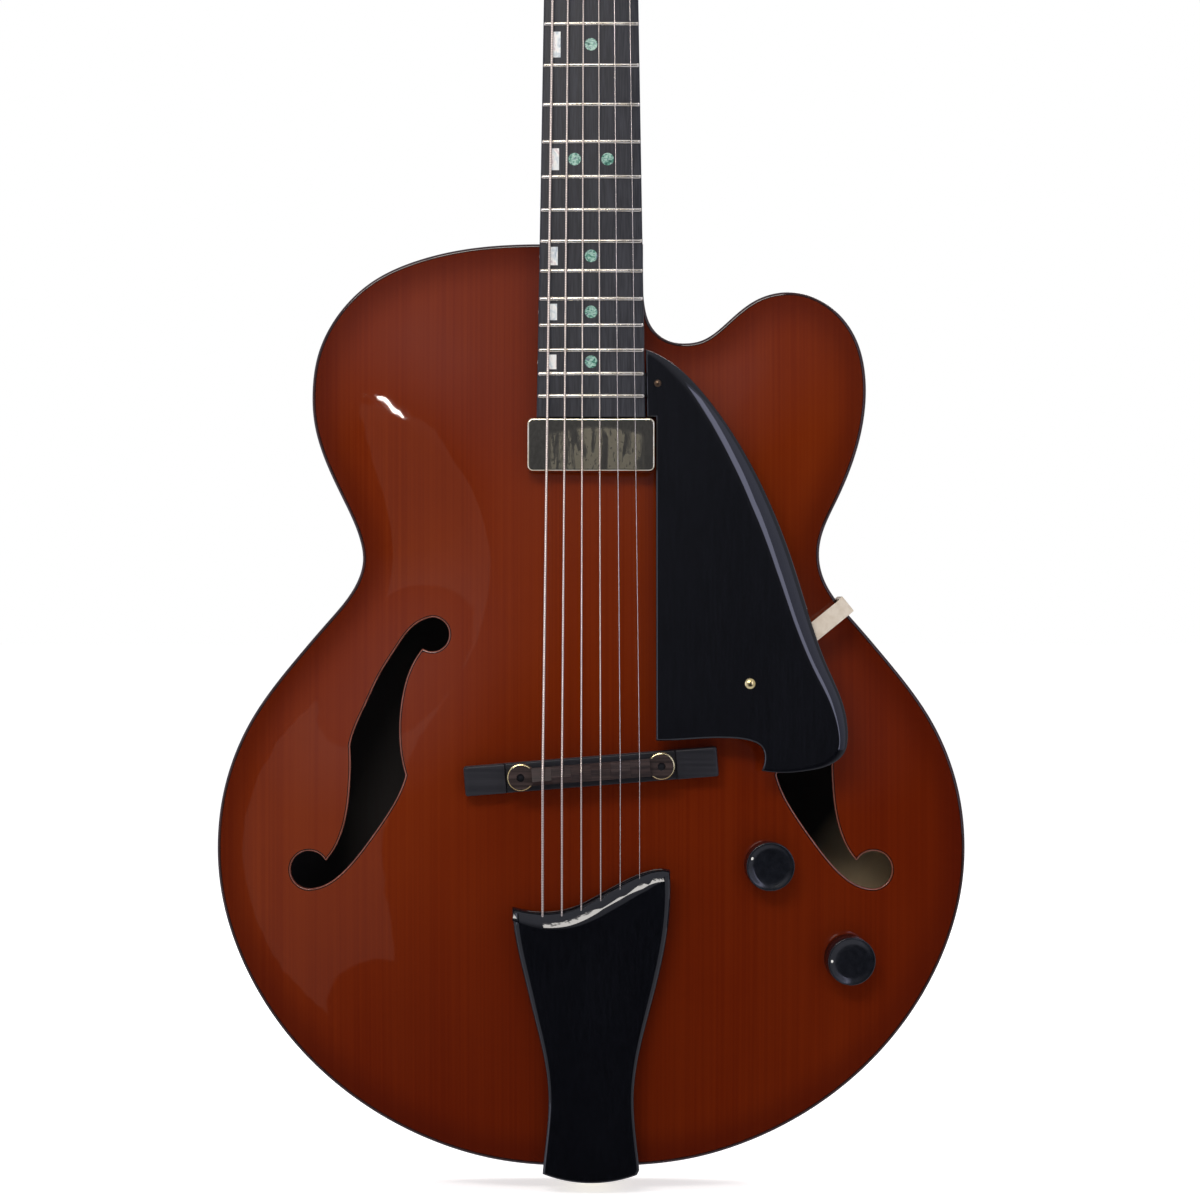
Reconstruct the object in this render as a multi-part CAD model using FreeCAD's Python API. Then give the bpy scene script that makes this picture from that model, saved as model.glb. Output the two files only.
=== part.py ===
import FreeCAD
import Part
import math
import os

# Archtop guitar with one round cutaway, standing upright.
# Frame: X to the treble side, Y to the back, Z up the neck.
# The origin is where the end pin meets the rim at the tail, at the middle of the rim's depth.
# All lengths are millimetres, all angles degrees.

V = FreeCAD.Vector
ORIGIN = V(0, 0, 0)
ACROSS = V(1, 0, 0)
BACKWARD = V(0, 1, 0)
UPWARD = V(0, 0, 1)

# Scale and strings
SCALE_LENGTH = 628.0
FRET_COUNT = 20
JOIN_FRET = 14
SEMITONES = 12
STRING_RADII = (0.66, 0.53, 0.41, 0.31, 0.21, 0.16)
BRIDGE_SPREAD = 51.0
NUT_SPREAD = 35.5
NUT_ACTION = 0.4
BRIDGE_ACTION = 3.2
STRING_CLEARANCE = 0.06
BALL_RADIUS = 2.0
STRING_BEND = 4.0
COIL_TURNS = 2.5
COIL_GAP = 0.5
COIL_HEIGHT = 8.5

# Fits
RUNNING_CLEARANCE = 0.05
SEAT_CLEARANCE = 0.05
CURVE_CLEARANCE = 0.3
OVERRUN = 20.0

# Body
BODY_LENGTH = 490.0
LOWER_BOUT_WIDTH = 397.0
RIM_HEIGHT = 52.0
RIM_THICKNESS = 2.5
PLATE_THICKNESS = 4.5
TOP_ARCH_HEIGHT = 14.0
BACK_ARCH_HEIGHT = 11.0
BINDING_WIDTH = 1.8
LINING_WIDTH = 5.5
LINING_HEIGHT = 12.0
NECK_BLOCK_WIDTH = 90.0
NECK_BLOCK_DEPTH = 58.0
TAIL_BLOCK_WIDTH = 80.0
TAIL_BLOCK_DEPTH = 20.0
TONE_BAR_WIDTH = 7.0
TONE_BAR_HEIGHT = 13.0
TONE_BAR_LENGTH = 290.0
TONE_BAR_BOTTOM = 95.0
TONE_BAR_SPACING = 76.0
TONE_BAR_SPLAY = 2.5
RIM_SAMPLES = 260
ARCH_COLUMNS = 34
ARCH_ROWS = 42

# Outline of one side, tail to waist, as shares of the half width and of the body's length
LOWER_BOUT_SHARES = (
    (0.250, 0.007), (0.433, 0.029), (0.626, 0.072), (0.801, 0.137), (0.935, 0.224), (0.995, 0.310),
    (1.0, 0.353), (0.989, 0.397), (0.911, 0.4835), (0.794, 0.5485), (0.702, 0.592), (0.625, 0.635),
    (0.611, 0.657))
# Waist to neck, on the bass side and, with the cutaway, on the treble side
BASS_SHOULDER_SHARES = (
    (0.618, 0.678), (0.663, 0.722), (0.742, 0.808), (0.746, 0.840), (0.730, 0.882), (0.682, 0.921),
    (0.584, 0.960), (0.471, 0.9815), (0.311, 0.996), (0.139, 1.0))
CUTAWAY_SHARES = (
    (0.614, 0.678), (0.658, 0.722), (0.729, 0.808), (0.735, 0.852), (0.705, 0.901), (0.656, 0.927),
    (0.565, 0.9465), (0.532, 0.948), (0.447, 0.9405), (0.361, 0.914), (0.2925, 0.895), (0.250, 0.8925),
    (0.2115, 0.895), (0.166, 0.908), (0.143, 0.934), (0.139, 0.952))

# F-holes: place of the middle, then points as shares of the length, from the middle outwards
F_HOLE_LENGTH = 143.8
F_HOLE_OFFSET = 116.8
F_HOLE_HEIGHT = 220.3
F_UPPER_EYE_RADIUS = 9.0
F_LOWER_EYE_RADIUS = 10.0
F_BINDING_WIDTH = 1.2
F_EYE_SHARES = (0.227, 0.434)
F_OUTER_UPPER_SHARES = (
    (0.155, 0.4625), (0.091, 0.379), (0.036, 0.291), (-0.020, 0.172), (-0.056, 0.092), (-0.076, 0.024))
F_OUTER_LOWER_SHARES = (
    (-0.076, 0.024), (-0.073, -0.044), (-0.076, -0.123), (-0.084, -0.203), (-0.104, -0.291), (-0.132, -0.355),
    (-0.164, -0.3985))
F_INNER_LOWER_SHARES = (
    (-0.164, -0.486), (-0.084, -0.422), (-0.0045, -0.323), (0.067, -0.219), (0.107, -0.147), (0.130, -0.083))
F_INNER_UPPER_SHARES = (
    (0.130, -0.083), (0.116, -0.028), (0.107, 0.044), (0.107, 0.124), (0.119, 0.219), (0.139, 0.291),
    (0.171, 0.355), (0.189, 0.380))

# Neck, fingerboard and nut
NECK_ANGLE = 3.5
FINGERBOARD_RISE = 16.5
FINGERBOARD_THICKNESS = 6.0
FINGERBOARD_RADIUS = 305.0
FINGERBOARD_OVERHANG = 11.0
LAST_FRET_WIDTH = 57.0
FRET_WIDTH = 2.3
FRET_HEIGHT = 1.1
NUT_WIDTH = 43.0
NUT_THICKNESS = 5.5
NUT_RISE = 1.6
NECK_DEPTH_AT_NUT = 15.0
NECK_DEPTH_AT_HEEL = 18.0
VOLUTE_LENGTH = 14.0
HEEL_REACH = 60.0
HEEL_TIP_WIDTH = 25.0
HEEL_TIP_REACH = 20.0
HEEL_MIDDLE_SHARE = 0.5
HEEL_NARROWING_SHARE = 0.7
TONGUE_WIDTH = 50.0
TONGUE_THICKNESS = 4.5
TONGUE_LENGTH = 78.0
INLAY_THICKNESS = 1.2
BLOCK_INLAY_WIDTH = 4.6
BLOCK_INLAY_SHARE = 0.62
DOT_RADIUS = 3.3
DOUBLE_DOT_SPACING = 17.4
SIDE_DOT_RADIUS = 1.0
SIDE_DOT_LENGTH = 2.5
MARKER_FRETS = (3, 5, 7, 9, 12, 15, 17, 19)
TRUSS_ROD_RADIUS = 3.0
TRUSS_ROD_COVER_WOOD = 4.0
TRUSS_ROD_NUT_RADIUS = 4.5
TRUSS_ROD_NUT_LENGTH = 9.0

# Headstock, outline as shares of its half width and length
HEAD_ANGLE = 14.0
HEAD_DROP = 3.0
HEAD_LENGTH = 182.0
HEAD_WIDTH = 76.0
HEAD_THICKNESS = 15.0
VENEER_THICKNESS = 1.5
HEAD_SIDE_SHARES = ((0.60, 0.05), (0.76, 0.16), (0.85, 0.34), (0.91, 0.60), (1.0, 0.90))
HEAD_TOP_SHARES = ((0.72, 0.955), (0.40, 0.988), (0.0, 1.0))
ROD_POCKET_WIDTH = 11.0
ROD_POCKET_LENGTH = 26.0
ROD_POCKET_DEPTH = 13.0
ROD_COVER_WIDTH = 22.0
ROD_COVER_LENGTH = 44.0
ROD_COVER_THICKNESS = 2.0

# Tuners
TUNERS_PER_SIDE = 3
TUNER_FIRST = 42.0
TUNER_SPACING = 40.0
TUNER_OFFSET = 23.0
TUNER_SPREAD = 2.5
POST_RADIUS = 3.0
POST_WAIST_RADIUS = 2.6
POST_HEIGHT = 13.0
POST_CAP_LENGTH = 2.5
BUSHING_RADIUS = 4.6
BUSHING_LENGTH = 11.0
BUSHING_FLANGE_RADIUS = 6.2
BUSHING_FLANGE_THICKNESS = 2.0
HOUSING_WIDTH = 17.0
HOUSING_LENGTH = 21.0
HOUSING_HEIGHT = 10.5
HOUSING_WALL = 1.3
HOUSING_EDGE_RADIUS = 2.0
HOUSING_TAB_LENGTH = 7.0
HOUSING_TAB_THICKNESS = 1.5
GEAR_RADIUS = 4.6
GEAR_THICKNESS = 4.0
WORM_RADIUS = 2.4
WORM_LENGTH = 9.0
WORM_SHAFT_RADIUS = 1.8
BUTTON_STANDOFF = 12.0
BUTTON_THICKNESS = 7.5
BUTTON_WIDTH = 12.5
BUTTON_LENGTH = 18.5
BUTTON_EDGE_RADIUS = 1.6
BUTTON_BORE_DEPTH = 4.0

# Wood screws, one size for the tailpiece bracket, tuner housings and truss rod cover
SCREW_HEAD_RADIUS = 2.2
SCREW_HEAD_HEIGHT = 1.4
SCREW_SHANK_RADIUS = 1.1
SCREW_LENGTH = 6.5

# Bridge: a base fitted to the top, two threaded posts, two thumbwheels and a compensated saddle
BRIDGE_SKEW = 4.6
BASE_LENGTH = 133.5
BASE_WIDTH = 15.5
BASE_HEIGHT = 7.0
WING_HEIGHT = 9.5
WING_LENGTH = 22.0
WING_RADIUS = 2.4
POST_SPACING = 74.0
BRIDGE_POST_RADIUS = 2.0
WHEEL_RADIUS = 7.4
WHEEL_THICKNESS = 3.2
WHEEL_LIFT = 2.4
SADDLE_WIDTH = 9.0
SADDLE_END_RADIUS = 6.4
SADDLE_SHOE_HEIGHT = 5.5
SADDLE_SIDE_RISE = 2.0
SADDLE_BAR_LENGTH = 62.0
SADDLE_CREST_SHARES = (-0.27, -0.10, 0.05, 0.17, -0.05, 0.10)

# Tailpiece, outline as shares of the half width and length
TAIL_LENGTH = 167.7
TAIL_WIDTH = 82.6
TAIL_OVERHANG = 6.3
TAIL_THICKNESS = 9.0
TAIL_BEVEL = 5.5
TAIL_ANGLE = 7.2
TAIL_CLEARANCE = 1.5
TAIL_FRONT_SHARES = (
    (-1.0, 0.878), (-0.792, 0.867), (-0.501, 0.864), (-0.208, 0.880), (0.085, 0.916), (0.378, 0.956),
    (0.671, 0.989), (0.877, 1.0), (1.0, 0.996))
TAIL_SIDE_SHARES = (
    (0.988, 0.840), (0.877, 0.680), (0.729, 0.535), (0.598, 0.397), (0.545, 0.281), (0.569, 0.158),
    (0.620, 0.030))
TAIL_BASS_TOP_SHARES = ((0.954, 0.775), (0.850, 0.659))
BALL_SETBACK = 13.0
BALL_BORE_RADIUS = 2.6
STRING_HOLE_RADIUS = 1.1
TAIL_SKIN = 2.0
TAIL_BRACKET_WIDTH = 22.0
TAIL_BRACKET_THICKNESS = 2.0
TAIL_BRACKET_ARM = 46.0
TAIL_BRACKET_DROP = 14.0
TAIL_SCREW_PLACES = (22.0, 38.0)

# Strap buttons
STRAP_FLANGE_RADIUS = 6.5
STRAP_WAIST_RADIUS = 4.0
STRAP_HEAD_RADIUS = 7.5
STRAP_FLANGE_HEIGHT = 2.5
STRAP_HEIGHT = 10.4
STRAP_HEAD_HEIGHT = 3.5
STRAP_SCREW_RADIUS = 1.8
STRAP_SCREW_LENGTH = 19.0

# Pickup
PICKUP_WIDTH = 67.0
PICKUP_LENGTH = 28.0
PICKUP_DEPTH = 9.0
PICKUP_DROP = 0.5
PICKUP_GAP = 0.6
PICKUP_CORNER_RADIUS = 3.0
PICKUP_EDGE_RADIUS = 1.0
PICKUP_WALL = 0.6
PICKUP_PLATE_THICKNESS = 1.0
PICKUP_TAB_WIDTH = 26.0
PICKUP_TAB_LENGTH = 12.0

# Finger rest, outline as shares of its width and length
GUARD_WIDTH = 105.8
GUARD_LENGTH = 222.6
GUARD_TIP_HEIGHT = 432.8
GUARD_THICKNESS = 5.0
GUARD_DROP = 1.5
GUARD_CLEARANCE = 0.6
GUARD_ROLL = 3.5
GUARD_CURVE_SHARES = (
    (0.148, 0.963), (0.297, 0.892), (0.520, 0.733), (0.729, 0.499), (0.906, 0.244), (0.974, 0.166),
    (1.0, 0.095), (0.981, 0.046), (0.922, 0.021), (0.802, 0.005), (0.669, 0.0), (0.573, 0.005))
GUARD_NOTCH_SHARES = (
    (0.573, 0.005), (0.587, 0.0315), (0.573, 0.060), (0.521, 0.074), (0.416, 0.081), (0.267, 0.080))
GUARD_FOOT_SHARE = 0.0756
GUARD_BLOCK_LENGTH = 12.0
GUARD_BLOCK_REACH = 15.0
GUARD_BLOCK_THICKNESS = 5.5
GUARD_SCREW_OFFSET = 35.1
GUARD_SCREW_HEIGHT = 414.9
GUARD_SCREW_HEAD_RADIUS = 2.0
BRACKET_SCREW_HEAD_RADIUS = 3.0
GUARD_SCREW_RADIUS = 1.4
GUARD_SCREW_HEAD_HEIGHT = 1.6
GUARD_SCREW_LENGTH = 9.0
BRACKET_WIDTH = 9.4
BRACKET_THICKNESS = 2.4
BRACKET_REACH = 64.0
BRACKET_RIM_SHARE = 0.607
BRACKET_FLANGE_END = 10.0
BRACKET_SCREW_DEPTH = 18.0

# Controls: place of each knob, then the sizes they share, measured along the top's own normal
VOLUME_PLACE = (93.2, 161.1)
TONE_PLACE = (135.6, 111.6)
KNOB_RADIUS = 12.8
KNOB_HEIGHT = 13.0
KNOB_GAP = 1.0
KNOB_EDGE_RADIUS = 2.2
KNOB_DISH_RADIUS = 42.0
KNOB_DISH_DEPTH = 1.6
KNOB_RECESS_RADIUS = 9.5
KNOB_RECESS_DEPTH = 5.5
KNOB_ROOF = 2.5
SHAFT_RADIUS = 3.0
CAN_RADIUS = 12.0
CAN_HEIGHT = 9.0
CAN_WALL = 1.2
POT_BUSHING_RADIUS = 4.7
POT_BUSHING_RISE = 5.0
CONTROL_NUT_RADIUS = 8.0
CONTROL_NUT_THICKNESS = 2.5
HEX_SIDES = 6

# Output jack in the treble rim, and the wiring
JACK_HEIGHT_SHARE = 0.19
JACK_BORE_RADIUS = 3.25
JACK_SLEEVE_RADIUS = 4.7
JACK_LENGTH_INSIDE = 20.0
JACK_LENGTH_OUTSIDE = 3.0
JACK_SHOULDER_RADIUS = 9.0
JACK_SHOULDER_LENGTH = 5.0
WIRE_RADIUS = 1.0
WIRE_HOLE_RADIUS = 1.4
LEAD_EXIT_PLACE = (86.0, 243.0)
LEAD_DEPTH = 14.0
LEAD_LIFT = 5.0
LEAD_BEND = 4.5

# Levels across the depth
RIM_FRONT = -RIM_HEIGHT / 2
RIM_BACK = RIM_HEIGHT / 2
EDGE_FRONT = RIM_FRONT - PLATE_THICKNESS
EDGE_BACK = RIM_BACK + PLATE_THICKNESS
HALF_BOUT = LOWER_BOUT_WIDTH / 2


def box(low, high):
    size = high - low
    return Part.makeBox(size.x, size.y, size.z, low)


def rod(start, end, radius):
    run = end - start
    return Part.makeCylinder(radius, run.Length, start, run)


def spline_curve(points):
    curve = Part.BSplineCurve()
    curve.interpolate(Points=points)
    return curve


def spline(points):
    return spline_curve(points).toShape()


def beside(points, distance):
    """The points of a spline, moved square to its run: rightwards where it runs up, seen from the front."""
    curve = spline_curve(points)
    moved = []
    for point in points:
        run = curve.tangent(curve.parameter(point))[0]
        moved.append(point + V(run.z, 0, -run.x) * distance)
    return moved


def prism(wire, front, back):
    """A flat outline drawn at depth zero, given thickness from front to back."""
    face = Part.Face(wire)
    face.translate(V(0, front, 0))
    return face.extrude(V(0, back - front, 0))


def fused(shapes):
    return shapes[0].multiFuse(shapes[1:])


def without(shape, tools):
    return shape.cut(Part.makeCompound(tools))


def placed(shape, placement):
    moved = shape.copy()
    moved.Placement = placement.multiply(shape.Placement)
    return moved


def mirrored(shape):
    return shape.mirror(ORIGIN, ACROSS)


def upright_edges(blank):
    """Edges that run straight through the depth."""
    chosen = []
    for edge in blank.Edges:
        run = edge.tangentAt(edge.FirstParameter)
        if abs(run.y) > abs(run.x) + abs(run.z):
            chosen.append(edge)
    return chosen


def hex_prism(radius, height):
    steps = [math.radians(i * 360.0 / HEX_SIDES) for i in range(HEX_SIDES + 1)]
    corners = [V(radius * math.cos(a), radius * math.sin(a), 0) for a in steps]
    return Part.Face(Part.makePolygon(corners)).extrude(V(0, 0, height))


def arc_from(start, tangent, end):
    """The one arc that leaves start along tangent and reaches end."""
    chord = end - start
    along = V(chord).normalize()
    bulge = tangent - along * tangent.dot(along)
    turn = tangent.getAngle(chord)
    middle = start + chord / 2 + bulge.normalize() * (chord.Length / 2 * math.tan(turn / 2))
    return Part.Arc(start, middle, end).toShape()


def rounded_path(points, radii):
    """Straight runs between the points, joined by tangent arcs."""
    edges = []
    last = points[0]
    for before, corner, after, radius in zip(points, points[1:], points[2:], radii):
        inward = (corner - before).normalize()
        outward = (after - corner).normalize()
        reach = radius * math.tan(inward.getAngle(outward) / 2)
        start = corner - inward * reach
        end = corner + outward * reach
        edges.append(Part.makeLine(last, start))
        edges.append(arc_from(start, inward, end))
        last = end
    edges.append(Part.makeLine(last, points[-1]))
    return edges


def tube(edges, radius):
    """A round wire along the edges; its volume is compared with section times length."""
    path = Part.Wire(edges)
    start = edges[0].valueAt(edges[0].FirstParameter)
    heading = edges[0].tangentAt(edges[0].FirstParameter)
    section = Part.Wire(Part.makeCircle(radius, start, heading))
    solid = path.makePipeShell([section], True, False)
    print("tube", round(path.Length, 1), "volume over section times length",
          round(solid.Volume / (math.pi * radius ** 2 * path.Length), 4))
    return solid


# Body outline and arching


def outline_point(shares, side):
    return V(side * shares[0] * HALF_BOUT, 0, shares[1] * BODY_LENGTH)


def outline_points():
    """From the cutaway's neck end round the body to the bass shoulder's neck end."""
    treble = [outline_point(s, 1) for s in LOWER_BOUT_SHARES + CUTAWAY_SHARES]
    bass = [outline_point(s, -1) for s in LOWER_BOUT_SHARES + BASS_SHOULDER_SHARES]
    return treble[::-1] + [ORIGIN] + bass


def inset(distance):
    """The outline drawn in by a distance, closed across the neck."""
    points = outline_points()
    drawn = beside(points, distance)
    drawn[0] = points[0] - V(distance, 0, 0)
    drawn[-1] = points[-1] - V(0, 0, distance)
    corner = V(drawn[0].x, 0, drawn[-1].z)
    return Part.Wire([spline(drawn), Part.makeLine(drawn[-1], corner), Part.makeLine(corner, drawn[0])])


OUTLINE = inset(0)
RIM_POINTS = OUTLINE.discretize(Number=RIM_SAMPLES)
RIM_STEPS = list(zip(RIM_POINTS, RIM_POINTS[1:] + RIM_POINTS[:1]))


def inside_outline(x, z):
    crossings = 0
    for a, b in RIM_STEPS:
        if (a.z > z) != (b.z > z):
            if a.x + (z - a.z) * (b.x - a.x) / (b.z - a.z) > x:
                crossings += 1
    return crossings % 2 == 1


def edge_distance(x, z):
    """A smooth stand-in for the distance to the outline, with no ridges in the middle."""
    total = 0
    for a, b in RIM_STEPS:
        middle = (a + b) / 2
        reach = math.hypot(x - middle.x, z - middle.z)
        total += (b - a).Length / max(reach, RIM_THICKNESS) ** 3
    return total ** -0.5


CROWN_DISTANCE = max(edge_distance(0, BODY_LENGTH * i / ARCH_ROWS) for i in range(1, ARCH_ROWS))


def rise(x, z):
    """Share of the arch height: flat at the edge, round at the crown."""
    if not inside_outline(x, z):
        return 0
    share = min(1, edge_distance(x, z) / CROWN_DISTANCE)
    return (1 - math.cos(math.pi * share)) / 2


def top_level(x, z):
    return EDGE_FRONT - TOP_ARCH_HEIGHT * rise(x, z)


def top_normal(x, z):
    """Direction straight out of the top plate."""
    step = PLATE_THICKNESS
    slope_x = (top_level(x + step, z) - top_level(x - step, z)) / (2 * step)
    slope_z = (top_level(x, z + step) - top_level(x, z - step)) / (2 * step)
    return V(slope_x, -1, slope_z).normalize()


def arch_grid():
    columns = [-HALF_BOUT - OVERRUN + (LOWER_BOUT_WIDTH + 2 * OVERRUN) * i / ARCH_COLUMNS
               for i in range(ARCH_COLUMNS + 1)]
    rows = [-OVERRUN + (BODY_LENGTH + 2 * OVERRUN) * i / ARCH_ROWS for i in range(ARCH_ROWS + 1)]
    return [[(x, z, rise(x, z)) for z in rows] for x in columns]


ARCH_GRID = arch_grid()


def arch_face(level, height):
    surface = Part.BSplineSurface()
    surface.interpolate([[V(x, level + height * share, z) for x, z, share in row] for row in ARCH_GRID])
    return surface.toShape()


TOP_OUTER = arch_face(EDGE_FRONT, -TOP_ARCH_HEIGHT)
TOP_SLAB = TOP_OUTER.extrude(V(0, PLATE_THICKNESS, 0))
BACK_SLAB = arch_face(EDGE_BACK, BACK_ARCH_HEIGHT).extrude(V(0, -PLATE_THICKNESS, 0))


def under_top(gap):
    """Everything from the top's outer face, plus a gap, back to the rim."""
    face = TOP_OUTER.copy()
    face.translate(V(0, -gap, 0))
    return face.extrude(V(0, TOP_ARCH_HEIGHT + PLATE_THICKNESS + OVERRUN, 0))


def rim_station(height_share):
    """Point on the treble rim at a height, and the direction straight out of it."""
    height = height_share * BODY_LENGTH
    crossing = [(a, b) for a, b in RIM_STEPS if (a.z > height) != (b.z > height)]
    a, b = max(crossing, key=lambda step: step[0].x)
    run = (b - a).normalize()
    point = a + (b - a) * ((height - a.z) / (b.z - a.z))
    outward = V(-run.z, 0, run.x)
    if outward.x < 0:
        outward = -outward
    return point, outward


# Frames: the neck leans back, the headstock leans back further, the tailpiece leans forward


def fret_distance(fret):
    return SCALE_LENGTH * (1 - 2 ** (-fret / SEMITONES))


def fret_place(fret):
    """Height of a fret in the neck's frame, whose zero is the join fret."""
    return fret_distance(JOIN_FRET) - fret_distance(fret)


NUT_PLACE = fret_distance(JOIN_FRET)
BOARD_END = fret_place(FRET_COUNT) - FINGERBOARD_OVERHANG
NECK = FreeCAD.Placement(V(0, EDGE_FRONT - FINGERBOARD_RISE, BODY_LENGTH),
                         FreeCAD.Rotation(ACROSS, -NECK_ANGLE))
HEAD = NECK.multiply(FreeCAD.Placement(V(0, HEAD_DROP, NUT_PLACE + NUT_THICKNESS),
                                       FreeCAD.Rotation(ACROSS, -HEAD_ANGLE)))
SADDLE_REACH = SCALE_LENGTH - fret_distance(JOIN_FRET)
BRIDGE_HEIGHT = BODY_LENGTH - SADDLE_REACH * math.cos(math.radians(NECK_ANGLE))
CROWN_LEVEL = top_level(0, BRIDGE_HEIGHT)
BRIDGE = FreeCAD.Placement(V(0, CROWN_LEVEL, BRIDGE_HEIGHT), FreeCAD.Rotation(BACKWARD, -BRIDGE_SKEW))
TAIL_SEAT = EDGE_FRONT - TAIL_CLEARANCE - TAIL_BRACKET_THICKNESS
TAIL = FreeCAD.Placement(V(0, TAIL_SEAT, 0), FreeCAD.Rotation(ACROSS, TAIL_ANGLE))


def board_width(place):
    taper = (LAST_FRET_WIDTH - NUT_WIDTH) / fret_distance(FRET_COUNT)
    return NUT_WIDTH + taper * (NUT_PLACE - place)


def crown_drop(x):
    """How far the round of the fingerboard falls away at a distance from its middle."""
    return FINGERBOARD_RADIUS - math.sqrt(FINGERBOARD_RADIUS ** 2 - x ** 2)


def spread(total):
    count = len(STRING_RADII)
    return [total * (i / (count - 1) - 1 / 2) for i in range(count)]


def saddle_crest(index):
    """Crest under one string, in the bridge's frame."""
    x = spread(BRIDGE_SPREAD)[index]
    level = NECK.multVec(V(0, crown_drop(x) - FRET_HEIGHT - BRIDGE_ACTION, -SADDLE_REACH)).y
    return V(x, level - CROWN_LEVEL, SADDLE_CREST_SHARES[index] * SADDLE_WIDTH)


def post_place(index):
    """Middle of one tuner post, in the headstock's frame; the outer strings take the lowest posts."""
    count = 2 * TUNERS_PER_SIDE
    side = -1 if index < TUNERS_PER_SIDE else 1
    step = index if side < 0 else count - 1 - index
    return V(side * (TUNER_OFFSET + TUNER_SPREAD * step), 0, TUNER_FIRST + TUNER_SPACING * step), side


def control_frame(place):
    """Frame on the top at a knob, with its Z straight out of the top."""
    x, z = place
    return FreeCAD.Placement(V(x, top_level(x, z), z), FreeCAD.Rotation(UPWARD, top_normal(x, z)))


VOLUME = control_frame(VOLUME_PLACE)
TONE = control_frame(TONE_PLACE)
JACK_POINT, JACK_OUTWARD = rim_station(JACK_HEIGHT_SHARE)
JACK = FreeCAD.Placement(JACK_POINT, FreeCAD.Rotation(UPWARD, JACK_OUTWARD))
BRACKET_POINT, BRACKET_OUTWARD = rim_station(BRACKET_RIM_SHARE)
BRACKET_SCREW = BRACKET_POINT - BRACKET_OUTWARD * BRACKET_REACH
GUARD_BACK = GUARD_DROP + GUARD_THICKNESS


def on_neck(x, height):
    """Place in the neck's frame of a point given by its height in the whole frame."""
    level = NECK.multVec(V(0, GUARD_DROP, (height - BODY_LENGTH))).y
    local = NECK.inverse().multVec(V(x, level, height))
    return V(local.x, 0, local.z)


# Body pieces


def f_hole(grow):
    """Cutter for the bass f-hole, grown all round."""
    middle = V(-F_HOLE_OFFSET, 0, F_HOLE_HEIGHT)

    def at(shares):
        return middle + V(shares[0], 0, shares[1]) * F_HOLE_LENGTH

    def nicked_side(start, upper_run, lower_run):
        """Two splines along one side that meet in the nick."""
        first = beside([start] + [at(s) for s in upper_run], grow)
        second = beside([at(s) for s in lower_run], grow)
        second[0] = (first[-1] + second[0]) / 2
        first[-1] = second[0]
        return first, second

    upper = at(F_EYE_SHARES)
    lower = middle * 2 - upper
    outer = nicked_side(upper + V(0, 0, F_UPPER_EYE_RADIUS), F_OUTER_UPPER_SHARES, F_OUTER_LOWER_SHARES)
    inner = nicked_side(lower - V(0, 0, F_LOWER_EYE_RADIUS), F_INNER_LOWER_SHARES, F_INNER_UPPER_SHARES)
    stem = Part.Wire([
        spline(outer[0]), spline(outer[1]), Part.makeLine(outer[1][-1], lower),
        Part.makeLine(lower, inner[0][0]), spline(inner[0]), spline(inner[1]),
        Part.makeLine(inner[1][-1], upper), Part.makeLine(upper, outer[0][0])])
    front = EDGE_FRONT - TOP_ARCH_HEIGHT - OVERRUN
    eyes = []
    for place, radius in ((upper, F_UPPER_EYE_RADIUS), (lower, F_LOWER_EYE_RADIUS)):
        eyes.append(rod(place + V(0, front, 0), place, radius + grow))
    return fused([prism(stem, front, 0)] + eyes)


def f_holes(grow):
    bass = f_hole(grow)
    return [bass, mirrored(bass)]


def control_hole(frame, radius):
    return placed(rod(V(0, 0, -OVERRUN), V(0, 0, OVERRUN), radius), frame)


def lead_hole(radius):
    x, z = LEAD_EXIT_PLACE
    return rod(V(x, EDGE_FRONT - TOP_ARCH_HEIGHT - OVERRUN, z), V(x, RIM_FRONT + LEAD_DEPTH, z), radius)


def top_plate():
    plate = TOP_SLAB.common(prism(inset(BINDING_WIDTH), EDGE_FRONT - TOP_ARCH_HEIGHT - OVERRUN, 0))
    bushings = [control_hole(frame, POT_BUSHING_RADIUS + RUNNING_CLEARANCE) for frame in (VOLUME, TONE)]
    return without(plate, f_holes(F_BINDING_WIDTH) + bushings + [lead_hole(WIRE_HOLE_RADIUS)])


def f_hole_bindings():
    return [TOP_SLAB.common(outer).cut(inner) for outer, inner in zip(f_holes(F_BINDING_WIDTH), f_holes(0))]


def back_plate():
    return BACK_SLAB.common(prism(inset(BINDING_WIDTH), 0, EDGE_BACK + BACK_ARCH_HEIGHT + OVERRUN))


def edge_binding(front, back):
    return prism(OUTLINE, front, back).cut(prism(inset(BINDING_WIDTH), front - OVERRUN, back + OVERRUN))


def end_pin_hole():
    return rod(V(0, 0, -OVERRUN), V(0, 0, STRAP_SCREW_LENGTH), STRAP_SCREW_RADIUS)


def jack_hole():
    return placed(rod(V(0, 0, -OVERRUN), V(0, 0, OVERRUN), JACK_SLEEVE_RADIUS + RUNNING_CLEARANCE), JACK)


def bracket_flange_frame():
    """Frame on the rim where the finger rest's bracket is screwed, with its Z straight out."""
    place = BRACKET_POINT + V(0, -BRACKET_SCREW_DEPTH, 0)
    return FreeCAD.Placement(place, FreeCAD.Rotation(UPWARD, BRACKET_OUTWARD))


def flange_screw_hole():
    shank = rod(V(0, 0, -GUARD_SCREW_LENGTH), V(0, 0, OVERRUN), GUARD_SCREW_RADIUS)
    return placed(shank, bracket_flange_frame())


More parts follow.
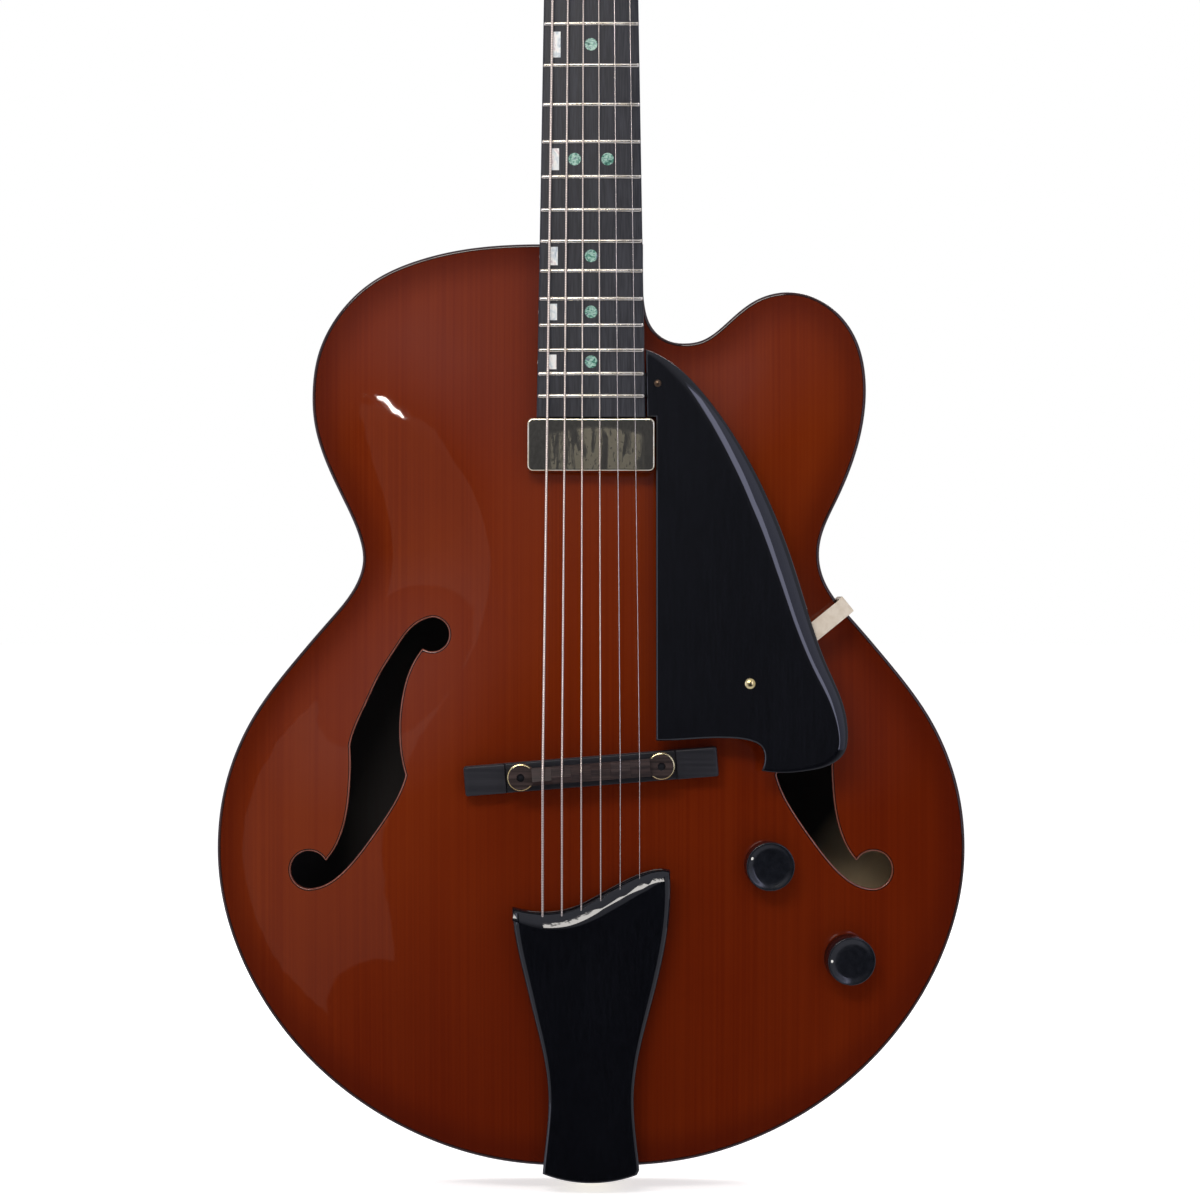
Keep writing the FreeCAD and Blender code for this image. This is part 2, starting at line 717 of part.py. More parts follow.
def rim(side):
    wall = prism(OUTLINE, RIM_FRONT, RIM_BACK).cut(prism(inset(RIM_THICKNESS), -RIM_HEIGHT, RIM_HEIGHT))
    far = side * LOWER_BOUT_WIDTH
    half = box(V(min(0, far), -RIM_HEIGHT, -BODY_LENGTH), V(max(0, far), RIM_HEIGHT, 2 * BODY_LENGTH))
    return without(wall.common(half), [end_pin_hole(), jack_hole(), flange_screw_hole()])


def treble_rim():
    """Bent in two lengths that meet at the waist: the lower bout, then the upper bout with the cutaway."""
    whole = rim(1)
    waist = LOWER_BOUT_SHARES[-1][1] * BODY_LENGTH
    wide = V(LOWER_BOUT_WIDTH, RIM_HEIGHT, 0)
    below = box(V(0, 0, -BODY_LENGTH) - wide, V(0, 0, waist) + wide)
    return [whole.common(below), whole.cut(below)]


def block_box(width, low, high):
    return box(V(-width / 2, RIM_FRONT, low), V(width / 2, RIM_BACK, high))


NECK_BLOCK_BOX = block_box(NECK_BLOCK_WIDTH, BODY_LENGTH - NECK_BLOCK_DEPTH, BODY_LENGTH)
TAIL_BLOCK_BOX = block_box(TAIL_BLOCK_WIDTH, -RIM_THICKNESS, RIM_THICKNESS + TAIL_BLOCK_DEPTH)


def neck_block():
    return NECK_BLOCK_BOX.common(prism(inset(RIM_THICKNESS), RIM_FRONT, RIM_BACK))


def tail_block():
    return TAIL_BLOCK_BOX.common(prism(inset(RIM_THICKNESS), RIM_FRONT, RIM_BACK)).cut(end_pin_hole())


def kerfed_linings():
    solids = []
    for front in (RIM_FRONT, RIM_BACK - LINING_HEIGHT):
        back = front + LINING_HEIGHT
        inner = prism(inset(RIM_THICKNESS + LINING_WIDTH), front - OVERRUN, back + OVERRUN)
        ring = prism(inset(RIM_THICKNESS), front, back).cut(inner)
        solids += without(ring, [NECK_BLOCK_BOX, TAIL_BLOCK_BOX, flange_screw_hole()]).Solids
    return solids


def tone_bars():
    crown = RIM_FRONT - TOP_ARCH_HEIGHT
    blank = box(V(-TONE_BAR_WIDTH / 2, crown - OVERRUN, 0),
                V(TONE_BAR_WIDTH / 2, crown + TONE_BAR_HEIGHT, TONE_BAR_LENGTH))
    inner = TOP_OUTER.copy()
    inner.translate(V(0, PLATE_THICKNESS, 0))
    above = inner.extrude(V(0, -OVERRUN - TOP_ARCH_HEIGHT, 0))
    bars = []
    for side in (-1, 1):
        bar = blank.copy()
        bar.rotate(ORIGIN, BACKWARD, -side * TONE_BAR_SPLAY)
        bar.translate(V(side * TONE_BAR_SPACING / 2, 0, TONE_BAR_BOTTOM))
        bars.append(bar.cut(above))
    return bars


# Neck pieces


def half_ellipse(width, depth, place):
    middle = V(0, FINGERBOARD_THICKNESS, place)
    ellipse = Part.Ellipse(middle + V(width / 2, 0, 0), middle + V(0, depth, 0), middle)
    arc = Part.ArcOfEllipse(ellipse, 0, math.pi).toShape()
    return Part.Wire([arc, Part.makeLine(middle - V(width / 2, 0, 0), middle + V(width / 2, 0, 0))])


def heel_section(level, width, reach):
    """A flat side on the rim, two straight flanks and a round nose."""
    half = width / 2
    shoulder = BODY_LENGTH + reach - half
    a = V(half, level, BODY_LENGTH)
    b = V(half, level, shoulder)
    c = V(-half, level, shoulder)
    d = V(-half, level, BODY_LENGTH)
    nose = Part.Arc(b, V(0, level, shoulder + half), c).toShape()
    return Part.Wire([Part.makeLine(d, a), Part.makeLine(a, b), nose, Part.makeLine(c, d)])


def heel():
    front = EDGE_FRONT - FINGERBOARD_RISE + FINGERBOARD_THICKNESS
    width = board_width(0)
    middle = front + (EDGE_BACK - front) * HEEL_MIDDLE_SHARE
    waist_width = HEEL_TIP_WIDTH + (width - HEEL_TIP_WIDTH) * (1 - HEEL_NARROWING_SHARE)
    waist_reach = HEEL_TIP_REACH + (HEEL_REACH - HEEL_TIP_REACH) * (1 - HEEL_NARROWING_SHARE)
    sections = [heel_section(front, width, HEEL_REACH), heel_section(middle, waist_width, waist_reach),
                heel_section(EDGE_BACK, HEEL_TIP_WIDTH, HEEL_TIP_REACH)]
    return Part.makeLoft(sections, True)


def head_outline():
    half = HEAD_WIDTH / 2
    side = [V(NUT_WIDTH / 2, 0, 0)] + [V(s[0] * half, 0, s[1] * HEAD_LENGTH) for s in HEAD_SIDE_SHARES]
    top = [side[-1]] + [V(s[0] * half, 0, s[1] * HEAD_LENGTH) for s in HEAD_TOP_SHARES]
    right = [spline(side), spline(top)]
    left = [mirrored(edge) for edge in right]
    return Part.Wire(Part.sortEdges(right + left + [Part.makeLine(V(-NUT_WIDTH / 2, 0, 0), side[0])])[0])


def rod_channel():
    deep = FINGERBOARD_THICKNESS + TRUSS_ROD_COVER_WOOD + 2 * TRUSS_ROD_RADIUS
    half = TRUSS_ROD_RADIUS + SEAT_CLEARANCE
    top = NUT_PLACE + NUT_THICKNESS + ROD_POCKET_LENGTH
    return box(V(-half, FINGERBOARD_THICKNESS + TRUSS_ROD_COVER_WOOD, 0), V(half, deep, top))


def rod_pocket():
    half = ROD_POCKET_WIDTH / 2
    return box(V(-half, -OVERRUN, ROD_POCKET_LENGTH / 4), V(half, ROD_POCKET_DEPTH, ROD_POCKET_LENGTH))


def post_holes(radius):
    holes = []
    for index in range(2 * TUNERS_PER_SIDE):
        place, side = post_place(index)
        holes.append(rod(place - V(0, OVERRUN, 0), place + V(0, HEAD_THICKNESS + OVERRUN, 0), radius))
    return holes


def neck():
    top = NUT_PLACE + NUT_THICKNESS + VOLUTE_LENGTH
    shaft = Part.makeLoft([half_ellipse(board_width(0), NECK_DEPTH_AT_HEEL, 0),
                           half_ellipse(board_width(top), NECK_DEPTH_AT_NUT, top)], True, True)
    tongue = box(V(-TONGUE_WIDTH / 2, FINGERBOARD_THICKNESS, -TONGUE_LENGTH),
                 V(TONGUE_WIDTH / 2, FINGERBOARD_THICKNESS + TONGUE_THICKNESS, HEEL_TIP_REACH))
    head = prism(head_outline(), 0, HEAD_THICKNESS)
    wide = V(HEAD_WIDTH, 0, 0)
    board_room = box(V(0, -OVERRUN - NECK_DEPTH_AT_HEEL, -TONGUE_LENGTH - OVERRUN) - wide,
                     V(0, FINGERBOARD_THICKNESS, NUT_PLACE + NUT_THICKNESS) + wide)
    head_room = box(V(0, -OVERRUN, 0) - wide, V(0, 0, HEAD_LENGTH) + wide)
    body_room = box(V(0, EDGE_FRONT, 0) - wide, V(0, EDGE_BACK, BODY_LENGTH) + wide)
    wood = fused([heel(), placed(shaft, NECK), placed(tongue, NECK), placed(head, HEAD)])
    cuts = [placed(board_room, NECK), placed(head_room, HEAD), placed(rod_channel(), NECK),
            placed(rod_pocket(), HEAD), body_room, heel_button_hole()]
    cuts += [placed(hole, HEAD) for hole in post_holes(BUSHING_RADIUS)]
    cuts += [placed(hole, HEAD) for hole in head_screw_shanks()]
    return without(wood, cuts)


def headstock_veneer():
    blank = prism(head_outline(), -VENEER_THICKNESS, 0)
    cuts = [rod_pocket()] + post_holes(BUSHING_RADIUS) + head_screw_shanks()
    return placed(without(blank, cuts), HEAD)


def rounded_board(radius, low, high, back):
    """The space under the board's round, from low to high and down to back."""
    core = Part.makeCylinder(radius, high - low, V(0, FINGERBOARD_RADIUS, low), UPWARD)
    return core.common(box(V(-HEAD_WIDTH, -radius, low), V(HEAD_WIDTH, back, high)))


def board_blank():
    low = board_width(BOARD_END) / 2
    high = NUT_WIDTH / 2
    plan = Part.makePolygon([V(-low, 0, BOARD_END), V(low, 0, BOARD_END), V(high, 0, NUT_PLACE),
                             V(-high, 0, NUT_PLACE), V(-low, 0, BOARD_END)])
    return prism(Part.Wire(plan), 0, FINGERBOARD_THICKNESS).common(
        rounded_board(FINGERBOARD_RADIUS, BOARD_END, NUT_PLACE, FINGERBOARD_THICKNESS))


def marker_place(fret):
    return (fret_place(fret) + fret_place(fret - 1)) / 2


def low_string_offset(place):
    """Distance of the low string from the middle, at a place along the neck."""
    share = (NUT_PLACE - place) / SCALE_LENGTH
    return (NUT_SPREAD + (BRIDGE_SPREAD - NUT_SPREAD) * share) / 2


BOARD_BLANK = board_blank()


def block_inlay_solids():
    solids = []
    for fret in MARKER_FRETS:
        middle = marker_place(fret)
        half = (fret_place(fret - 1) - fret_place(fret)) * BLOCK_INLAY_SHARE / 2
        left = -low_string_offset(middle)
        depth = crown_drop(left) + INLAY_THICKNESS
        blank = box(V(left, -OVERRUN, middle - half), V(left + BLOCK_INLAY_WIDTH, depth, middle + half))
        solids.append(blank.common(BOARD_BLANK))
    return solids


def dot_inlay_solids():
    solids = []
    for fret in MARKER_FRETS:
        offsets = (-DOUBLE_DOT_SPACING / 2, DOUBLE_DOT_SPACING / 2) if fret == SEMITONES else (0,)
        for x in offsets:
            place = V(x, 0, marker_place(fret))
            dot = rod(place - V(0, OVERRUN, 0), place + V(0, crown_drop(x) + INLAY_THICKNESS, 0), DOT_RADIUS)
            solids.append(dot.common(BOARD_BLANK))
    return solids


def side_dot_solids():
    solids = []
    for fret in MARKER_FRETS:
        place = marker_place(fret)
        edge = V(-board_width(place) / 2, FINGERBOARD_THICKNESS / 2, place)
        dot = rod(edge - V(OVERRUN, 0, 0), edge + V(SIDE_DOT_LENGTH, 0, 0), SIDE_DOT_RADIUS)
        solids.append(dot.common(BOARD_BLANK))
    return solids


BLOCK_INLAYS = block_inlay_solids()
DOT_INLAYS = dot_inlay_solids()
SIDE_DOTS = side_dot_solids()


def on_the_neck(solids):
    return [placed(solid, NECK) for solid in solids]


def fingerboard():
    return placed(without(BOARD_BLANK, BLOCK_INLAYS + DOT_INLAYS + SIDE_DOTS), NECK)


def frets():
    solids = []
    for fret in range(1, FRET_COUNT + 1):
        place = fret_place(fret)
        low = V(0, 0, place - FRET_WIDTH / 2)
        high = V(0, 0, place + FRET_WIDTH / 2)
        crown = Part.Arc(low, V(0, -FRET_HEIGHT, place), high).toShape()
        face = Part.Face(Part.Wire([crown, Part.makeLine(high, low)]))
        half = math.degrees(math.asin(board_width(place) / 2 / FINGERBOARD_RADIUS))
        axis = V(0, FINGERBOARD_RADIUS, 0)
        face.rotate(axis, UPWARD, -half)
        solids.append(placed(face.revolve(axis, UPWARD, 2 * half), NECK))
    return solids


def nut():
    top = NUT_PLACE + NUT_THICKNESS
    low = V(-NUT_WIDTH / 2, -OVERRUN, NUT_PLACE)
    high = V(NUT_WIDTH / 2, FINGERBOARD_THICKNESS, top)
    round_top = rounded_board(FINGERBOARD_RADIUS + NUT_RISE, NUT_PLACE, top, FINGERBOARD_THICKNESS)
    blank = box(low, high).common(round_top)
    slots = []
    for index, radius in enumerate(STRING_RADII):
        points = string_points(index)
        width = radius + STRING_CLEARANCE
        slots += [rod(points[2], points[3], width), rod(points[1], points[2], width)]
    return without(placed(blank, NECK), slots)


def truss_rod():
    level = FINGERBOARD_THICKNESS + TRUSS_ROD_COVER_WOOD + TRUSS_ROD_RADIUS
    end = V(0, level, NUT_PLACE + NUT_THICKNESS + ROD_POCKET_LENGTH / 4)
    bar = rod(V(0, level, 0), end, TRUSS_ROD_RADIUS)
    nut_solid = hex_prism(TRUSS_ROD_NUT_RADIUS, TRUSS_ROD_NUT_LENGTH)
    nut_solid.translate(end)
    return [placed(bar, NECK), placed(nut_solid, NECK)]


def truss_rod_cover():
    half = ROD_COVER_WIDTH / 2
    foot = V(half, 0, 0)
    shoulder = V(half, 0, ROD_COVER_LENGTH / 2)
    tip = V(0, 0, ROD_COVER_LENGTH)
    nose = Part.Arc(shoulder, tip, V(-shoulder.x, 0, shoulder.z)).toShape()
    plan = Part.Wire([Part.makeLine(foot, shoulder), nose,
                      Part.makeLine(V(-half, 0, shoulder.z), -foot), Part.makeLine(-foot, foot)])
    front = -VENEER_THICKNESS - ROD_COVER_THICKNESS
    return placed(without(prism(plan, front, -VENEER_THICKNESS), head_screw_shanks()), HEAD)


# Wood screws


def wood_screw():
    """Head above zero, shank below, along Z."""
    return fused([rod(ORIGIN, V(0, 0, SCREW_HEAD_HEIGHT), SCREW_HEAD_RADIUS),
                  rod(V(0, 0, -SCREW_LENGTH), ORIGIN, SCREW_SHANK_RADIUS)])


def facing(place, direction):
    return FreeCAD.Placement(place, FreeCAD.Rotation(UPWARD, direction))


def cover_screw_frames():
    level = -VENEER_THICKNESS - ROD_COVER_THICKNESS
    low = ROD_POCKET_LENGTH / 8
    high = ROD_COVER_LENGTH - ROD_COVER_WIDTH / 4
    return [facing(V(0, level, place), -BACKWARD) for place in (low, high)]


def housing_tab_place(index):
    place, side = post_place(index)
    return place - V(0, 0, HOUSING_WIDTH / 2 + HOUSING_TAB_LENGTH / 2)


def housing_screw_frames():
    level = V(0, HEAD_THICKNESS + HOUSING_TAB_THICKNESS, 0)
    return [facing(housing_tab_place(i) + level, BACKWARD) for i in range(2 * TUNERS_PER_SIDE)]


def tail_screw_frames():
    level = TAIL_BRACKET_THICKNESS + SEAT_CLEARANCE
    return [facing(V(0, level, z), BACKWARD) for z in TAIL_SCREW_PLACES]


def shanks(frames):
    return [placed(rod(V(0, 0, -SCREW_LENGTH), ORIGIN, SCREW_SHANK_RADIUS), frame) for frame in frames]


def head_screw_shanks():
    return shanks(cover_screw_frames() + housing_screw_frames())


def wood_screws():
    screw = wood_screw()
    solids = [placed(placed(screw, frame), HEAD) for frame in cover_screw_frames() + housing_screw_frames()]
    return solids + [placed(placed(screw, frame), TAIL) for frame in tail_screw_frames()]


# Tuners, in the headstock's frame


def worm_place(index):
    """Start of the worm's axis, beside the gear."""
    place, side = post_place(index)
    beside = GEAR_RADIUS + WORM_RADIUS + RUNNING_CLEARANCE
    return place + V(0, gear_level() + GEAR_THICKNESS / 2, beside), side


def gear_level():
    return HEAD_THICKNESS + (HOUSING_HEIGHT - HOUSING_WALL - GEAR_THICKNESS) / 2


def tuner_housings():
    solids = []
    for index in range(2 * TUNERS_PER_SIDE):
        place, side = post_place(index)
        half = HOUSING_WIDTH / 2
        low = place + V(-half, HEAD_THICKNESS, -half)
        high = place + V(half, HEAD_THICKNESS + HOUSING_HEIGHT, HOUSING_LENGTH - half)
        shell = box(low, high)
        shell = shell.makeFillet(HOUSING_EDGE_RADIUS, upright_edges(shell))
        tab_middle = housing_tab_place(index)
        tab_half = V(HOUSING_TAB_LENGTH / 2, 0, HOUSING_TAB_LENGTH / 2)
        tab_level = V(0, HEAD_THICKNESS, 0)
        tab = box(tab_middle - tab_half + tab_level,
                  tab_middle + tab_half + tab_level + V(0, HOUSING_TAB_THICKNESS, HOUSING_WALL))
        wall = V(HOUSING_WALL, 0, HOUSING_WALL)
        cavity = box(low + wall - V(0, OVERRUN, 0), high - wall - V(0, HOUSING_WALL, 0))
        start, side = worm_place(index)
        bore = rod(start, start + V(side * HOUSING_WIDTH, 0, 0), WORM_SHAFT_RADIUS + RUNNING_CLEARANCE)
        shank = shanks([housing_screw_frames()[index]])
        solids.append(placed(without(fused([shell, tab]), [cavity, bore] + shank), HEAD))
    return solids


def tuner_bushings():
    solids = []
    face = -VENEER_THICKNESS
    for index in range(2 * TUNERS_PER_SIDE):
        place, side = post_place(index)
        seat = place + V(0, face, 0)
        sleeve = rod(seat, seat + V(0, BUSHING_LENGTH, 0), BUSHING_RADIUS)
        flange = rod(seat - V(0, BUSHING_FLANGE_THICKNESS, 0), seat, BUSHING_FLANGE_RADIUS)
        bore = rod(place - V(0, OVERRUN, 0), place + V(0, OVERRUN, 0), POST_RADIUS + RUNNING_CLEARANCE)
        solids.append(placed(fused([sleeve, flange]).cut(bore), HEAD))
    return solids


def tuner_post(index):
    """Gear at the back, round post through the bushing, waist for the string and a cap."""
    place, side = post_place(index)
    tip = -VENEER_THICKNESS - POST_HEIGHT
    collar = -VENEER_THICKNESS - BUSHING_FLANGE_THICKNESS
    stops = ((gear_level(), collar, POST_RADIUS), (collar, tip + POST_CAP_LENGTH, POST_WAIST_RADIUS),
             (tip + POST_CAP_LENGTH, tip, POST_RADIUS))
    pieces = [rod(place + V(0, a, 0), place + V(0, b, 0), radius) for a, b, radius in stops]
    gear = rod(place + V(0, gear_level(), 0), place + V(0, gear_level() + GEAR_THICKNESS, 0), GEAR_RADIUS)
    return placed(fused(pieces + [gear]), HEAD)


def tuner_button(index):
    """Worm with its shaft, and the button that a hand turns."""
    start, side = worm_place(index)
    out = V(side, 0, 0)
    seat = start + out * (HOUSING_WIDTH / 2 + BUTTON_STANDOFF)
    worm = rod(start - out * (WORM_LENGTH / 2), start + out * (WORM_LENGTH / 2), WORM_RADIUS)
    shaft = rod(start, seat + out * BUTTON_BORE_DEPTH, WORM_SHAFT_RADIUS)
    ellipse = Part.Ellipse(seat + V(0, 0, BUTTON_LENGTH / 2), seat + V(0, BUTTON_WIDTH / 2, 0), seat)
    blank = Part.Face(Part.Wire(ellipse.toShape())).extrude(out * BUTTON_THICKNESS)
    rims = [edge for edge in blank.Edges if edge.isClosed()]
    button = blank.makeFillet(BUTTON_EDGE_RADIUS, rims)
    bore = rod(seat - out * BUTTON_BORE_DEPTH, seat + out * BUTTON_BORE_DEPTH, WORM_SHAFT_RADIUS)
    button = button.cut(bore)
    return [placed(fused([worm, shaft]), HEAD), placed(button, HEAD)]


# Bridge


def bridge_post_rod(low, high, radius, side):
    x = side * POST_SPACING / 2
    return rod(V(x, -low, 0), V(x, -high, 0), radius)


SADDLE_FOOT = BASE_HEIGHT + WHEEL_LIFT + WHEEL_THICKNESS
SADDLE_SHOULDER = SADDLE_FOOT + SADDLE_SHOE_HEIGHT


def bridge_base():
    half = V(BASE_LENGTH / 2, 0, BASE_WIDTH / 2)
    blank = box(-half - V(0, WING_HEIGHT, 0), half + V(0, OVERRUN, 0))
    blank = blank.makeFillet(WING_RADIUS, upright_edges(blank))
    reach = BASE_LENGTH / 2 - WING_LENGTH
    middle = box(V(-reach, -WING_HEIGHT - OVERRUN, -BASE_WIDTH), V(reach, -BASE_HEIGHT, BASE_WIDTH))
    shafts = [bridge_post_rod(0, OVERRUN, BRIDGE_POST_RADIUS, side) for side in (-1, 1)]
    base = placed(without(blank, [middle] + shafts), BRIDGE)
    return base.cut(under_top(SEAT_CLEARANCE))


def bridge_posts():
    return [placed(bridge_post_rod(0, SADDLE_SHOULDER - SCREW_HEAD_HEIGHT, BRIDGE_POST_RADIUS, side), BRIDGE)
            for side in (-1, 1)]


def thumbwheel(side):
    low = SADDLE_FOOT - SEAT_CLEARANCE - WHEEL_THICKNESS
    disc = bridge_post_rod(low, SADDLE_FOOT - SEAT_CLEARANCE, WHEEL_RADIUS, side)
    return placed(disc.cut(bridge_post_rod(0, OVERRUN, BRIDGE_POST_RADIUS + RUNNING_CLEARANCE, side)), BRIDGE)


def saddle_segment(index):
    """Roof-shaped length of the bar under one string, with its own crest."""
    crest = saddle_crest(index)
    pitch = SADDLE_BAR_LENGTH / len(STRING_RADII)
    left = (index - len(STRING_RADII) / 2) * pitch
    half = SADDLE_WIDTH / 2
    side = SADDLE_SHOULDER + SADDLE_SIDE_RISE
    corners = [V(left, -SADDLE_FOOT, -half), V(left, -side, -half), V(left, crest.y, crest.z),
               V(left, -side, half), V(left, -SADDLE_FOOT, half), V(left, -SADDLE_FOOT, -half)]
    return Part.Face(Part.makePolygon(corners)).extrude(V(pitch, 0, 0))


def bridge_saddle():
    ends = [bridge_post_rod(SADDLE_FOOT, SADDLE_SHOULDER, SADDLE_END_RADIUS, side) for side in (-1, 1)]
    half = V(POST_SPACING / 2, 0, SADDLE_WIDTH / 2)
    shoe = box(-half - V(0, SADDLE_SHOULDER, 0), half - V(0, SADDLE_FOOT, 0))
    roof = [saddle_segment(i) for i in range(len(STRING_RADII))]
    bores = [bridge_post_rod(0, SADDLE_SHOULDER + OVERRUN, BRIDGE_POST_RADIUS + RUNNING_CLEARANCE, side)
             for side in (-1, 1)]
    return placed(without(fused([shoe] + ends + roof), bores), BRIDGE)


# Tailpiece


def tail_point(shares, side):
    return V(side * shares[0] * TAIL_WIDTH / 2, 0, shares[1] * TAIL_LENGTH - TAIL_OVERHANG)


def tail_front():
    return [tail_point(s, 1) for s in TAIL_FRONT_SHARES]


def tail_wire():
    front = tail_front()
    treble = [front[-1]] + [tail_point(s, 1) for s in TAIL_SIDE_SHARES]
    bass = [front[0]] + [tail_point(s, -1) for s in TAIL_BASS_TOP_SHARES + TAIL_SIDE_SHARES[2:]]
    foot = Part.Arc(treble[-1], V(0, 0, -TAIL_OVERHANG), bass[-1]).toShape()
    return Part.Wire([spline(front), spline(treble), foot, spline(bass[::-1])])


def front_height(x):
    """Height of the tailpiece's front edge at a string."""
    points = tail_front()
    for a, b in zip(points, points[1:]):
        if a.x <= x <= b.x:
            return a.z + (b.z - a.z) * (x - a.x) / (b.x - a.x)
    return points[-1].z


def ball_place(index):
    """Middle of a string's ball end, in the tailpiece's frame."""
    x = spread(BRIDGE_SPREAD)[index]
    return V(x, -TAIL_THICKNESS / 2, front_height(x) - BALL_SETBACK)


def tailpiece():
    blank = prism(tail_wire(), -TAIL_THICKNESS, 0)
    front = tail_front()
    middle = front[len(front) // 2] - V(0, TAIL_THICKNESS, 0)
    edge = min(blank.Edges, key=lambda e: e.distToShape(Part.Vertex(middle))[0])
    blank = blank.makeChamfer(TAIL_BEVEL, [edge])
    cuts = shanks(tail_screw_frames())
    for index in range(len(STRING_RADII)):
        ball = ball_place(index)
        deep = ball - V(0, TAIL_THICKNESS / 2 - TAIL_SKIN, 0)
        cuts.append(rod(ball + V(0, OVERRUN, 0), deep, BALL_BORE_RADIUS))
        goal = TAIL.inverse().multVec(string_points(index)[1])
        cuts.append(rod(ball, goal, STRING_HOLE_RADIUS))
    return placed(without(blank, cuts), TAIL)


def tailpiece_bracket():
    half = V(TAIL_BRACKET_WIDTH / 2, 0, 0)
    arm = box(V(0, SEAT_CLEARANCE, -TAIL_BRACKET_THICKNESS) - half,
              V(0, SEAT_CLEARANCE + TAIL_BRACKET_THICKNESS, TAIL_BRACKET_ARM) + half)
    arm = placed(without(arm, shanks(tail_screw_frames())), TAIL)
    near = -SEAT_CLEARANCE
    bend = TAIL_SEAT + TAIL_BRACKET_THICKNESS / 2
    plate = box(V(0, bend, near - TAIL_BRACKET_THICKNESS) - half, V(0, TAIL_BRACKET_DROP, near) + half)
    return fused([arm, plate]).cut(end_pin_hole())


def strap_button():
    """Flange on zero, waist and head above, screw below, along Z."""
    neck_top = STRAP_HEIGHT - STRAP_HEAD_HEIGHT
    flange = Part.makeCone(STRAP_FLANGE_RADIUS, STRAP_WAIST_RADIUS, STRAP_FLANGE_HEIGHT)
    waist = rod(V(0, 0, STRAP_FLANGE_HEIGHT), V(0, 0, neck_top), STRAP_WAIST_RADIUS)
    head = Part.makeCone(STRAP_WAIST_RADIUS, STRAP_HEAD_RADIUS, STRAP_HEAD_HEIGHT, V(0, 0, neck_top))
    screw = rod(V(0, 0, -STRAP_SCREW_LENGTH), ORIGIN, STRAP_SCREW_RADIUS)
    return fused([flange, waist, head, screw])


def heel_button_frame():
    return facing(V(0, EDGE_BACK, BODY_LENGTH + HEEL_TIP_REACH / 2), BACKWARD)


def heel_button_hole():
    return placed(rod(V(0, 0, -STRAP_SCREW_LENGTH), ORIGIN, STRAP_SCREW_RADIUS), heel_button_frame())


def strap_buttons():
    tail = facing(V(0, 0, -TAIL_BRACKET_THICKNESS - SEAT_CLEARANCE), -UPWARD)
    return [placed(strap_button(), tail), placed(strap_button(), heel_button_frame())]


# Pickup


def pickup_block(margin, front, back):
    """The pickup's rounded outline, drawn in by a margin, in the neck's frame."""
    half = PICKUP_WIDTH / 2 - margin
    high = BOARD_END - PICKUP_GAP
    blank = box(V(-half, front, high - PICKUP_LENGTH + margin), V(half, back, high - margin))
    return blank.makeFillet(PICKUP_CORNER_RADIUS - margin, upright_edges(blank))


PICKUP_BACK = PICKUP_DROP + PICKUP_DEPTH


def pickup_cover():
    shell = pickup_block(0, PICKUP_DROP, PICKUP_BACK)
    front = [edge for edge in shell.Edges if edge.BoundBox.YMax < PICKUP_DROP + PICKUP_WALL]
    shell = shell.makeFillet(PICKUP_EDGE_RADIUS, front)
    room = pickup_block(PICKUP_WALL, PICKUP_DROP + PICKUP_EDGE_RADIUS, PICKUP_BACK + OVERRUN)
    return placed(shell.cut(room), NECK)


def pickup_core():
    front = PICKUP_DROP + PICKUP_EDGE_RADIUS + SEAT_CLEARANCE
    return placed(pickup_block(PICKUP_WALL + SEAT_CLEARANCE, front, PICKUP_BACK), NECK)


def pickup_mount():
    """Plate under the pickup, with a tab and spacer under the board's overhang."""
    back = PICKUP_BACK + PICKUP_PLATE_THICKNESS
    plate = pickup_block(0, PICKUP_BACK, back)
    half = PICKUP_TAB_WIDTH / 2
    high = BOARD_END + PICKUP_TAB_LENGTH
    tab = box(V(-half, PICKUP_BACK, BOARD_END - PICKUP_CORNER_RADIUS), V(half, back, high))
    spacer = box(V(-half, FINGERBOARD_THICKNESS, BOARD_END + PICKUP_GAP), V(half, PICKUP_BACK, high))
    return placed(fused([plate, tab, spacer]), NECK)


# Finger rest


def guard_point(shares):
    tip = on_neck(0, GUARD_TIP_HEIGHT)
    side = board_width(BOARD_END) / 2
    return V(side + shares[0] * GUARD_WIDTH, 0, tip.z - (1 - shares[1]) * GUARD_LENGTH)


def guard_wire():
    tip_place = on_neck(0, GUARD_TIP_HEIGHT).z
    tip = V(board_width(tip_place) / 2 + GUARD_CLEARANCE, 0, tip_place)
    curve = [tip] + [guard_point(s) for s in GUARD_CURVE_SHARES]
    left = PICKUP_WIDTH / 2 + GUARD_CLEARANCE
    foot = V(left, 0, guard_point((0, GUARD_FOOT_SHARE)).z)
    notch = [guard_point(s) for s in GUARD_NOTCH_SHARES] + [foot]
    step = BOARD_END - PICKUP_GAP + GUARD_CLEARANCE
    shoulder = V(left, 0, step)
    inner = V(board_width(step) / 2 + GUARD_CLEARANCE, 0, step)
    return Part.Wire([spline(curve), spline(notch), Part.makeLine(foot, shoulder),
                      Part.makeLine(shoulder, inner), Part.makeLine(inner, tip)])


def guard_screw_frames():
    near = on_neck(GUARD_SCREW_OFFSET, GUARD_SCREW_HEIGHT)
    far = on_neck(BRACKET_SCREW.x, BRACKET_SCREW.z)
    return [facing(place + V(0, GUARD_DROP, 0), -BACKWARD) for place in (near, far)]


def guard_shanks():
    shank = rod(V(0, 0, -GUARD_SCREW_LENGTH), ORIGIN, GUARD_SCREW_RADIUS)
    return [placed(shank, frame) for frame in guard_screw_frames()]


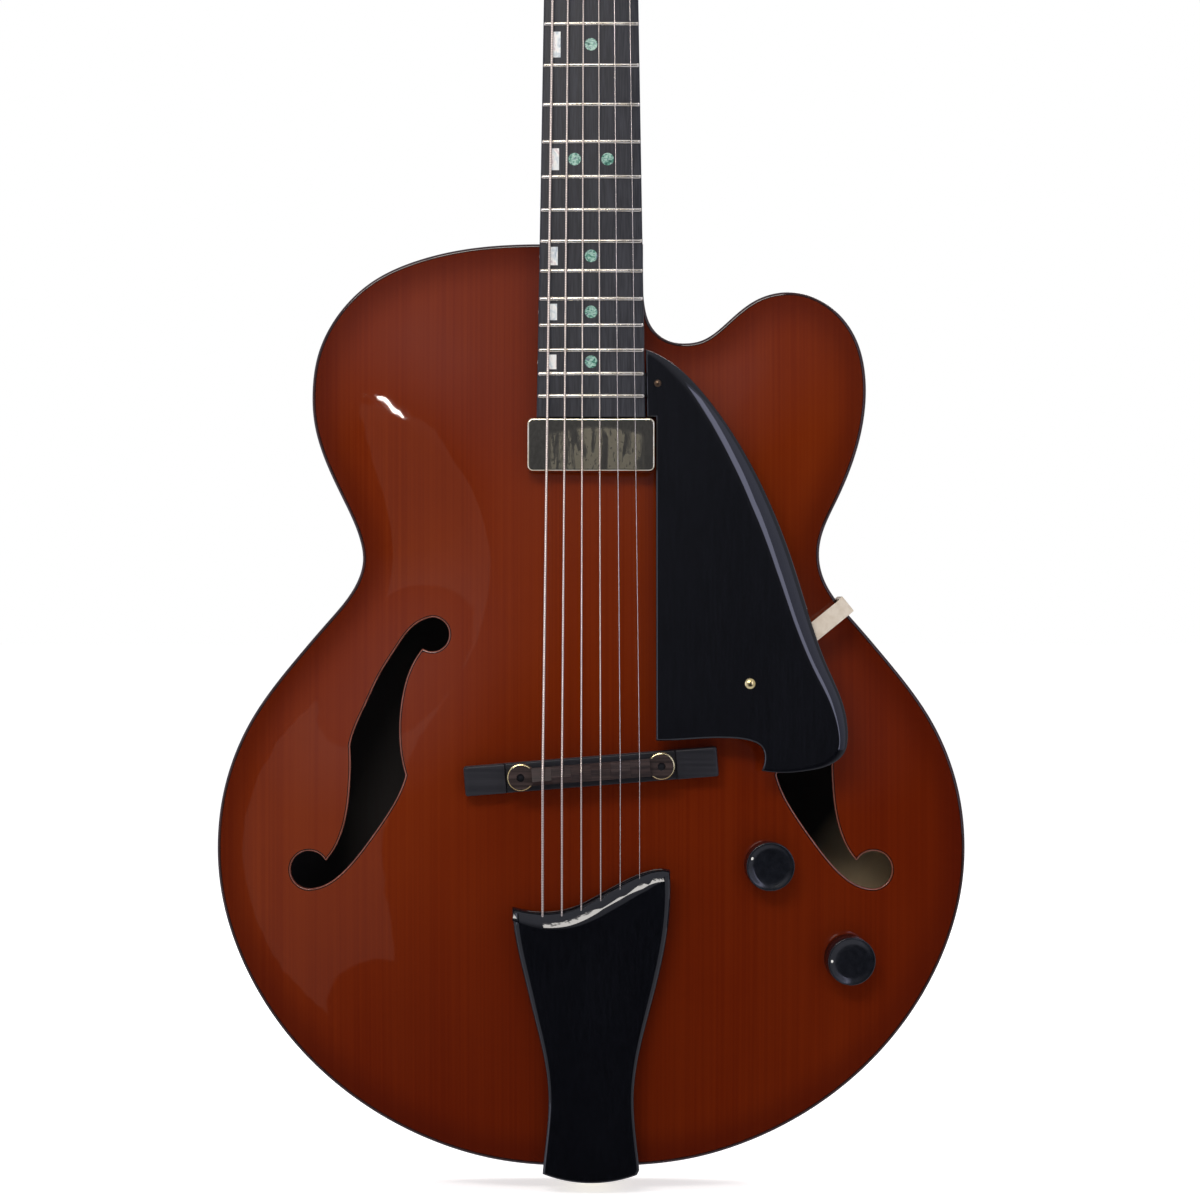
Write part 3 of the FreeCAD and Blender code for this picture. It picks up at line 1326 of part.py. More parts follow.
def pickguard():
    blank = prism(guard_wire(), GUARD_DROP, GUARD_BACK)
    outer = guard_point(GUARD_CURVE_SHARES[len(GUARD_CURVE_SHARES) // 2]) + V(0, GUARD_DROP, 0)
    edge = min(blank.Edges, key=lambda e: e.distToShape(Part.Vertex(outer))[0])
    blank = blank.makeFillet(GUARD_ROLL, [edge])
    return placed(without(blank, guard_shanks()), NECK)


def pickguard_block():
    place = on_neck(GUARD_SCREW_OFFSET, GUARD_SCREW_HEIGHT).z
    front = GUARD_BACK + SEAT_CLEARANCE
    half = GUARD_BLOCK_LENGTH / 2
    blank = box(V(TONGUE_WIDTH / 2, front, place - half),
                V(TONGUE_WIDTH / 2 + GUARD_BLOCK_REACH, front + GUARD_BLOCK_THICKNESS, place + half))
    return placed(without(blank, guard_shanks()), NECK)


def pickguard_bracket():
    """Arm under the finger rest, out over the edge, and a flange down the rim."""
    screw = on_neck(BRACKET_SCREW.x, BRACKET_SCREW.z)
    reach = BRACKET_REACH + CURVE_CLEARANCE + BRACKET_THICKNESS
    half = BRACKET_WIDTH / 2
    front = GUARD_BACK + SEAT_CLEARANCE
    back = front + BRACKET_THICKNESS
    arm = box(V(0, front, -half), V(reach, back, half))
    pad = rod(V(0, front, 0), V(0, back, 0), half)
    turn = FreeCAD.Rotation(ACROSS, BRACKET_OUTWARD)
    strip = placed(placed(fused([arm, pad]), FreeCAD.Placement(screw, turn)), NECK)
    strip = without(strip, [placed(hole, NECK) for hole in guard_shanks()])
    end = BRACKET_POINT + BRACKET_OUTWARD * CURVE_CLEARANCE
    level = NECK.multVec(on_neck(end.x, end.z) + V(0, front + BRACKET_THICKNESS / 2, 0)).y
    flange = box(V(0, level, -half), V(BRACKET_THICKNESS, -BRACKET_FLANGE_END, half))
    flange = placed(flange, FreeCAD.Placement(end, turn))
    return without(fused([strip, flange]), [flange_screw_hole()])


def pan_screw(head_radius):
    return fused([rod(ORIGIN, V(0, 0, GUARD_SCREW_HEAD_HEIGHT), head_radius),
                  rod(V(0, 0, -GUARD_SCREW_LENGTH), ORIGIN, GUARD_SCREW_RADIUS)])


def pickguard_screws():
    near, far = guard_screw_frames()
    seat = FreeCAD.Placement(V(0, 0, CURVE_CLEARANCE + BRACKET_THICKNESS), FreeCAD.Rotation())
    flange = bracket_flange_frame().multiply(seat)
    return [placed(placed(pan_screw(GUARD_SCREW_HEAD_RADIUS), near), NECK),
            placed(placed(pan_screw(BRACKET_SCREW_HEAD_RADIUS), far), NECK),
            placed(pan_screw(GUARD_SCREW_HEAD_RADIUS), flange)]


# Controls and wiring


CAN_TOP = -PLATE_THICKNESS - CURVE_CLEARANCE


def potentiometer(frame):
    """Can under the top and threaded bushing through it, hollow for the turning shaft."""
    can = rod(V(0, 0, CAN_TOP - CAN_HEIGHT), V(0, 0, CAN_TOP), CAN_RADIUS)
    bushing = rod(V(0, 0, CAN_TOP), V(0, 0, POT_BUSHING_RISE), POT_BUSHING_RADIUS)
    bore = rod(V(0, 0, CAN_TOP - CAN_HEIGHT + CAN_WALL), V(0, 0, OVERRUN), SHAFT_RADIUS + RUNNING_CLEARANCE)
    return placed(fused([can, bushing]).cut(bore), frame)


def control_nut(frame):
    ring = hex_prism(CONTROL_NUT_RADIUS, CONTROL_NUT_THICKNESS)
    bore = rod(V(0, 0, -OVERRUN), V(0, 0, OVERRUN), POT_BUSHING_RADIUS + RUNNING_CLEARANCE)
    ring = ring.cut(bore)
    ring.translate(V(0, 0, CURVE_CLEARANCE))
    return placed(ring, frame)


def control_shaft(frame):
    low = CAN_TOP - CAN_HEIGHT + CAN_WALL + CURVE_CLEARANCE
    high = KNOB_GAP + KNOB_HEIGHT - KNOB_DISH_DEPTH - KNOB_ROOF
    return placed(rod(V(0, 0, low), V(0, 0, high), SHAFT_RADIUS), frame)


def knob(frame):
    """Dished top with a rounded rim, hollow below to clear the nut."""
    top = KNOB_GAP + KNOB_HEIGHT
    blank = rod(V(0, 0, KNOB_GAP), V(0, 0, top), KNOB_RADIUS)
    rims = [edge for edge in blank.Edges if edge.isClosed() and edge.CenterOfMass.z > top - KNOB_GAP / 2]
    blank = blank.makeFillet(KNOB_EDGE_RADIUS, rims)
    dish = Part.makeSphere(KNOB_DISH_RADIUS, V(0, 0, top + KNOB_DISH_RADIUS - KNOB_DISH_DEPTH))
    recess = rod(ORIGIN, V(0, 0, KNOB_GAP + KNOB_RECESS_DEPTH), KNOB_RECESS_RADIUS)
    bore = rod(ORIGIN, V(0, 0, top - KNOB_DISH_DEPTH - KNOB_ROOF), SHAFT_RADIUS)
    return placed(without(blank, [dish, recess, bore]), frame)


def output_jack():
    inside = -RIM_THICKNESS - 2 * CURVE_CLEARANCE
    sleeve = rod(V(0, 0, -JACK_LENGTH_INSIDE), V(0, 0, JACK_LENGTH_OUTSIDE), JACK_SLEEVE_RADIUS)
    shoulder = rod(V(0, 0, inside - JACK_SHOULDER_LENGTH), V(0, 0, inside), JACK_SHOULDER_RADIUS)
    bore = rod(V(0, 0, -OVERRUN - JACK_LENGTH_INSIDE), V(0, 0, OVERRUN), JACK_BORE_RADIUS)
    return placed(fused([sleeve, shoulder]).cut(bore), JACK)


def control_nuts():
    return [control_nut(frame) for frame in (VOLUME, TONE, JACK)]


def can_side(frame, towards):
    """Point on a can's side, half way down, that faces another point."""
    middle = frame.multVec(V(0, 0, CAN_TOP - CAN_HEIGHT / 2))
    axis = frame.Rotation.multVec(UPWARD)
    run = towards - middle
    run = (run - axis * run.dot(axis)).normalize()
    return middle + run * (CAN_RADIUS + SEAT_CLEARANCE), run


def bend_radii(points):
    """One bend for all, or less where a run is short: 0.45 of it over the tangent of half the turn."""
    radii = []
    for before, corner, after in zip(points, points[1:], points[2:]):
        turn = (corner - before).getAngle(after - corner)
        shorter = min((corner - before).Length, (after - corner).Length)
        radii.append(min(LEAD_BEND, 0.45 * shorter / math.tan(turn / 2)))
    print("wire radii", [round(r, 1) for r in radii])
    return radii


def wire(points):
    return tube(rounded_path(points, bend_radii(points)), WIRE_RADIUS)


def pickup_lead():
    """From the pickup's treble end under the finger rest, through the top, to the volume control."""
    exit_x, exit_z = LEAD_EXIT_PLACE
    end = PICKUP_WIDTH / 2
    start = V(end + SEAT_CLEARANCE, PICKUP_BACK + PICKUP_PLATE_THICKNESS / 2, BOARD_END - PICKUP_LENGTH / 2)
    first = NECK.multVec(start)
    under = [NECK.multVec(start + V(LEAD_DEPTH, 0, 0))]
    for share in (1 / 3, 2 / 3):
        x = first.x + LEAD_DEPTH + (exit_x - first.x - LEAD_DEPTH) * share
        z = first.z - LEAD_DEPTH / 2 + (exit_z + LEAD_DEPTH / 2 - first.z) * share
        under.append(V(x, top_level(x, z) - LEAD_LIFT, z))
    level = top_level(exit_x, exit_z)
    above = V(exit_x, level - LEAD_LIFT, exit_z)
    below = V(exit_x, level + PLATE_THICKNESS + LEAD_DEPTH, exit_z)
    middle = VOLUME.multVec(V(0, 0, CAN_TOP - CAN_HEIGHT / 2))
    target, run = can_side(VOLUME, V(exit_x, middle.y, exit_z))
    return wire([first] + under + [above, below, target + run * LEAD_DEPTH, target])


def wiring():
    start, run = can_side(VOLUME, TONE.Base)
    end, back = can_side(TONE, VOLUME.Base)
    link = wire([start, start + run * LEAD_LIFT, end + back * LEAD_LIFT, end])
    lug = JACK.multVec(V(0, 0, -JACK_LENGTH_INSIDE - SEAT_CLEARANCE))
    lug += V(0, JACK_BORE_RADIUS + WIRE_RADIUS, 0)
    out, run = can_side(TONE, lug)
    to_jack = wire([out, out + run * LEAD_DEPTH, lug - JACK_OUTWARD * LEAD_DEPTH, lug])
    return [pickup_lead(), link, to_jack]


# Strings


def string_points(index):
    """Ball end, saddle crest, nut and the point where the string meets its post."""
    radius = STRING_RADII[index]
    lift = radius + STRING_CLEARANCE
    crest = saddle_crest(index)
    saddle = BRIDGE.multVec(V(crest.x, crest.y - lift, crest.z))
    x = spread(NUT_SPREAD)[index]
    nut_point = V(x, crown_drop(x) - FRET_HEIGHT - NUT_ACTION - lift, NUT_PLACE + NUT_THICKNESS / 2)
    leave = NECK.multVec(nut_point)
    touch, heading, side, axis = string_tangent(index, leave)
    return [TAIL.multVec(ball_place(index)), saddle, leave, HEAD.multVec(touch)]


def coil_radius(index):
    return POST_WAIST_RADIUS + 2 * STRING_CLEARANCE + STRING_RADII[index]


def string_tangent(index, leave):
    """Where a string meets its winding, and its heading there, in the headstock's frame."""
    start = HEAD.inverse().multVec(leave)
    place, side = post_place(index)
    axis = V(place.x, -VENEER_THICKNESS - COIL_HEIGHT, place.z)
    run = V(axis.x - start.x, 0, axis.z - start.z)
    swing = side * math.asin(coil_radius(index) / run.Length)
    heading = FreeCAD.Rotation(BACKWARD, -math.degrees(swing)).multVec(run).normalize()
    touch = V(start.x, axis.y, start.z) + heading * math.sqrt(run.Length ** 2 - coil_radius(index) ** 2)
    return touch, (touch - start).normalize(), side, axis


def biarc(start, leaving, end, arriving):
    """Two tangent arcs between two points with given headings."""
    chord = end - start
    total = leaving + arriving
    bend = 2 * (1 - leaving.dot(arriving))
    reach = (-chord.dot(total) + math.sqrt(chord.dot(total) ** 2 + bend * chord.dot(chord))) / bend
    joint = (start + end + (leaving - arriving) * reach) / 2
    return [arc_from(start, leaving, joint), arc_from(end, -arriving, joint)]


def string_coil(index):
    """The turns on the post, a quarter at a time, working down towards the headstock."""
    leave = string_points(index)[2]
    touch, heading, side, axis = string_tangent(index, leave)
    pitch = 2 * STRING_RADII[index] + COIL_GAP
    arm = touch - axis
    steps = int(COIL_TURNS * 4)
    edges = []
    samples = [touch]
    point, leaving = touch, heading
    for step in range(1, steps + 1):
        turn = FreeCAD.Rotation(BACKWARD, side * 90.0 * step)
        nextpoint = axis + turn.multVec(arm) + V(0, pitch * step / 4, 0)
        level = turn.multVec(V(heading.x, 0, heading.z)).normalize()
        arriving = (level * (2 * math.pi * arm.Length) + V(0, pitch, 0)).normalize()
        edges += biarc(point, leaving, nextpoint, arriving)
        samples.append(nextpoint)
        point, leaving = nextpoint, arriving
    gaps = [(b - a).Length - 2 * STRING_RADII[index] for a, b in zip(samples, samples[4:])]
    print("string", index + 1, "least gap between turns", round(min(gaps), 2))
    return [placed(edge, HEAD) for edge in edges]


def string_solid(index):
    points = string_points(index)
    runs = rounded_path(points, [STRING_BEND, STRING_BEND])
    wound = tube(runs + string_coil(index), STRING_RADII[index])
    return wound.fuse(Part.makeSphere(BALL_RADIUS, points[0]))


def strings():
    return [string_solid(index) for index in range(len(STRING_RADII))]


def all_nodes():
    nodes = {
        "top_plate": [top_plate()],
        "back_plate": [back_plate()],
        "rim_bass": [rim(-1)],
        "rim_treble": treble_rim(),
        "kerfed_linings": kerfed_linings(),
        "neck_block": [neck_block()],
        "tail_block": [tail_block()],
        "tone_bars": tone_bars(),
        "top_binding": [edge_binding(EDGE_FRONT, RIM_FRONT)],
        "back_binding": [edge_binding(RIM_BACK, EDGE_BACK)],
        "f_hole_bindings": f_hole_bindings(),
        "neck": [neck()],
        "headstock_veneer": [headstock_veneer()],
        "fingerboard": [fingerboard()],
        "frets": frets(),
        "nut": [nut()],
        "block_inlays": on_the_neck(BLOCK_INLAYS),
        "dot_inlays": on_the_neck(DOT_INLAYS),
        "side_dots": on_the_neck(SIDE_DOTS),
        "truss_rod": truss_rod(),
        "truss_rod_cover": [truss_rod_cover()],
        "wood_screws": wood_screws(),
        "tuner_housings": tuner_housings(),
        "tuner_bushings": tuner_bushings(),
        "bridge_base": [bridge_base()],
        "bridge_posts": bridge_posts(),
        "thumbwheel_bass": [thumbwheel(-1)],
        "thumbwheel_treble": [thumbwheel(1)],
        "bridge_saddle": [bridge_saddle()],
        "tailpiece": [tailpiece()],
        "tailpiece_bracket": [tailpiece_bracket()],
        "strap_buttons": strap_buttons(),
        "pickup_cover": [pickup_cover()],
        "pickup_core": [pickup_core()],
        "pickup_mount": [pickup_mount()],
        "pickguard": [pickguard()],
        "pickguard_block": [pickguard_block()],
        "pickguard_bracket": [pickguard_bracket()],
        "pickguard_screws": pickguard_screws(),
        "potentiometers": [potentiometer(VOLUME), potentiometer(TONE)],
        "control_nuts": control_nuts(),
        "volume_shaft": [control_shaft(VOLUME)],
        "tone_shaft": [control_shaft(TONE)],
        "volume_knob": [knob(VOLUME)],
        "tone_knob": [knob(TONE)],
        "output_jack": [output_jack()],
        "wiring": wiring(),
        "strings": strings(),
    }
    for index in range(2 * TUNERS_PER_SIDE):
        nodes["tuner_post_%d" % (index + 1)] = [tuner_post(index)]
        nodes["tuner_button_%d" % (index + 1)] = tuner_button(index)
    return nodes


def main():
    os.makedirs("parts", exist_ok=True)
    for name, solids in all_nodes().items():
        whole = Part.makeCompound([solid for shape in solids for solid in shape.Solids])
        box_size = whole.BoundBox
        print(name, len(whole.Solids), "solids", round(whole.Volume), "mm3", "valid", whole.isValid(),
              "x", round(box_size.XMin, 1), round(box_size.XMax, 1), "y", round(box_size.YMin, 1),
              round(box_size.YMax, 1), "z", round(box_size.ZMin, 1), round(box_size.ZMax, 1))
        whole.exportStep(os.path.join("parts", name + ".step"))


main()
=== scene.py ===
import math

import bmesh
import bpy
import numpy as np
from mathutils import Matrix, Vector
from mathutils.geometry import delaunay_2d_cdt


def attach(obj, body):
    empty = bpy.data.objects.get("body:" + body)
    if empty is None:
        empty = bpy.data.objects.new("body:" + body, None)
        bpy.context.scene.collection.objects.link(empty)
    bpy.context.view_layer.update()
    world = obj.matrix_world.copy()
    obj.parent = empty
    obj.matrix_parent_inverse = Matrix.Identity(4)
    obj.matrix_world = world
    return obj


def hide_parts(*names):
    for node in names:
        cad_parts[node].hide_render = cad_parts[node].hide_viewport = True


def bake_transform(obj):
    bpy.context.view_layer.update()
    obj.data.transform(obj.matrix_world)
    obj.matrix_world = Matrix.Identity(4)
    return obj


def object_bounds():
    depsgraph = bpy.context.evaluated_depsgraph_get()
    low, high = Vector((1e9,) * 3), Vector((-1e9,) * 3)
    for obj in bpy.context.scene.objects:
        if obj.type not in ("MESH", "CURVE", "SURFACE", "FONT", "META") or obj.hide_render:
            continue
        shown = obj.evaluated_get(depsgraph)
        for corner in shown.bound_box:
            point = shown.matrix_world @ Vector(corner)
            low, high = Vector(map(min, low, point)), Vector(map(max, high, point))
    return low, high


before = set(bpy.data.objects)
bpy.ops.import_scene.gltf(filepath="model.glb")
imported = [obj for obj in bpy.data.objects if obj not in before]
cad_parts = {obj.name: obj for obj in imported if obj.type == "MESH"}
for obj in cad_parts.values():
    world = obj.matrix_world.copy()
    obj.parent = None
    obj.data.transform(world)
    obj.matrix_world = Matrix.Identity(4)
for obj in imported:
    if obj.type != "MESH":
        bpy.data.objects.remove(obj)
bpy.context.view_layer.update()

# Archtop guitar in a white studio. Lengths are millimetres until a mesh is made, which turns them to metres.
# Frame: X to the treble side, Y to the back, Z up the neck, from the end pin at the tail.
MM = 0.001

# Body, with depths from the middle of the rim
BODY_LENGTH = 490.0
HALF_BOUT = 198.5
EDGE = 30.5
RIM = 26.0
TOP_ARCH = 14.0
BACK_ARCH = 11.0
PLATE = 4.5
RIM_WALL = 2.5
BINDING = 1.8
BINDING_ROUND = 1.5
GRID_STEP = 4.0
OUTLINE_STEP = 2.0
ARCH_STEP = 5.0
CROWN_PROBES = 41
SLOPE_STEP = 0.6

# Outline from tail to waist and on to the neck, as shares of the half width and of the body's length
LOWER_BOUT = (
    (0.250, 0.007), (0.433, 0.029), (0.626, 0.072), (0.801, 0.137), (0.935, 0.224), (0.995, 0.310),
    (1.0, 0.353), (0.989, 0.397), (0.911, 0.4835), (0.794, 0.5485), (0.702, 0.592), (0.625, 0.635),
    (0.611, 0.657))
BASS_SHOULDER = (
    (0.618, 0.678), (0.663, 0.722), (0.742, 0.808), (0.746, 0.840), (0.730, 0.882), (0.682, 0.921),
    (0.584, 0.960), (0.471, 0.9815), (0.311, 0.996), (0.139, 1.0))
CUTAWAY = (
    (0.614, 0.678), (0.658, 0.722), (0.729, 0.808), (0.735, 0.852), (0.705, 0.901), (0.656, 0.927),
    (0.565, 0.9465), (0.532, 0.948), (0.447, 0.9405), (0.361, 0.914), (0.2925, 0.895), (0.250, 0.8925),
    (0.2115, 0.895), (0.166, 0.908), (0.143, 0.934), (0.139, 0.952))

# F-holes: edges as shares of their length, turns of the eyes in degrees, the trim's round as width and depth
F_LENGTH = 143.8
F_MIDDLE = (-116.8, 220.3)
F_EYE = (0.227, 0.434)
F_UPPER_RADIUS = 9.0
F_LOWER_RADIUS = 10.0
F_UPPER_TURN = (237, 450)
F_LOWER_TURN = (31, 270)
F_STEP = 1.6
F_LEAST = 0.3
F_TRIM = 1.2
F_LINE = 0.75
F_PROUD = 0.02
F_ROUND = ((0.45, 0.04), (0.2, 0.2), (0.06, 0.45), (0.0, 0.9))
F_OUTER_UPPER = (
    (0.155, 0.4625), (0.091, 0.379), (0.036, 0.291), (-0.020, 0.172), (-0.056, 0.092), (-0.076, 0.024))
F_OUTER_LOWER = (
    (-0.076, 0.024), (-0.073, -0.044), (-0.076, -0.123), (-0.084, -0.203), (-0.104, -0.291), (-0.132, -0.355),
    (-0.164, -0.3985))
F_INNER_LOWER = (
    (-0.164, -0.486), (-0.084, -0.422), (-0.0045, -0.323), (0.067, -0.219), (0.107, -0.147), (0.130, -0.083))
F_INNER_UPPER = (
    (0.130, -0.083), (0.116, -0.028), (0.107, 0.044), (0.107, 0.124), (0.119, 0.219), (0.139, 0.291),
    (0.171, 0.355), (0.189, 0.380))

# Neck, headstock and tuners, with angles in degrees
SCALE = 628.0
FRETS = 20
JOIN_FRET = 14
OCTAVE = 12
NECK_ANGLE = 3.5
BOARD_RISE = 16.5
BOARD_THICKNESS = 6.0
BOARD_RADIUS = 305.0
BOARD_OVERHANG = 11.0
BOARD_ROUND = 1.1
BOARD_SETBACK = 0.03
BOARD_ROWS = 24
BOARD_TURN = 80
NUT_WIDTH = 43.0
NUT_THICKNESS = 5.5
LAST_WIDTH = 57.0
FRET_WIDTH = 2.3
FRET_HEIGHT = 1.1
FRET_SETBACK = 1.4
MARKERS = (3, 5, 7, 9, 12, 15, 17, 19)
BLOCK_WIDTH = 4.6
BLOCK_SHARE = 0.62
DOT_RADIUS = 3.3
DOUBLE_DOT = 17.4
DOT_STEP = 10
INLAY_PROUD = 0.04
INLAY_DEPTH = 0.9
HEAD_ANGLE = 14.0
HEAD_DROP = 3.0
HEAD_BACK = 16.5
VENEER = 1.5
ROD_COVER = 2.0
ROD_COVER_SCREWS = (3.25, 38.5)
TUNERS = 6
TUNER_FIRST = 42.0
TUNER_SPACING = 40.0
TUNER_OFFSET = 23.0
TUNER_SPREAD = 2.5
TUNER_SCREW_DROP = 12.0
BUTTON_START = 20.0
POST_WAIST = 2.6

# Strings, low to high
STRING_RADII = (0.66, 0.53, 0.41, 0.31, 0.21, 0.16)
WOUND = 4
WRAP_PITCH = 0.9
BRIDGE_SPREAD = 51.0
NUT_SPREAD = 35.5
BRIDGE_ACTION = 3.2
NUT_ACTION = 0.4
STRING_GAP = 0.06
COIL_HEIGHT = 8.5
COIL_TURNS = 2.5
COIL_GAP = 0.5

# Tailpiece, its outline as shares of its half width and length, its bevel's sizes spread along each edge
TAIL_LENGTH = 167.7
TAIL_WIDTH = 82.6
TAIL_OVERHANG = 6.3
TAIL_THICKNESS = 9.0
TAIL_LEVEL = -34.0
TAIL_ANGLE = 7.2
TAIL_SCREWS = (22.0, 38.0)
TAIL_SCREW_LEVEL = 2.05
TAIL_FRONT_STEP = 1.5
TAIL_SIDE_STEP = 2.0
TAIL_FOOT_POINTS = 40
BALL_SETBACK = 13.0
TAIL_FRONT = (
    (-1.0, 0.878), (-0.792, 0.867), (-0.501, 0.864), (-0.208, 0.880), (0.085, 0.916), (0.378, 0.956),
    (0.671, 0.989), (0.877, 1.0), (1.0, 0.996))
TAIL_SIDE = (
    (0.988, 0.840), (0.877, 0.680), (0.729, 0.535), (0.598, 0.397), (0.545, 0.281), (0.569, 0.158),
    (0.620, 0.030))
TAIL_BASS_TOP = ((0.954, 0.775), (0.850, 0.659))
TAIL_FRONT_WIDTHS = (5.0, 7.6, 9.0, 9.6, 9.4, 8.4, 5.0)
TAIL_FRONT_DROPS = (4.3, 6.3, 7.2, 7.6, 7.4, 6.8, 4.3)
TAIL_SIDE_BEVEL = (3.0, 2.6, 1.6, 1.2)
TAIL_FOOT_BEVEL = (0.8, 0.8)

# Pickup and finger rest, the rest's outline as shares of its width and length
PICKUP_WIDTH = 67.0
PICKUP_LENGTH = 28.0
PICKUP_HEIGHT = 9.0
PICKUP_DROP = 0.5
PICKUP_GAP = 0.6
PICKUP_CORNER = 3.0
PICKUP_EDGE = 0.95
PICKUP_FOOT = 0.3
GUARD_WIDTH = 105.8
GUARD_LENGTH = 222.6
GUARD_TIP = 432.8
GUARD_THICKNESS = 5.0
GUARD_DROP = 1.5
GUARD_GAP = 0.6
GUARD_EASE = 0.9
GUARD_CURVE_STEP = 2.0
GUARD_NOTCH_STEP = 1.5
GUARD_CURVE = (
    (0.148, 0.963), (0.297, 0.892), (0.520, 0.733), (0.729, 0.499), (0.906, 0.244), (0.974, 0.166),
    (1.0, 0.095), (0.981, 0.046), (0.922, 0.021), (0.802, 0.005), (0.669, 0.0), (0.573, 0.005))
GUARD_NOTCH = (
    (0.573, 0.005), (0.587, 0.0315), (0.573, 0.060), (0.521, 0.074), (0.416, 0.081), (0.267, 0.080))
GUARD_FOOT = 0.0756
GUARD_SMALL_SCREW = (35.1, 414.9)
GUARD_GOLD_SCREW = (83.319, 257.06)
BRACKET_SCREW = (132.981, -18.0, 297.43)
BRACKET_AIM = (0.776, 0.0, 0.6308)
BRACKET_THICKNESS = 2.7
SCREW_RADIUS = 2.0
GOLD_SCREW_RADIUS = 3.0
WOOD_SCREW_RADIUS = 2.2

# Width of the rest's rolled edge at shares of the way along its curve, and its fall as a share of that width
REST_WIDTHS = (
    (0.0, 2.0), (0.06, 5.5), (0.17, 8.4), (0.27, 10.6), (0.36, 11.8), (0.48, 11.6), (0.58, 10.4), (0.68, 8.6),
    (0.76, 7.0), (0.82, 5.0), (0.9, 2.2), (1.0, 1.2))
REST_FALL = 0.325

# Rolled edges, as shares of their width and drop from the outer edge inwards, and the flat inside them
FLAT_MARGIN = 0.3
REST_ROLL = (
    (0.0, 1.0), (0.015, 0.90), (0.04, 0.81), (0.1, 0.698), (0.2, 0.581), (0.4, 0.393), (0.6, 0.229),
    (0.78, 0.098), (0.86, 0.0464), (0.93, 0.0127), (1.0, 0.0))
TAIL_ROLL = (
    (0.0, 1.0), (0.03, 0.88), (0.08, 0.777), (0.2, 0.606), (0.4, 0.403), (0.6, 0.243), (0.8, 0.111),
    (0.97, 0.012), (1.0, 0.0))

# Bridge
BRIDGE_SKEW = 4.6
BASE_LENGTH = 133.5
BASE_WIDTH = 15.5
BASE_HEIGHT = 7.0
BASE_EDGE = 0.9
BASE_END = 1.2
BASE_END_EASE = 1.0
BASE_END_STATIONS = (0.0, 0.35, 1.2)
BASE_CLEAR = 3.0
WING_CLEAR = 1.2
SOLE_GAP = 0.03
WING_HEIGHT = 9.5
WING_LENGTH = 22.0
SHOULDER_START = 0.1
SHOULDER_RUN = 0.7
POST_SPACING = 74.0
WHEEL_RADIUS = 7.4
WHEEL_THICKNESS = 3.2
WHEEL_FOOT = 9.35
WHEEL_TEETH = 44
WHEEL_ROUND = 0.9
TOOTH_SHARE = 0.045
TOOTH_POINTS = 4.0
SADDLE_WIDTH = 9.0
CREST_SHARES = (-0.27, -0.10, 0.05, 0.17, -0.05, 0.10)

# Knobs: radius and depth under the top, then radius and height over the foot, and turns in degrees
KNOB_HEIGHT = 13.0
KNOB_GAP = 1.0
KNOB_TOP = (
    (0.0, 1.0), (6.0, 0.99), (8.6, 0.95), (9.5, 0.82), (10.3, 0.6), (11.2, 0.33), (11.9, 0.15), (12.3, 0.1),
    (12.55, 0.2), (12.72, 0.5), (12.8, 1.0), (12.8, 5.0))
KNOB_FOOT = ((12.7, 0.6), (12.3, 0.0), (9.6, 0.0), (9.4, 0.4), (9.4, 5.3), (0.0, 5.3))
KNOB_DOT = ((0.0, 0.16), (0.5, 0.14), (0.78, 0.05), (0.85, -0.3), (0.0, -0.3))
KNOB_DOT_PLACE = 10.8
KNOB_DOT_DEPTH = 0.46
VOLUME = (93.2, -42.265, 161.1)
VOLUME_AXIS = (0.077397, -0.996917, -0.01289)
VOLUME_DOT = 156.0
TONE = (135.6, -34.956, 111.6)
TONE_AXIS = (0.130354, -0.988278, -0.079462)
TONE_DOT = 178.0

# Points along straight runs and round turns, and rows of points
ACROSS_POINTS = 24
CORNER_POINTS = 12
EYE_POINTS = 30
ROLL_POINTS = 8
EASE_POINTS = 5
BOARD_POINTS = 9
PICKUP_POINTS = 9
GUARD_POINTS = (40, 4, 12)
BASE_POINTS = 5
WING_ROWS = 8
SHOULDER_ROWS = 9
MIDDLE_ROWS = 14
KNOB_POINTS = 96
KNOB_DOT_POINTS = 24
TAIL_POINTS = 12
LENGTH_POINTS = 60
HEAD_POINTS = 8
COIL_POINTS = 70

# Filling and drawing in of outlines: row height and clearance as shares of the grid, limits of a mitre
GRID_ROW = 0.866
GRID_CLEAR = 0.6
CUT_TOLERANCE = 1e-7
MITRE_LEAST = 0.2
MITRE_TURN = 0.25

# Edges of the solids' copies: points that are one, and the angles in degrees of flats, eased and sharp edges
SAME_POINT = 0.001
FLAT_EASED = 1.0
FLAT_KEPT = 0.2
EASED_ANGLE = 30.0
SHARP_ANGLE = 42.0

# Relief of the finishes, and the places where the edge stain, the painted shade on the top, the painted
# light inside the body and scuffs begin and end
SUNK_DEPTH = 0.09
PORE_DEPTH = 0.04
FUZZ_DEPTH = 0.08
SKIN_DEPTH = 0.02
WRAP_DEPTH = 0.12
# Painted shade on the top, towards the tail and the treble side
SHADE_LEAN = -0.7
SHADE_FROM = 40.0
SHADE_TO = 330.0
STAIN_EDGE = 17.0
SEAM_FALL = 0.22
# Painted pool of light inside the body, on the treble side at the tail
LIT_PATCH_LEAN = -0.8
LIT_PATCH_FROM = -18.0
LIT_PATCH_TO = 28.0
SCUFF_MIDDLE = 2.5
SCUFF_HALF = 22.0
SCUFF_FADE = 26.0
SCUFF_ARC = 6.0
SCUFF_FULL = 390.5
SCUFF_NONE = 392.5


# Finishes

def linear(code):
    """An sRGB hex colour as linear values."""
    parts = [int(code[i:i + 2], 16) / 255 for i in (1, 3, 5)]
    return tuple(v / 12.92 if v <= 0.04045 else ((v + 0.055) / 1.055) ** 2.4 for v in parts) + (1.0,)


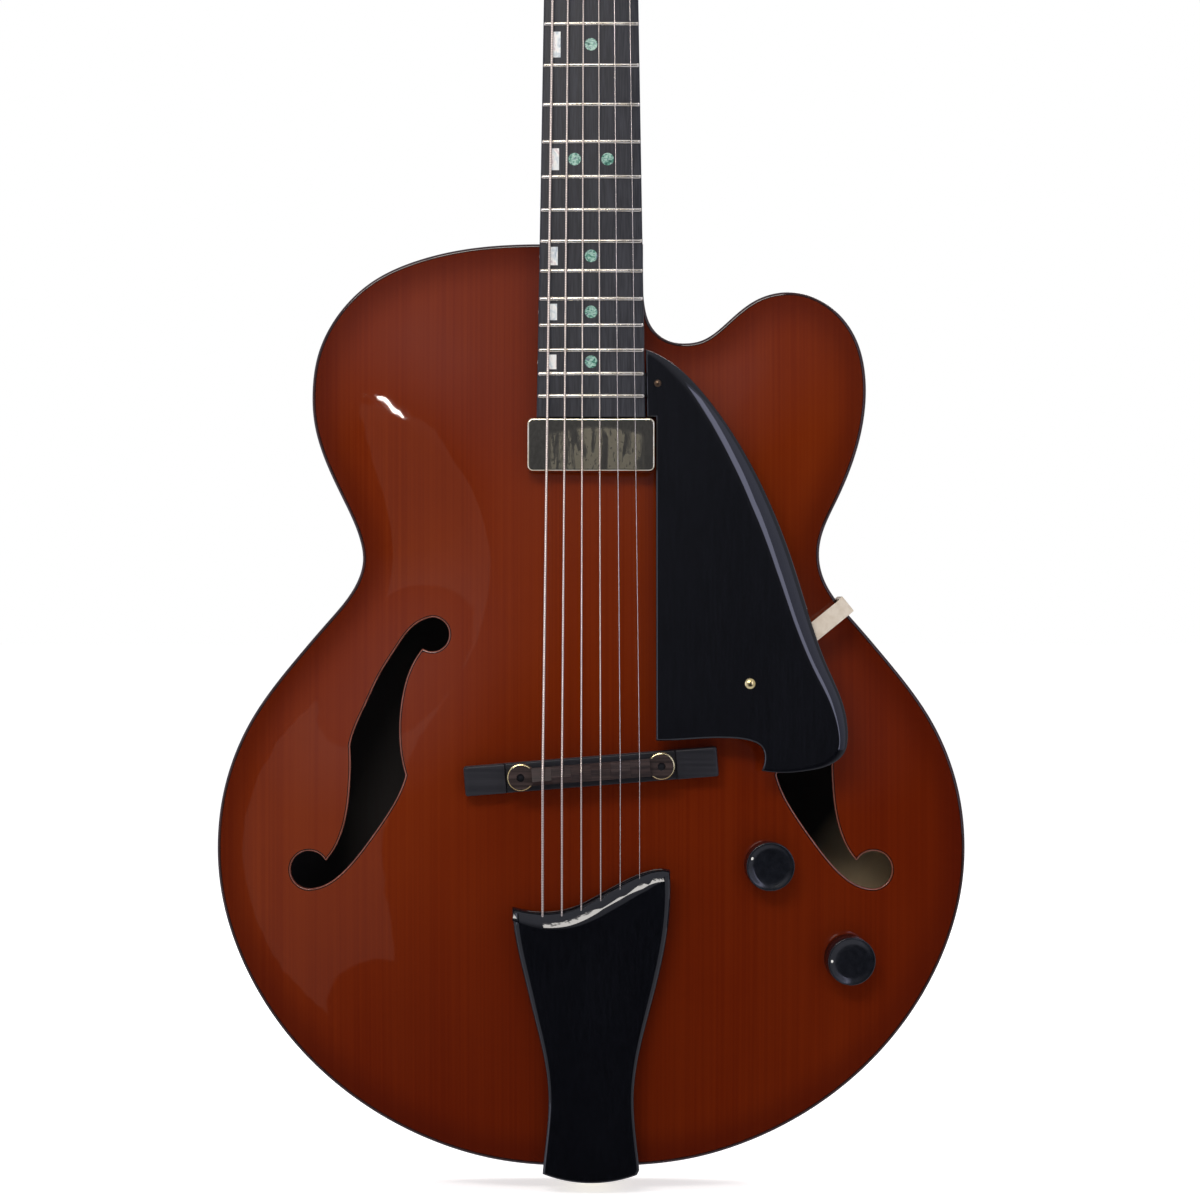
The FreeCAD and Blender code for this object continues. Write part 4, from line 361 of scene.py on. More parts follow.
def add(tree, kind, inputs=None, stops=None, **settings):
    """Adds a node, sets it up and links what it reads: a node means its first output, a list each in turn."""
    made = tree.nodes.new(kind)
    for name, value in settings.items():
        setattr(made, name, value)
    for place, given in (inputs or {}).items():
        for value in given if isinstance(given, list) else [given]:
            if isinstance(value, bpy.types.Node):
                value = value.outputs[0]
            if isinstance(value, bpy.types.NodeSocket):
                tree.links.new(value, made.inputs[place])
            else:
                made.inputs[place].default_value = value
    if stops:
        ramp = made.color_ramp.elements
        while len(ramp) < len(stops):
            ramp.new(1.0)
        for element, (place, code) in zip(ramp, stops):
            element.position = place
            element.color = linear(code)
    return made


def opened(name):
    """A new material, its emptied tree and the Object coordinates that its patterns read."""
    material = bpy.data.materials.new(name)
    material.use_nodes = True
    tree = material.node_tree
    tree.nodes.clear()
    return material, tree, add(tree, "ShaderNodeTexCoord").outputs["Object"]


def closed(material, tree, inputs):
    """Ends a material's tree in one Principled shader."""
    shader = add(tree, "ShaderNodeBsdfPrincipled", inputs)
    add(tree, "ShaderNodeOutputMaterial", {"Surface": shader})
    return material


def pattern(tree, vector, size, detail=2.0, twist=0.0):
    """Clouds or streaks whose cells have a size in millimetres along each axis."""
    scale = tuple(1 / (MM * s) for s in size)
    mapped = add(tree, "ShaderNodeMapping", {"Vector": vector, "Scale": scale})
    return add(tree, "ShaderNodeTexNoise", {
        "Vector": mapped, "Scale": 1.0, "Detail": detail, "Distortion": twist})


# Inputs that many finishes share: polished lacquer, the range that a noise keeps to, two ways to mix colours
LACQUER = {"IOR": 1.5, "Coat Weight": 1.0, "Coat Roughness": 0.03, "Coat IOR": 1.5, "Specular IOR Level": 0.0}
SPAN = {1: 0.3, 2: 0.7}
BLEND = {"data_type": "RGBA"}
TINT = {"data_type": "RGBA", "blend_type": "MULTIPLY"}


def spruce_top():
    """Quarter-sawn spruce, stained red-brown under polished lacquer: faint straight grain, deeper stain at
    the edge, painted shade that darkens it towards the tail and the treble side, and a mirror that wavers a
    little where the lacquer has sunk."""
    material, tree, place = opened("stained_spruce_lacquered")
    fine = pattern(tree, place, (1.5, 40.0, 420.0), 1.0)
    broad = pattern(tree, place, (15.0, 60.0, 240.0), 3.0)
    cloud = pattern(tree, place, (130.0, 130.0, 150.0), 2.0)
    grain = add(tree, "ShaderNodeValToRGB", {0: fine}, [
        (0.34, "#6a2408"), (0.52, "#6e2709"), (0.68, "#71290a")])
    streak = add(tree, "ShaderNodeValToRGB", {0: broad}, [(0.35, "#f9f2ee"), (0.62, "#ffffff")])
    patch = add(tree, "ShaderNodeValToRGB", {0: cloud}, [(0.36, "#f0e2d6"), (0.6, "#ffffff")])
    wood = add(tree, "ShaderNodeMix", {0: 0.8, 6: grain, 7: streak}, **TINT).outputs[2]
    wood = add(tree, "ShaderNodeMix", {0: 0.9, 6: wood, 7: patch}, **TINT).outputs[2]
    parts = add(tree, "ShaderNodeSeparateXYZ", {0: place}).outputs
    # Painted shade: darker towards the tail and the treble side, where the top catches less light.
    shade_slope = add(tree, "ShaderNodeMath", {0: parts[0], 1: SHADE_LEAN, 2: parts[2]}, operation="MULTIPLY_ADD")
    painted_shade = add(tree, "ShaderNodeMapRange", {
        0: shade_slope, 1: SHADE_FROM * MM, 2: SHADE_TO * MM, 3: 1.0, 4: 0.0}, interpolation_type="SMOOTHSTEP")
    wood = add(tree, "ShaderNodeMix", {0: painted_shade, 6: wood, 7: linear("#e4d2c6")}, **TINT).outputs[2]
    reach = add(tree, "ShaderNodeAttribute", attribute_name="reach").outputs["Fac"]
    edge = add(tree, "ShaderNodeMapRange", {0: reach, 1: 0.0, 2: STAIN_EDGE, 3: 0.6, 4: 0.0},
               interpolation_type="SMOOTHERSTEP")
    wood = add(tree, "ShaderNodeMix", {0: edge, 6: wood, 7: linear("#430f05")}, **BLEND).outputs[2]
    dull = add(tree, "ShaderNodeMapRange", {0: broad, **SPAN, 3: 0.38, 4: 0.5})
    sunk = pattern(tree, place, (22.0, 60.0, 34.0), 2.0)
    waver = add(tree, "ShaderNodeBump", {"Height": sunk, "Distance": SUNK_DEPTH * MM, "Strength": 1.0})
    return closed(material, tree, {**LACQUER, "Base Color": wood, "Roughness": dull, "Coat Normal": waver})


def maple(name, vector_of, flame, grain, light, dark):
    """Figured maple under polished lacquer: bright flames that cross a faint long grain."""
    material, tree, place = opened(name)
    vector = vector_of(tree, place)
    wave = pattern(tree, vector, flame, 1.5, 0.6)
    line = pattern(tree, vector, grain, 2.0)
    figure = add(tree, "ShaderNodeValToRGB", {0: wave}, [(0.36, dark), (0.56, light)])
    fibre = add(tree, "ShaderNodeValToRGB", {0: line}, [(0.4, "#d5c6c0"), (0.6, "#ffffff")])
    wood = add(tree, "ShaderNodeMix", {0: 0.7, 6: figure, 7: fibre}, **TINT).outputs[2]
    dull = add(tree, "ShaderNodeMapRange", {0: wave, **SPAN, 3: 0.32, 4: 0.48})
    return closed(material, tree, {**LACQUER, "Base Color": wood, "Roughness": dull})


def along_grain(tree, place):
    """The object's own axes."""
    return place


def along_rim(tree, place):
    """The bend's own map, so that flames stand across the side."""
    return add(tree, "ShaderNodeUVMap", uv_map="rim").outputs[0]


def book_matched(tree, place):
    """Two leaves opened like a book: the pattern mirrors at the centre seam and falls away from it."""
    parts = add(tree, "ShaderNodeSeparateXYZ", {0: place}).outputs
    away = add(tree, "ShaderNodeMath", {0: parts[0]}, operation="ABSOLUTE")
    fall = add(tree, "ShaderNodeMath", {0: away, 1: SEAM_FALL, 2: parts[2]}, operation="MULTIPLY_ADD")
    return add(tree, "ShaderNodeCombineXYZ", {0: away, 1: parts[1], 2: fall}).outputs[0]


def dark_wood(name, light, dark, streak, gloss, roughness):
    """Dense dark wood with fine straight pores; gloss sets how much polished lacquer lies over it."""
    material, tree, place = opened(name)
    pores = pattern(tree, place, streak, 2.0)
    cloud = pattern(tree, place, (30.0, 30.0, 60.0), 2.0)
    tone = add(tree, "ShaderNodeValToRGB", {0: pores}, [(0.35, dark), (0.66, light)])
    shade = add(tree, "ShaderNodeValToRGB", {0: cloud}, [(0.35, "#d4d4d8"), (0.65, "#ffffff")])
    wood = add(tree, "ShaderNodeMix", {0: 0.6, 6: tone, 7: shade}, **TINT).outputs[2]
    dull = add(tree, "ShaderNodeMapRange", {0: pores, **SPAN, 3: roughness * 0.85, 4: roughness * 1.15})
    worn = add(tree, "ShaderNodeBump", {
        "Height": pores, "Distance": PORE_DEPTH * MM, "Strength": 0.4 - 0.4 * gloss})
    return closed(material, tree, {
        **LACQUER, "Base Color": wood, "Roughness": dull, "Normal": worn, "Coat Weight": gloss,
        "Specular IOR Level": 0.22 - 0.22 * gloss})


def bare_wood(name, light, dark, pale):
    """Unfinished wood inside the body: dull and straight-grained; its dark tone is painted shade, and a pale
    painted pool of light lies on the treble tail side.
    """
    material, tree, place = opened(name)
    line = pattern(tree, place, (1.6, 1.6, 60.0), 3.0)
    # Painted shade: the bare maple is drawn dark brown for the shade inside the body.
    shaded_tone = add(tree, "ShaderNodeValToRGB", {0: line}, [(0.3, dark), (0.7, light)])
    parts = add(tree, "ShaderNodeSeparateXYZ", {0: place}).outputs
    # Painted light: a pale pool towards the treble side at the tail.
    side = add(tree, "ShaderNodeMath", {0: parts[2], 1: LIT_PATCH_LEAN, 2: parts[0]}, operation="MULTIPLY_ADD")
    painted_light = add(tree, "ShaderNodeMapRange", {0: side, 1: LIT_PATCH_FROM * MM, 2: LIT_PATCH_TO * MM, 3: 0.0, 4: 1.0})
    tone = add(tree, "ShaderNodeMix", {0: painted_light, 6: shaded_tone, 7: linear(pale)}, **BLEND).outputs[2]
    dull = add(tree, "ShaderNodeMapRange", {0: line, **SPAN, 3: 0.6, 4: 0.8})
    fuzz = add(tree, "ShaderNodeBump", {"Height": line, "Distance": FUZZ_DEPTH * MM, "Strength": 0.5})
    return closed(material, tree, {"Base Color": tone, "Roughness": dull, "Normal": fuzz, "IOR": 1.5})


def metal(name, colour, worn, low, high):
    """Plated or drawn metal: a mirror dulled by fine rubbing and a little tarnish."""
    material, tree, place = opened(name)
    rub = pattern(tree, place, (2.0, 2.0, 2.0), 4.0)
    tarnish = pattern(tree, place, (9.0, 9.0, 9.0), 3.0)
    tone = add(tree, "ShaderNodeValToRGB", {0: tarnish}, [(0.38, worn), (0.58, colour)])
    dull = add(tree, "ShaderNodeMapRange", {0: rub, **SPAN, 3: low, 4: high})
    return closed(material, tree, {"Base Color": tone, "Roughness": dull, "Metallic": 1.0})


def turned_or_cast(name, colour, shade, low, high):
    """Pale or dark plain material with a slight mottle and a soft polish."""
    material, tree, place = opened(name)
    mottle = pattern(tree, place, (3.0, 3.0, 3.0), 4.0)
    tone = add(tree, "ShaderNodeValToRGB", {0: mottle}, [(0.35, shade), (0.65, colour)])
    dull = add(tree, "ShaderNodeMapRange", {0: mottle, **SPAN, 3: low, 4: high})
    skin = add(tree, "ShaderNodeBump", {"Height": mottle, "Distance": SKIN_DEPTH * MM, "Strength": 0.3})
    return closed(material, tree, {"Base Color": tone, "Roughness": dull, "Normal": skin, "IOR": 1.5})


def shell(name, size, stops):
    """Polished shell: pale or green clouds that swirl in thin layers under a glassy face."""
    material, tree, place = opened(name)
    swirl = pattern(tree, place, size, 4.0, 1.6)
    tone = add(tree, "ShaderNodeValToRGB", {0: swirl}, stops)
    dull = add(tree, "ShaderNodeMapRange", {0: swirl, **SPAN, 3: 0.18, 4: 0.28})
    return closed(material, tree, {
        "Base Color": tone, "Roughness": dull, "IOR": 1.55, "Coat Weight": 0.8, "Coat Roughness": 0.04})


def wound_wire(name, colour, groove_shade, pitch):
    """Wire wrapped round a core: fine ridges with painted shade in the grooves between them, drawn coarser
    than the real wrap so that they show.
    """
    material, tree, _ = opened(name)
    along = add(tree, "ShaderNodeAttribute", attribute_name="along").outputs["Fac"]
    phase = add(tree, "ShaderNodeMath", {0: along, 1: 2 * math.pi / (pitch * MM)}, operation="MULTIPLY")
    ridge = add(tree, "ShaderNodeMath", {0: phase}, operation="SINE")
    lift = add(tree, "ShaderNodeMapRange", {0: ridge, 1: -1.0, 2: 1.0, 3: 0.0, 4: 1.0})
    # Painted shade: the grooves between the ridges are coloured darker.
    tone = add(tree, "ShaderNodeValToRGB", {0: lift}, [(0.0, groove_shade), (0.6, colour)])
    wrap = add(tree, "ShaderNodeBump", {"Height": lift, "Distance": WRAP_DEPTH * MM, "Strength": 0.6})
    return closed(material, tree, {"Base Color": tone, "Normal": wrap, "Roughness": 0.32, "Metallic": 1.0})


def shaded_scuffed_plate():
    """Plated pickup face, a dim mirror in a darker plate than the rim's that is painted shade on the cover's
    one metal, with a pale dull patch that picking has rubbed along the strings, cut off by an arc above."""
    material, tree, place = opened("shaded_plate_scuffed")
    parts = add(tree, "ShaderNodeSeparateXYZ", {0: place}).outputs
    streak = pattern(tree, place, (5.0, 30.0, 26.0), 5.0, 0.8)
    speck = pattern(tree, place, (1.2, 1.2, 2.2), 3.0)
    middle = add(tree, "ShaderNodeMath", {0: parts[0], 1: -SCUFF_MIDDLE * MM}, operation="ADD")
    away = add(tree, "ShaderNodeMath", {0: middle}, operation="ABSOLUTE")
    beside = add(tree, "ShaderNodeMapRange", {
        0: away, 1: SCUFF_HALF * MM, 2: SCUFF_FADE * MM, 3: 1.0, 4: 0.0})
    square = add(tree, "ShaderNodeMath", {0: away, 1: 2.0}, operation="POWER")
    arc = add(tree, "ShaderNodeMath", {0: square, 1: SCUFF_ARC, 2: parts[2]}, operation="MULTIPLY_ADD")
    under = add(tree, "ShaderNodeMapRange", {0: arc, 1: SCUFF_FULL * MM, 2: SCUFF_NONE * MM, 3: 1.0, 4: 0.0})
    rubbed = add(tree, "ShaderNodeMapRange", {0: streak, 1: 0.37, 2: 0.47, 3: 0.0, 4: 1.0})
    flaw = add(tree, "ShaderNodeMapRange", {0: speck, 1: 0.34, 2: 0.44, 3: 0.45, 4: 1.0})
    patch = beside
    for share in (under, rubbed, flaw):
        patch = add(tree, "ShaderNodeMath", {0: patch, 1: share}, operation="MULTIPLY")
    # Painted shade: the face's plate is drawn darker than the bright rim, though the cover is one metal.
    shaded_face_tone = add(tree, "ShaderNodeValToRGB", {0: speck}, [(0.3, "#7d7a70"), (0.6, "#8e8b80")])
    tone = add(tree, "ShaderNodeMix", {0: patch, 6: shaded_face_tone, 7: linear("#767264")}, **BLEND).outputs[2]
    dull = add(tree, "ShaderNodeMapRange", {0: patch, 1: 0.0, 2: 1.0, 3: 0.14, 4: 0.34})
    return closed(material, tree, {"Base Color": tone, "Roughness": dull, "Metallic": 1.0})


TOP_WOOD = spruce_top()
RIM_WOOD = maple("flamed_maple_rim", along_rim, (7.0, 90.0, 90.0), (70.0, 1.5, 1.5), "#7a290a", "#5c1c07")
BACK_WOOD = maple(
    "flamed_maple_back", book_matched, (110.0, 200.0, 7.5), (1.5, 60.0, 90.0), "#7a290a", "#5a1b07")
NECK_WOOD = maple("flamed_maple_neck", along_grain, (90.0, 60.0, 8.0), (1.5, 1.5, 90.0), "#6e2409", "#531806")
EDGE_WOOD = dark_wood("rosewood_edge_binding", "#34150f", "#22100c", (2.0, 2.0, 30.0), 1.0, 0.4)
F_EDGE = dark_wood("pear_wood_f_binding", "#8a5244", "#74402f", (2.0, 2.0, 20.0), 1.0, 0.4)
F_BLACK = dark_wood("dyed_black_line", "#1a0a07", "#120705", (2.0, 2.0, 20.0), 1.0, 0.4)
EBONY = dark_wood("ebony_oiled", "#37383e", "#28292e", (0.9, 0.9, 55.0), 0.0, 0.42)
BRIDGE_EBONY = dark_wood("ebony_waxed", "#2a2a2f", "#232328", (60.0, 1.4, 1.4), 0.0, 0.36)
EBONY_GLOSS = dark_wood("ebony_polished", "#0d0e13", "#090a0e", (1.2, 1.2, 70.0), 1.0, 0.4)
SADDLE_WOOD = dark_wood("rosewood_saddle", "#40322f", "#261c1a", (40.0, 1.0, 1.0), 0.0, 0.5)
KNOB_BLACK = turned_or_cast("ebony_turned_satin", "#14161c", "#0e1015", 0.14, 0.2)
CREAM = turned_or_cast("cream_celluloid", "#d3c8b8", "#c8bba9", 0.3, 0.4)
WHITE_DOT = turned_or_cast("white_inlay", "#f2f1ec", "#e6e4dc", 0.25, 0.35)
BONE = turned_or_cast("polished_bone", "#e6dcc4", "#d9cbac", 0.25, 0.36)
BLACK_PLASTIC = turned_or_cast("black_plastic", "#1c1c1f", "#141416", 0.38, 0.5)
WIRE_CLOTH = turned_or_cast("black_cloth_wire", "#232120", "#181716", 0.6, 0.75)
PEARL = shell("mother_of_pearl", (5.0, 5.0, 9.0), [
    (0.3, "#aebac4"), (0.45, "#dfe4e3"), (0.56, "#f2efe9"), (0.7, "#cdb9bd")])
ABALONE = shell("abalone_shell", (3.4, 3.4, 2.4), [
    (0.28, "#1f4f47"), (0.42, "#4d8a78"), (0.52, "#a9cdbd"), (0.6, "#3c7a70"), (0.72, "#8d7fa0")])
GOLD = metal("gold_plate", "#f2e3b0", "#dcc68a", 0.12, 0.22)
PALE_GOLD = metal("pale_gold_plate", "#f8efd8", "#e9dcba", 0.1, 0.2)
BRONZE = metal("bronze_screw", "#6e5a48", "#4a3c31", 0.25, 0.4)
FRET_WIRE = metal("nickel_silver_fret", "#e2dccf", "#cfc7b6", 0.16, 0.28)
STEEL = metal("steel_turned", "#a9a9a8", "#8a8a88", 0.25, 0.4)
DARK_STEEL = metal("steel_blackened", "#454548", "#2c2c2f", 0.3, 0.45)
# The second colour is the painted shade in the string's grooves.
WOUND_WIRE = wound_wire("nickel_wound_string", "#f4e5d6", "#b3a598", WRAP_PITCH)
PLAIN_WIRE = metal("steel_plain_string", "#f2e8dc", "#dfd5ca", 0.18, 0.28)
# Pickup face: its darker plate is painted shade.
PICKUP_SHADED_FACE = shaded_scuffed_plate()
# Inner wood: dark brown as painted shade, pale where light is painted on the treble tail side.
INNER_WOOD = bare_wood("bare_maple", "#2a2321", "#1f1a18", "#d8bf98")


# Making pieces

def fit(obj, covers=(), body="guitar"):
    """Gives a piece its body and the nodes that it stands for."""
    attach(obj, body)
    if covers:
        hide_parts(*covers)
    return obj


def linked(name, data):
    """A new object in the scene."""
    obj = bpy.data.objects.new(name, data)
    bpy.context.scene.collection.objects.link(obj)
    return obj


def evaluated(obj):
    """The mesh that an object's modifiers make."""
    bpy.context.view_layer.update()
    return bpy.data.meshes.new_from_object(obj.evaluated_get(bpy.context.evaluated_depsgraph_get()))


def finished(name, mesh, materials, smooth_angle):
    """A mesh in metres made an object, shaded smooth but for edges sharper than an angle."""
    for material in materials:
        mesh.materials.append(material)
    mesh.shade_smooth()
    if smooth_angle:
        mesh.set_sharp_from_angle(angle=math.radians(smooth_angle))
    return linked(name, mesh)


def piece(name, points, faces, materials, marks=None, smooth_angle=38, normals=None, merge=True):
    """Points in millimetres and faces made an object; marks choose a material for each face."""
    mesh = bpy.data.meshes.new(name)
    mesh.from_pydata((np.asarray(points, float) * MM).tolist(), [], [list(map(int, f)) for f in faces])
    if marks is not None:
        mesh.polygons.foreach_set("material_index", np.asarray(marks, np.int32))
    if merge:
        work = bmesh.new()
        work.from_mesh(mesh)
        bmesh.ops.remove_doubles(work, verts=work.verts, dist=SAME_POINT * MM)
        bmesh.ops.recalc_face_normals(work, faces=work.faces)
        work.to_mesh(mesh)
        work.free()
    obj = finished(name, mesh, materials, smooth_angle)
    if normals is not None:
        mesh.normals_split_custom_set_from_vertices(np.asarray(normals, float).tolist())
    return obj


def moved(matrix, points):
    """Points carried from a frame to the guitar."""
    rows = np.array(matrix)
    return np.asarray(points, float) @ rows[:3, :3].T + rows[:3, 3]


def spline(points, step):
    """Points about a step apart on the smooth curve through the given points."""
    given = np.asarray(points, float)
    along = np.concatenate([[0.0], np.cumsum(np.linalg.norm(np.diff(given, axis=0), axis=1))])
    gap = np.diff(along)
    slope = np.diff(given, axis=0) / gap[:, None]
    count = len(along)
    few = min(4, count)
    first = np.polyfit(along[:few] - along[0], given[:few], few - 1)[-2]
    last = np.polyfit(along[-few:] - along[-1], given[-few:], few - 1)[-2]
    system = np.zeros((count, count))
    right = np.zeros_like(given)
    system[0, :2], right[0] = (2 * gap[0], gap[0]), 6 * (slope[0] - first)
    system[-1, -2:], right[-1] = (gap[-1], 2 * gap[-1]), 6 * (last - slope[-1])
    for i in range(1, count - 1):
        system[i, i - 1:i + 2] = gap[i - 1], 2 * (gap[i - 1] + gap[i]), gap[i]
        right[i] = 6 * (slope[i] - slope[i - 1])
    bend = np.linalg.solve(system, right)
    place = np.linspace(0, along[-1], max(2, int(math.ceil(along[-1] / step)) + 1))
    span = np.clip(np.searchsorted(along, place, side="right") - 1, 0, count - 2)
    ahead, behind = (along[span + 1] - place)[:, None], (place - along[span])[:, None]
    wide = gap[span][:, None]
    bent = (bend[span] * ahead ** 3 + bend[span + 1] * behind ** 3) / (6 * wide)
    from_start = (given[span] / wide - bend[span] * wide / 6) * ahead
    from_end = (given[span + 1] / wide - bend[span + 1] * wide / 6) * behind
    return bent + from_start + from_end


def tidy_loop(points, least=0.05):
    """A closed loop without points that lie on each other."""
    kept = [points[0]]
    for point in points[1:]:
        if np.linalg.norm(point - kept[-1]) > least:
            kept.append(point)
    if np.linalg.norm(kept[0] - kept[-1]) < least:
        kept.pop()
    return np.array(kept)


def drawn_in(loop, widths):
    """A loop drawn in by a width for each of its edges, with mitred corners; the loop runs anticlockwise."""
    run = np.roll(loop, -1, 0) - loop
    run /= np.linalg.norm(run, axis=1)[:, None]
    inward = np.stack([-run[:, 1], run[:, 0]], 1)
    width = np.broadcast_to(np.asarray(widths, float), (len(loop),))
    before, width_before = np.roll(inward, 1, 0), np.roll(width, 1)
    turn = before[:, 0] * inward[:, 1] - before[:, 1] * inward[:, 0]
    middle = before + inward
    middle = middle * ((width + width_before) / np.maximum((middle ** 2).sum(1), MITRE_LEAST))[:, None]
    sharp = np.abs(turn) > MITRE_TURN
    safe = np.where(sharp, turn, 1.0)
    corner = np.stack([(width_before * inward[:, 1] - width * before[:, 1]) / safe,
                       (width * before[:, 0] - width_before * inward[:, 0]) / safe], 1)
    return loop + np.where(sharp[:, None], corner, middle)


def inside(loop, points):
    """Which points lie in a loop, by counting the edges to the right of each."""
    (start_x, start_z), (end_x, end_z) = loop.T, np.roll(loop, -1, 0).T
    x, z = points[:, :1], points[:, 1:]
    spans = (start_z > z) != (end_z > z)
    rise = np.where(end_z == start_z, 1.0, end_z - start_z)
    crossing = (end_x - start_x) * (z - start_z) / rise + start_x
    return ((x < crossing) & spans).sum(1) % 2 == 1


def filled(loops, grid=None):
    """Triangles inside the first loop and outside the others, with grid points between where asked."""
    edge = np.concatenate(loops)
    links, start = [], 0
    for loop in loops:
        links += [(start + i, start + (i + 1) % len(loop)) for i in range(len(loop))]
        start += len(loop)
    points = edge
    if grid:
        low, high = edge.min(0), edge.max(0)
        rows = np.arange(low[1], high[1], grid * GRID_ROW)
        spots = np.array([(x + (i % 2) * grid / 2, z) for i, z in enumerate(rows)
                          for x in np.arange(low[0], high[0], grid)])
        keep = inside(loops[0], spots)
        for loop in loops[1:]:
            keep &= ~inside(loop, spots)
        spots = spots[keep]
        gap = np.array([np.min(np.hypot(*(edge - s).T)) for s in spots])
        points = np.concatenate([edge, spots[gap > grid * GRID_CLEAR]])
    spots = [Vector(p) for p in points]
    _, _, faces, origin, _, _ = delaunay_2d_cdt(spots, links, [], 0, CUT_TOLERANCE)
    index = [o[0] if o else -1 for o in origin]
    faces = np.array([[index[i] for i in f] for f in faces])
    centre = points[faces].mean(1)
    keep = inside(loops[0], centre) & (faces.min(1) >= 0)
    for loop in loops[1:]:
        keep &= ~inside(loop, centre)
    return points, faces[keep]


def band(first, second, count, closed=True):
    """Four-sided faces between two rows of as many points, given by their first indices."""
    last = count if closed else count - 1
    return [(first + i, first + (i + 1) % count, second + (i + 1) % count, second + i) for i in range(last)]


def ringed(loops):
    """Rows of points one after another and the faces between them."""
    count = len(loops[0])
    faces = []
    for i in range(len(loops) - 1):
        faces += band(i * count, (i + 1) * count, count)
    return np.concatenate(loops), faces


def raised(loop, level):
    """A flat loop given its depth."""
    return np.stack([loop[:, 0], np.broadcast_to(level, (len(loop),)), loop[:, 1]], 1)


def capped(rows):
    """Rows of points, the faces between them and one face at each end."""
    points, faces = ringed(rows)
    count = len(rows[0])
    return points, faces + [tuple(range(count)), tuple(range(len(points) - count, len(points)))]


def shifted(faces, start):
    """Faces whose points come after others."""
    return [tuple(np.array(face) + start) for face in faces]


def round_off(count, degrees=90):
    """Shares of a rounding's radius, inwards and down, from its outer edge on."""
    return [(1 - math.cos(turn), 1 - math.sin(turn)) for turn in np.radians(np.linspace(0, degrees, count))]


ROUND_ROLL = round_off(ROLL_POINTS)


def rolled_plate(outline, widths, drops, front, back, foot=0.5, roll=ROUND_ROLL):
    """A plate whose front edge rolls over by its own width and drop along each edge of the outline; the roll
    gives shares of that width and drop from the outer edge inwards."""
    drop = (drops + np.roll(drops, 1)) / 2
    rings = [raised(drawn_in(outline, foot), back), raised(outline, back - foot)]
    for inset, fall in roll:
        rings.append(raised(drawn_in(outline, widths * inset), front + drop * fall))
    rings.append(raised(drawn_in(outline, widths + FLAT_MARGIN), front))
    points, faces = ringed(rings)
    for ring in (0, len(rings) - 1):
        faces += shifted(filled([rings[ring][:, [0, 2]]])[1], ring * len(outline))
    return points, faces


def lathe(profile, steps, matrix):
    """A profile of radius and height turned round the Z of a frame; zero radius closes it."""
    points, faces, rows = [], [], []
    for radius, height in profile:
        rows.append((len(points), radius > 0))
        turns = [2 * math.pi * i / steps for i in range(steps if radius > 0 else 1)]
        points += [(radius * math.cos(turn), radius * math.sin(turn), height) for turn in turns]
    for (first, first_full), (second, second_full) in zip(rows, rows[1:]):
        for i in range(steps):
            j = (i + 1) % steps
            if first_full and second_full:
                faces.append((first + i, first + j, second + j, second + i))
            elif first_full:
                faces.append((first + i, first + j, second))
            elif second_full:
                faces.append((first, second + j, second + i))
    return moved(matrix, points), faces


def eased(node, name, width, materials=(GOLD,), body="guitar", mark=None):
    """A copy of a solid's mesh with its edges eased, or kept where width is 0, shaded so that its flats stay
    flat; mark chooses a material by the middle of a face."""
    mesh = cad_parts[node].data.copy()
    mesh.materials.clear()
    work = bmesh.new()
    work.from_mesh(mesh)
    bmesh.ops.remove_doubles(work, verts=work.verts, dist=2 * SAME_POINT * MM)
    flat = math.radians(FLAT_EASED if width else FLAT_KEPT)
    bmesh.ops.dissolve_limit(work, angle_limit=flat, verts=work.verts, edges=work.edges)
    if width:
        least = math.radians(EASED_ANGLE)
        sharp = [e for e in work.edges if len(e.link_faces) == 2 and e.calc_face_angle(0) > least]
        bmesh.ops.bevel(work, geom=sharp, offset=width * MM, offset_type="OFFSET", segments=2, profile=0.6,
                        affect="EDGES", clamp_overlap=True)
        bmesh.ops.triangulate(work, faces=[f for f in work.faces if len(f.verts) > 4])
    for face in work.faces:
        face.material_index = mark(face.calc_center_median() / MM) if mark else 0
    work.to_mesh(mesh)
    work.free()
    obj = finished(name, mesh, materials, SHARP_ANGLE)
    if not width:
        even = obj.modifiers.new("even", "WEIGHTED_NORMAL")
        even.keep_sharp = True
        even.mode = "FACE_AREA_WITH_ANGLE"
        shaded = evaluated(obj)
        obj.modifiers.clear()
        obj.data = shaded
    else:
        total = np.zeros((len(mesh.vertices), 3))
        for polygon in mesh.polygons:
            total[list(polygon.vertices)] += np.array(polygon.normal) * polygon.area
        size = np.linalg.norm(total, axis=1)[:, None]
        mesh.shade_smooth()
        mesh.normals_split_custom_set_from_vertices((total / np.maximum(size, 1e-12)).tolist())
    return fit(obj, (node,), body)


def tilted(place, degrees, axis="X"):
    """A frame at a place, turned about one axis."""
    return Matrix.Translation(place) @ Matrix.Rotation(math.radians(degrees), 4, axis)


def facing(place, direction):
    """A frame at a place, its Z along a direction."""
    turn = Vector((0, 0, 1)).rotation_difference(Vector(direction)).to_matrix().to_4x4()
    return Matrix.Translation(place) @ turn


# Body

def at_outline(shares, side):
    """A point of the outline from its shares, on the treble or the bass side."""
    return (side * shares[0] * HALF_BOUT, shares[1] * BODY_LENGTH)


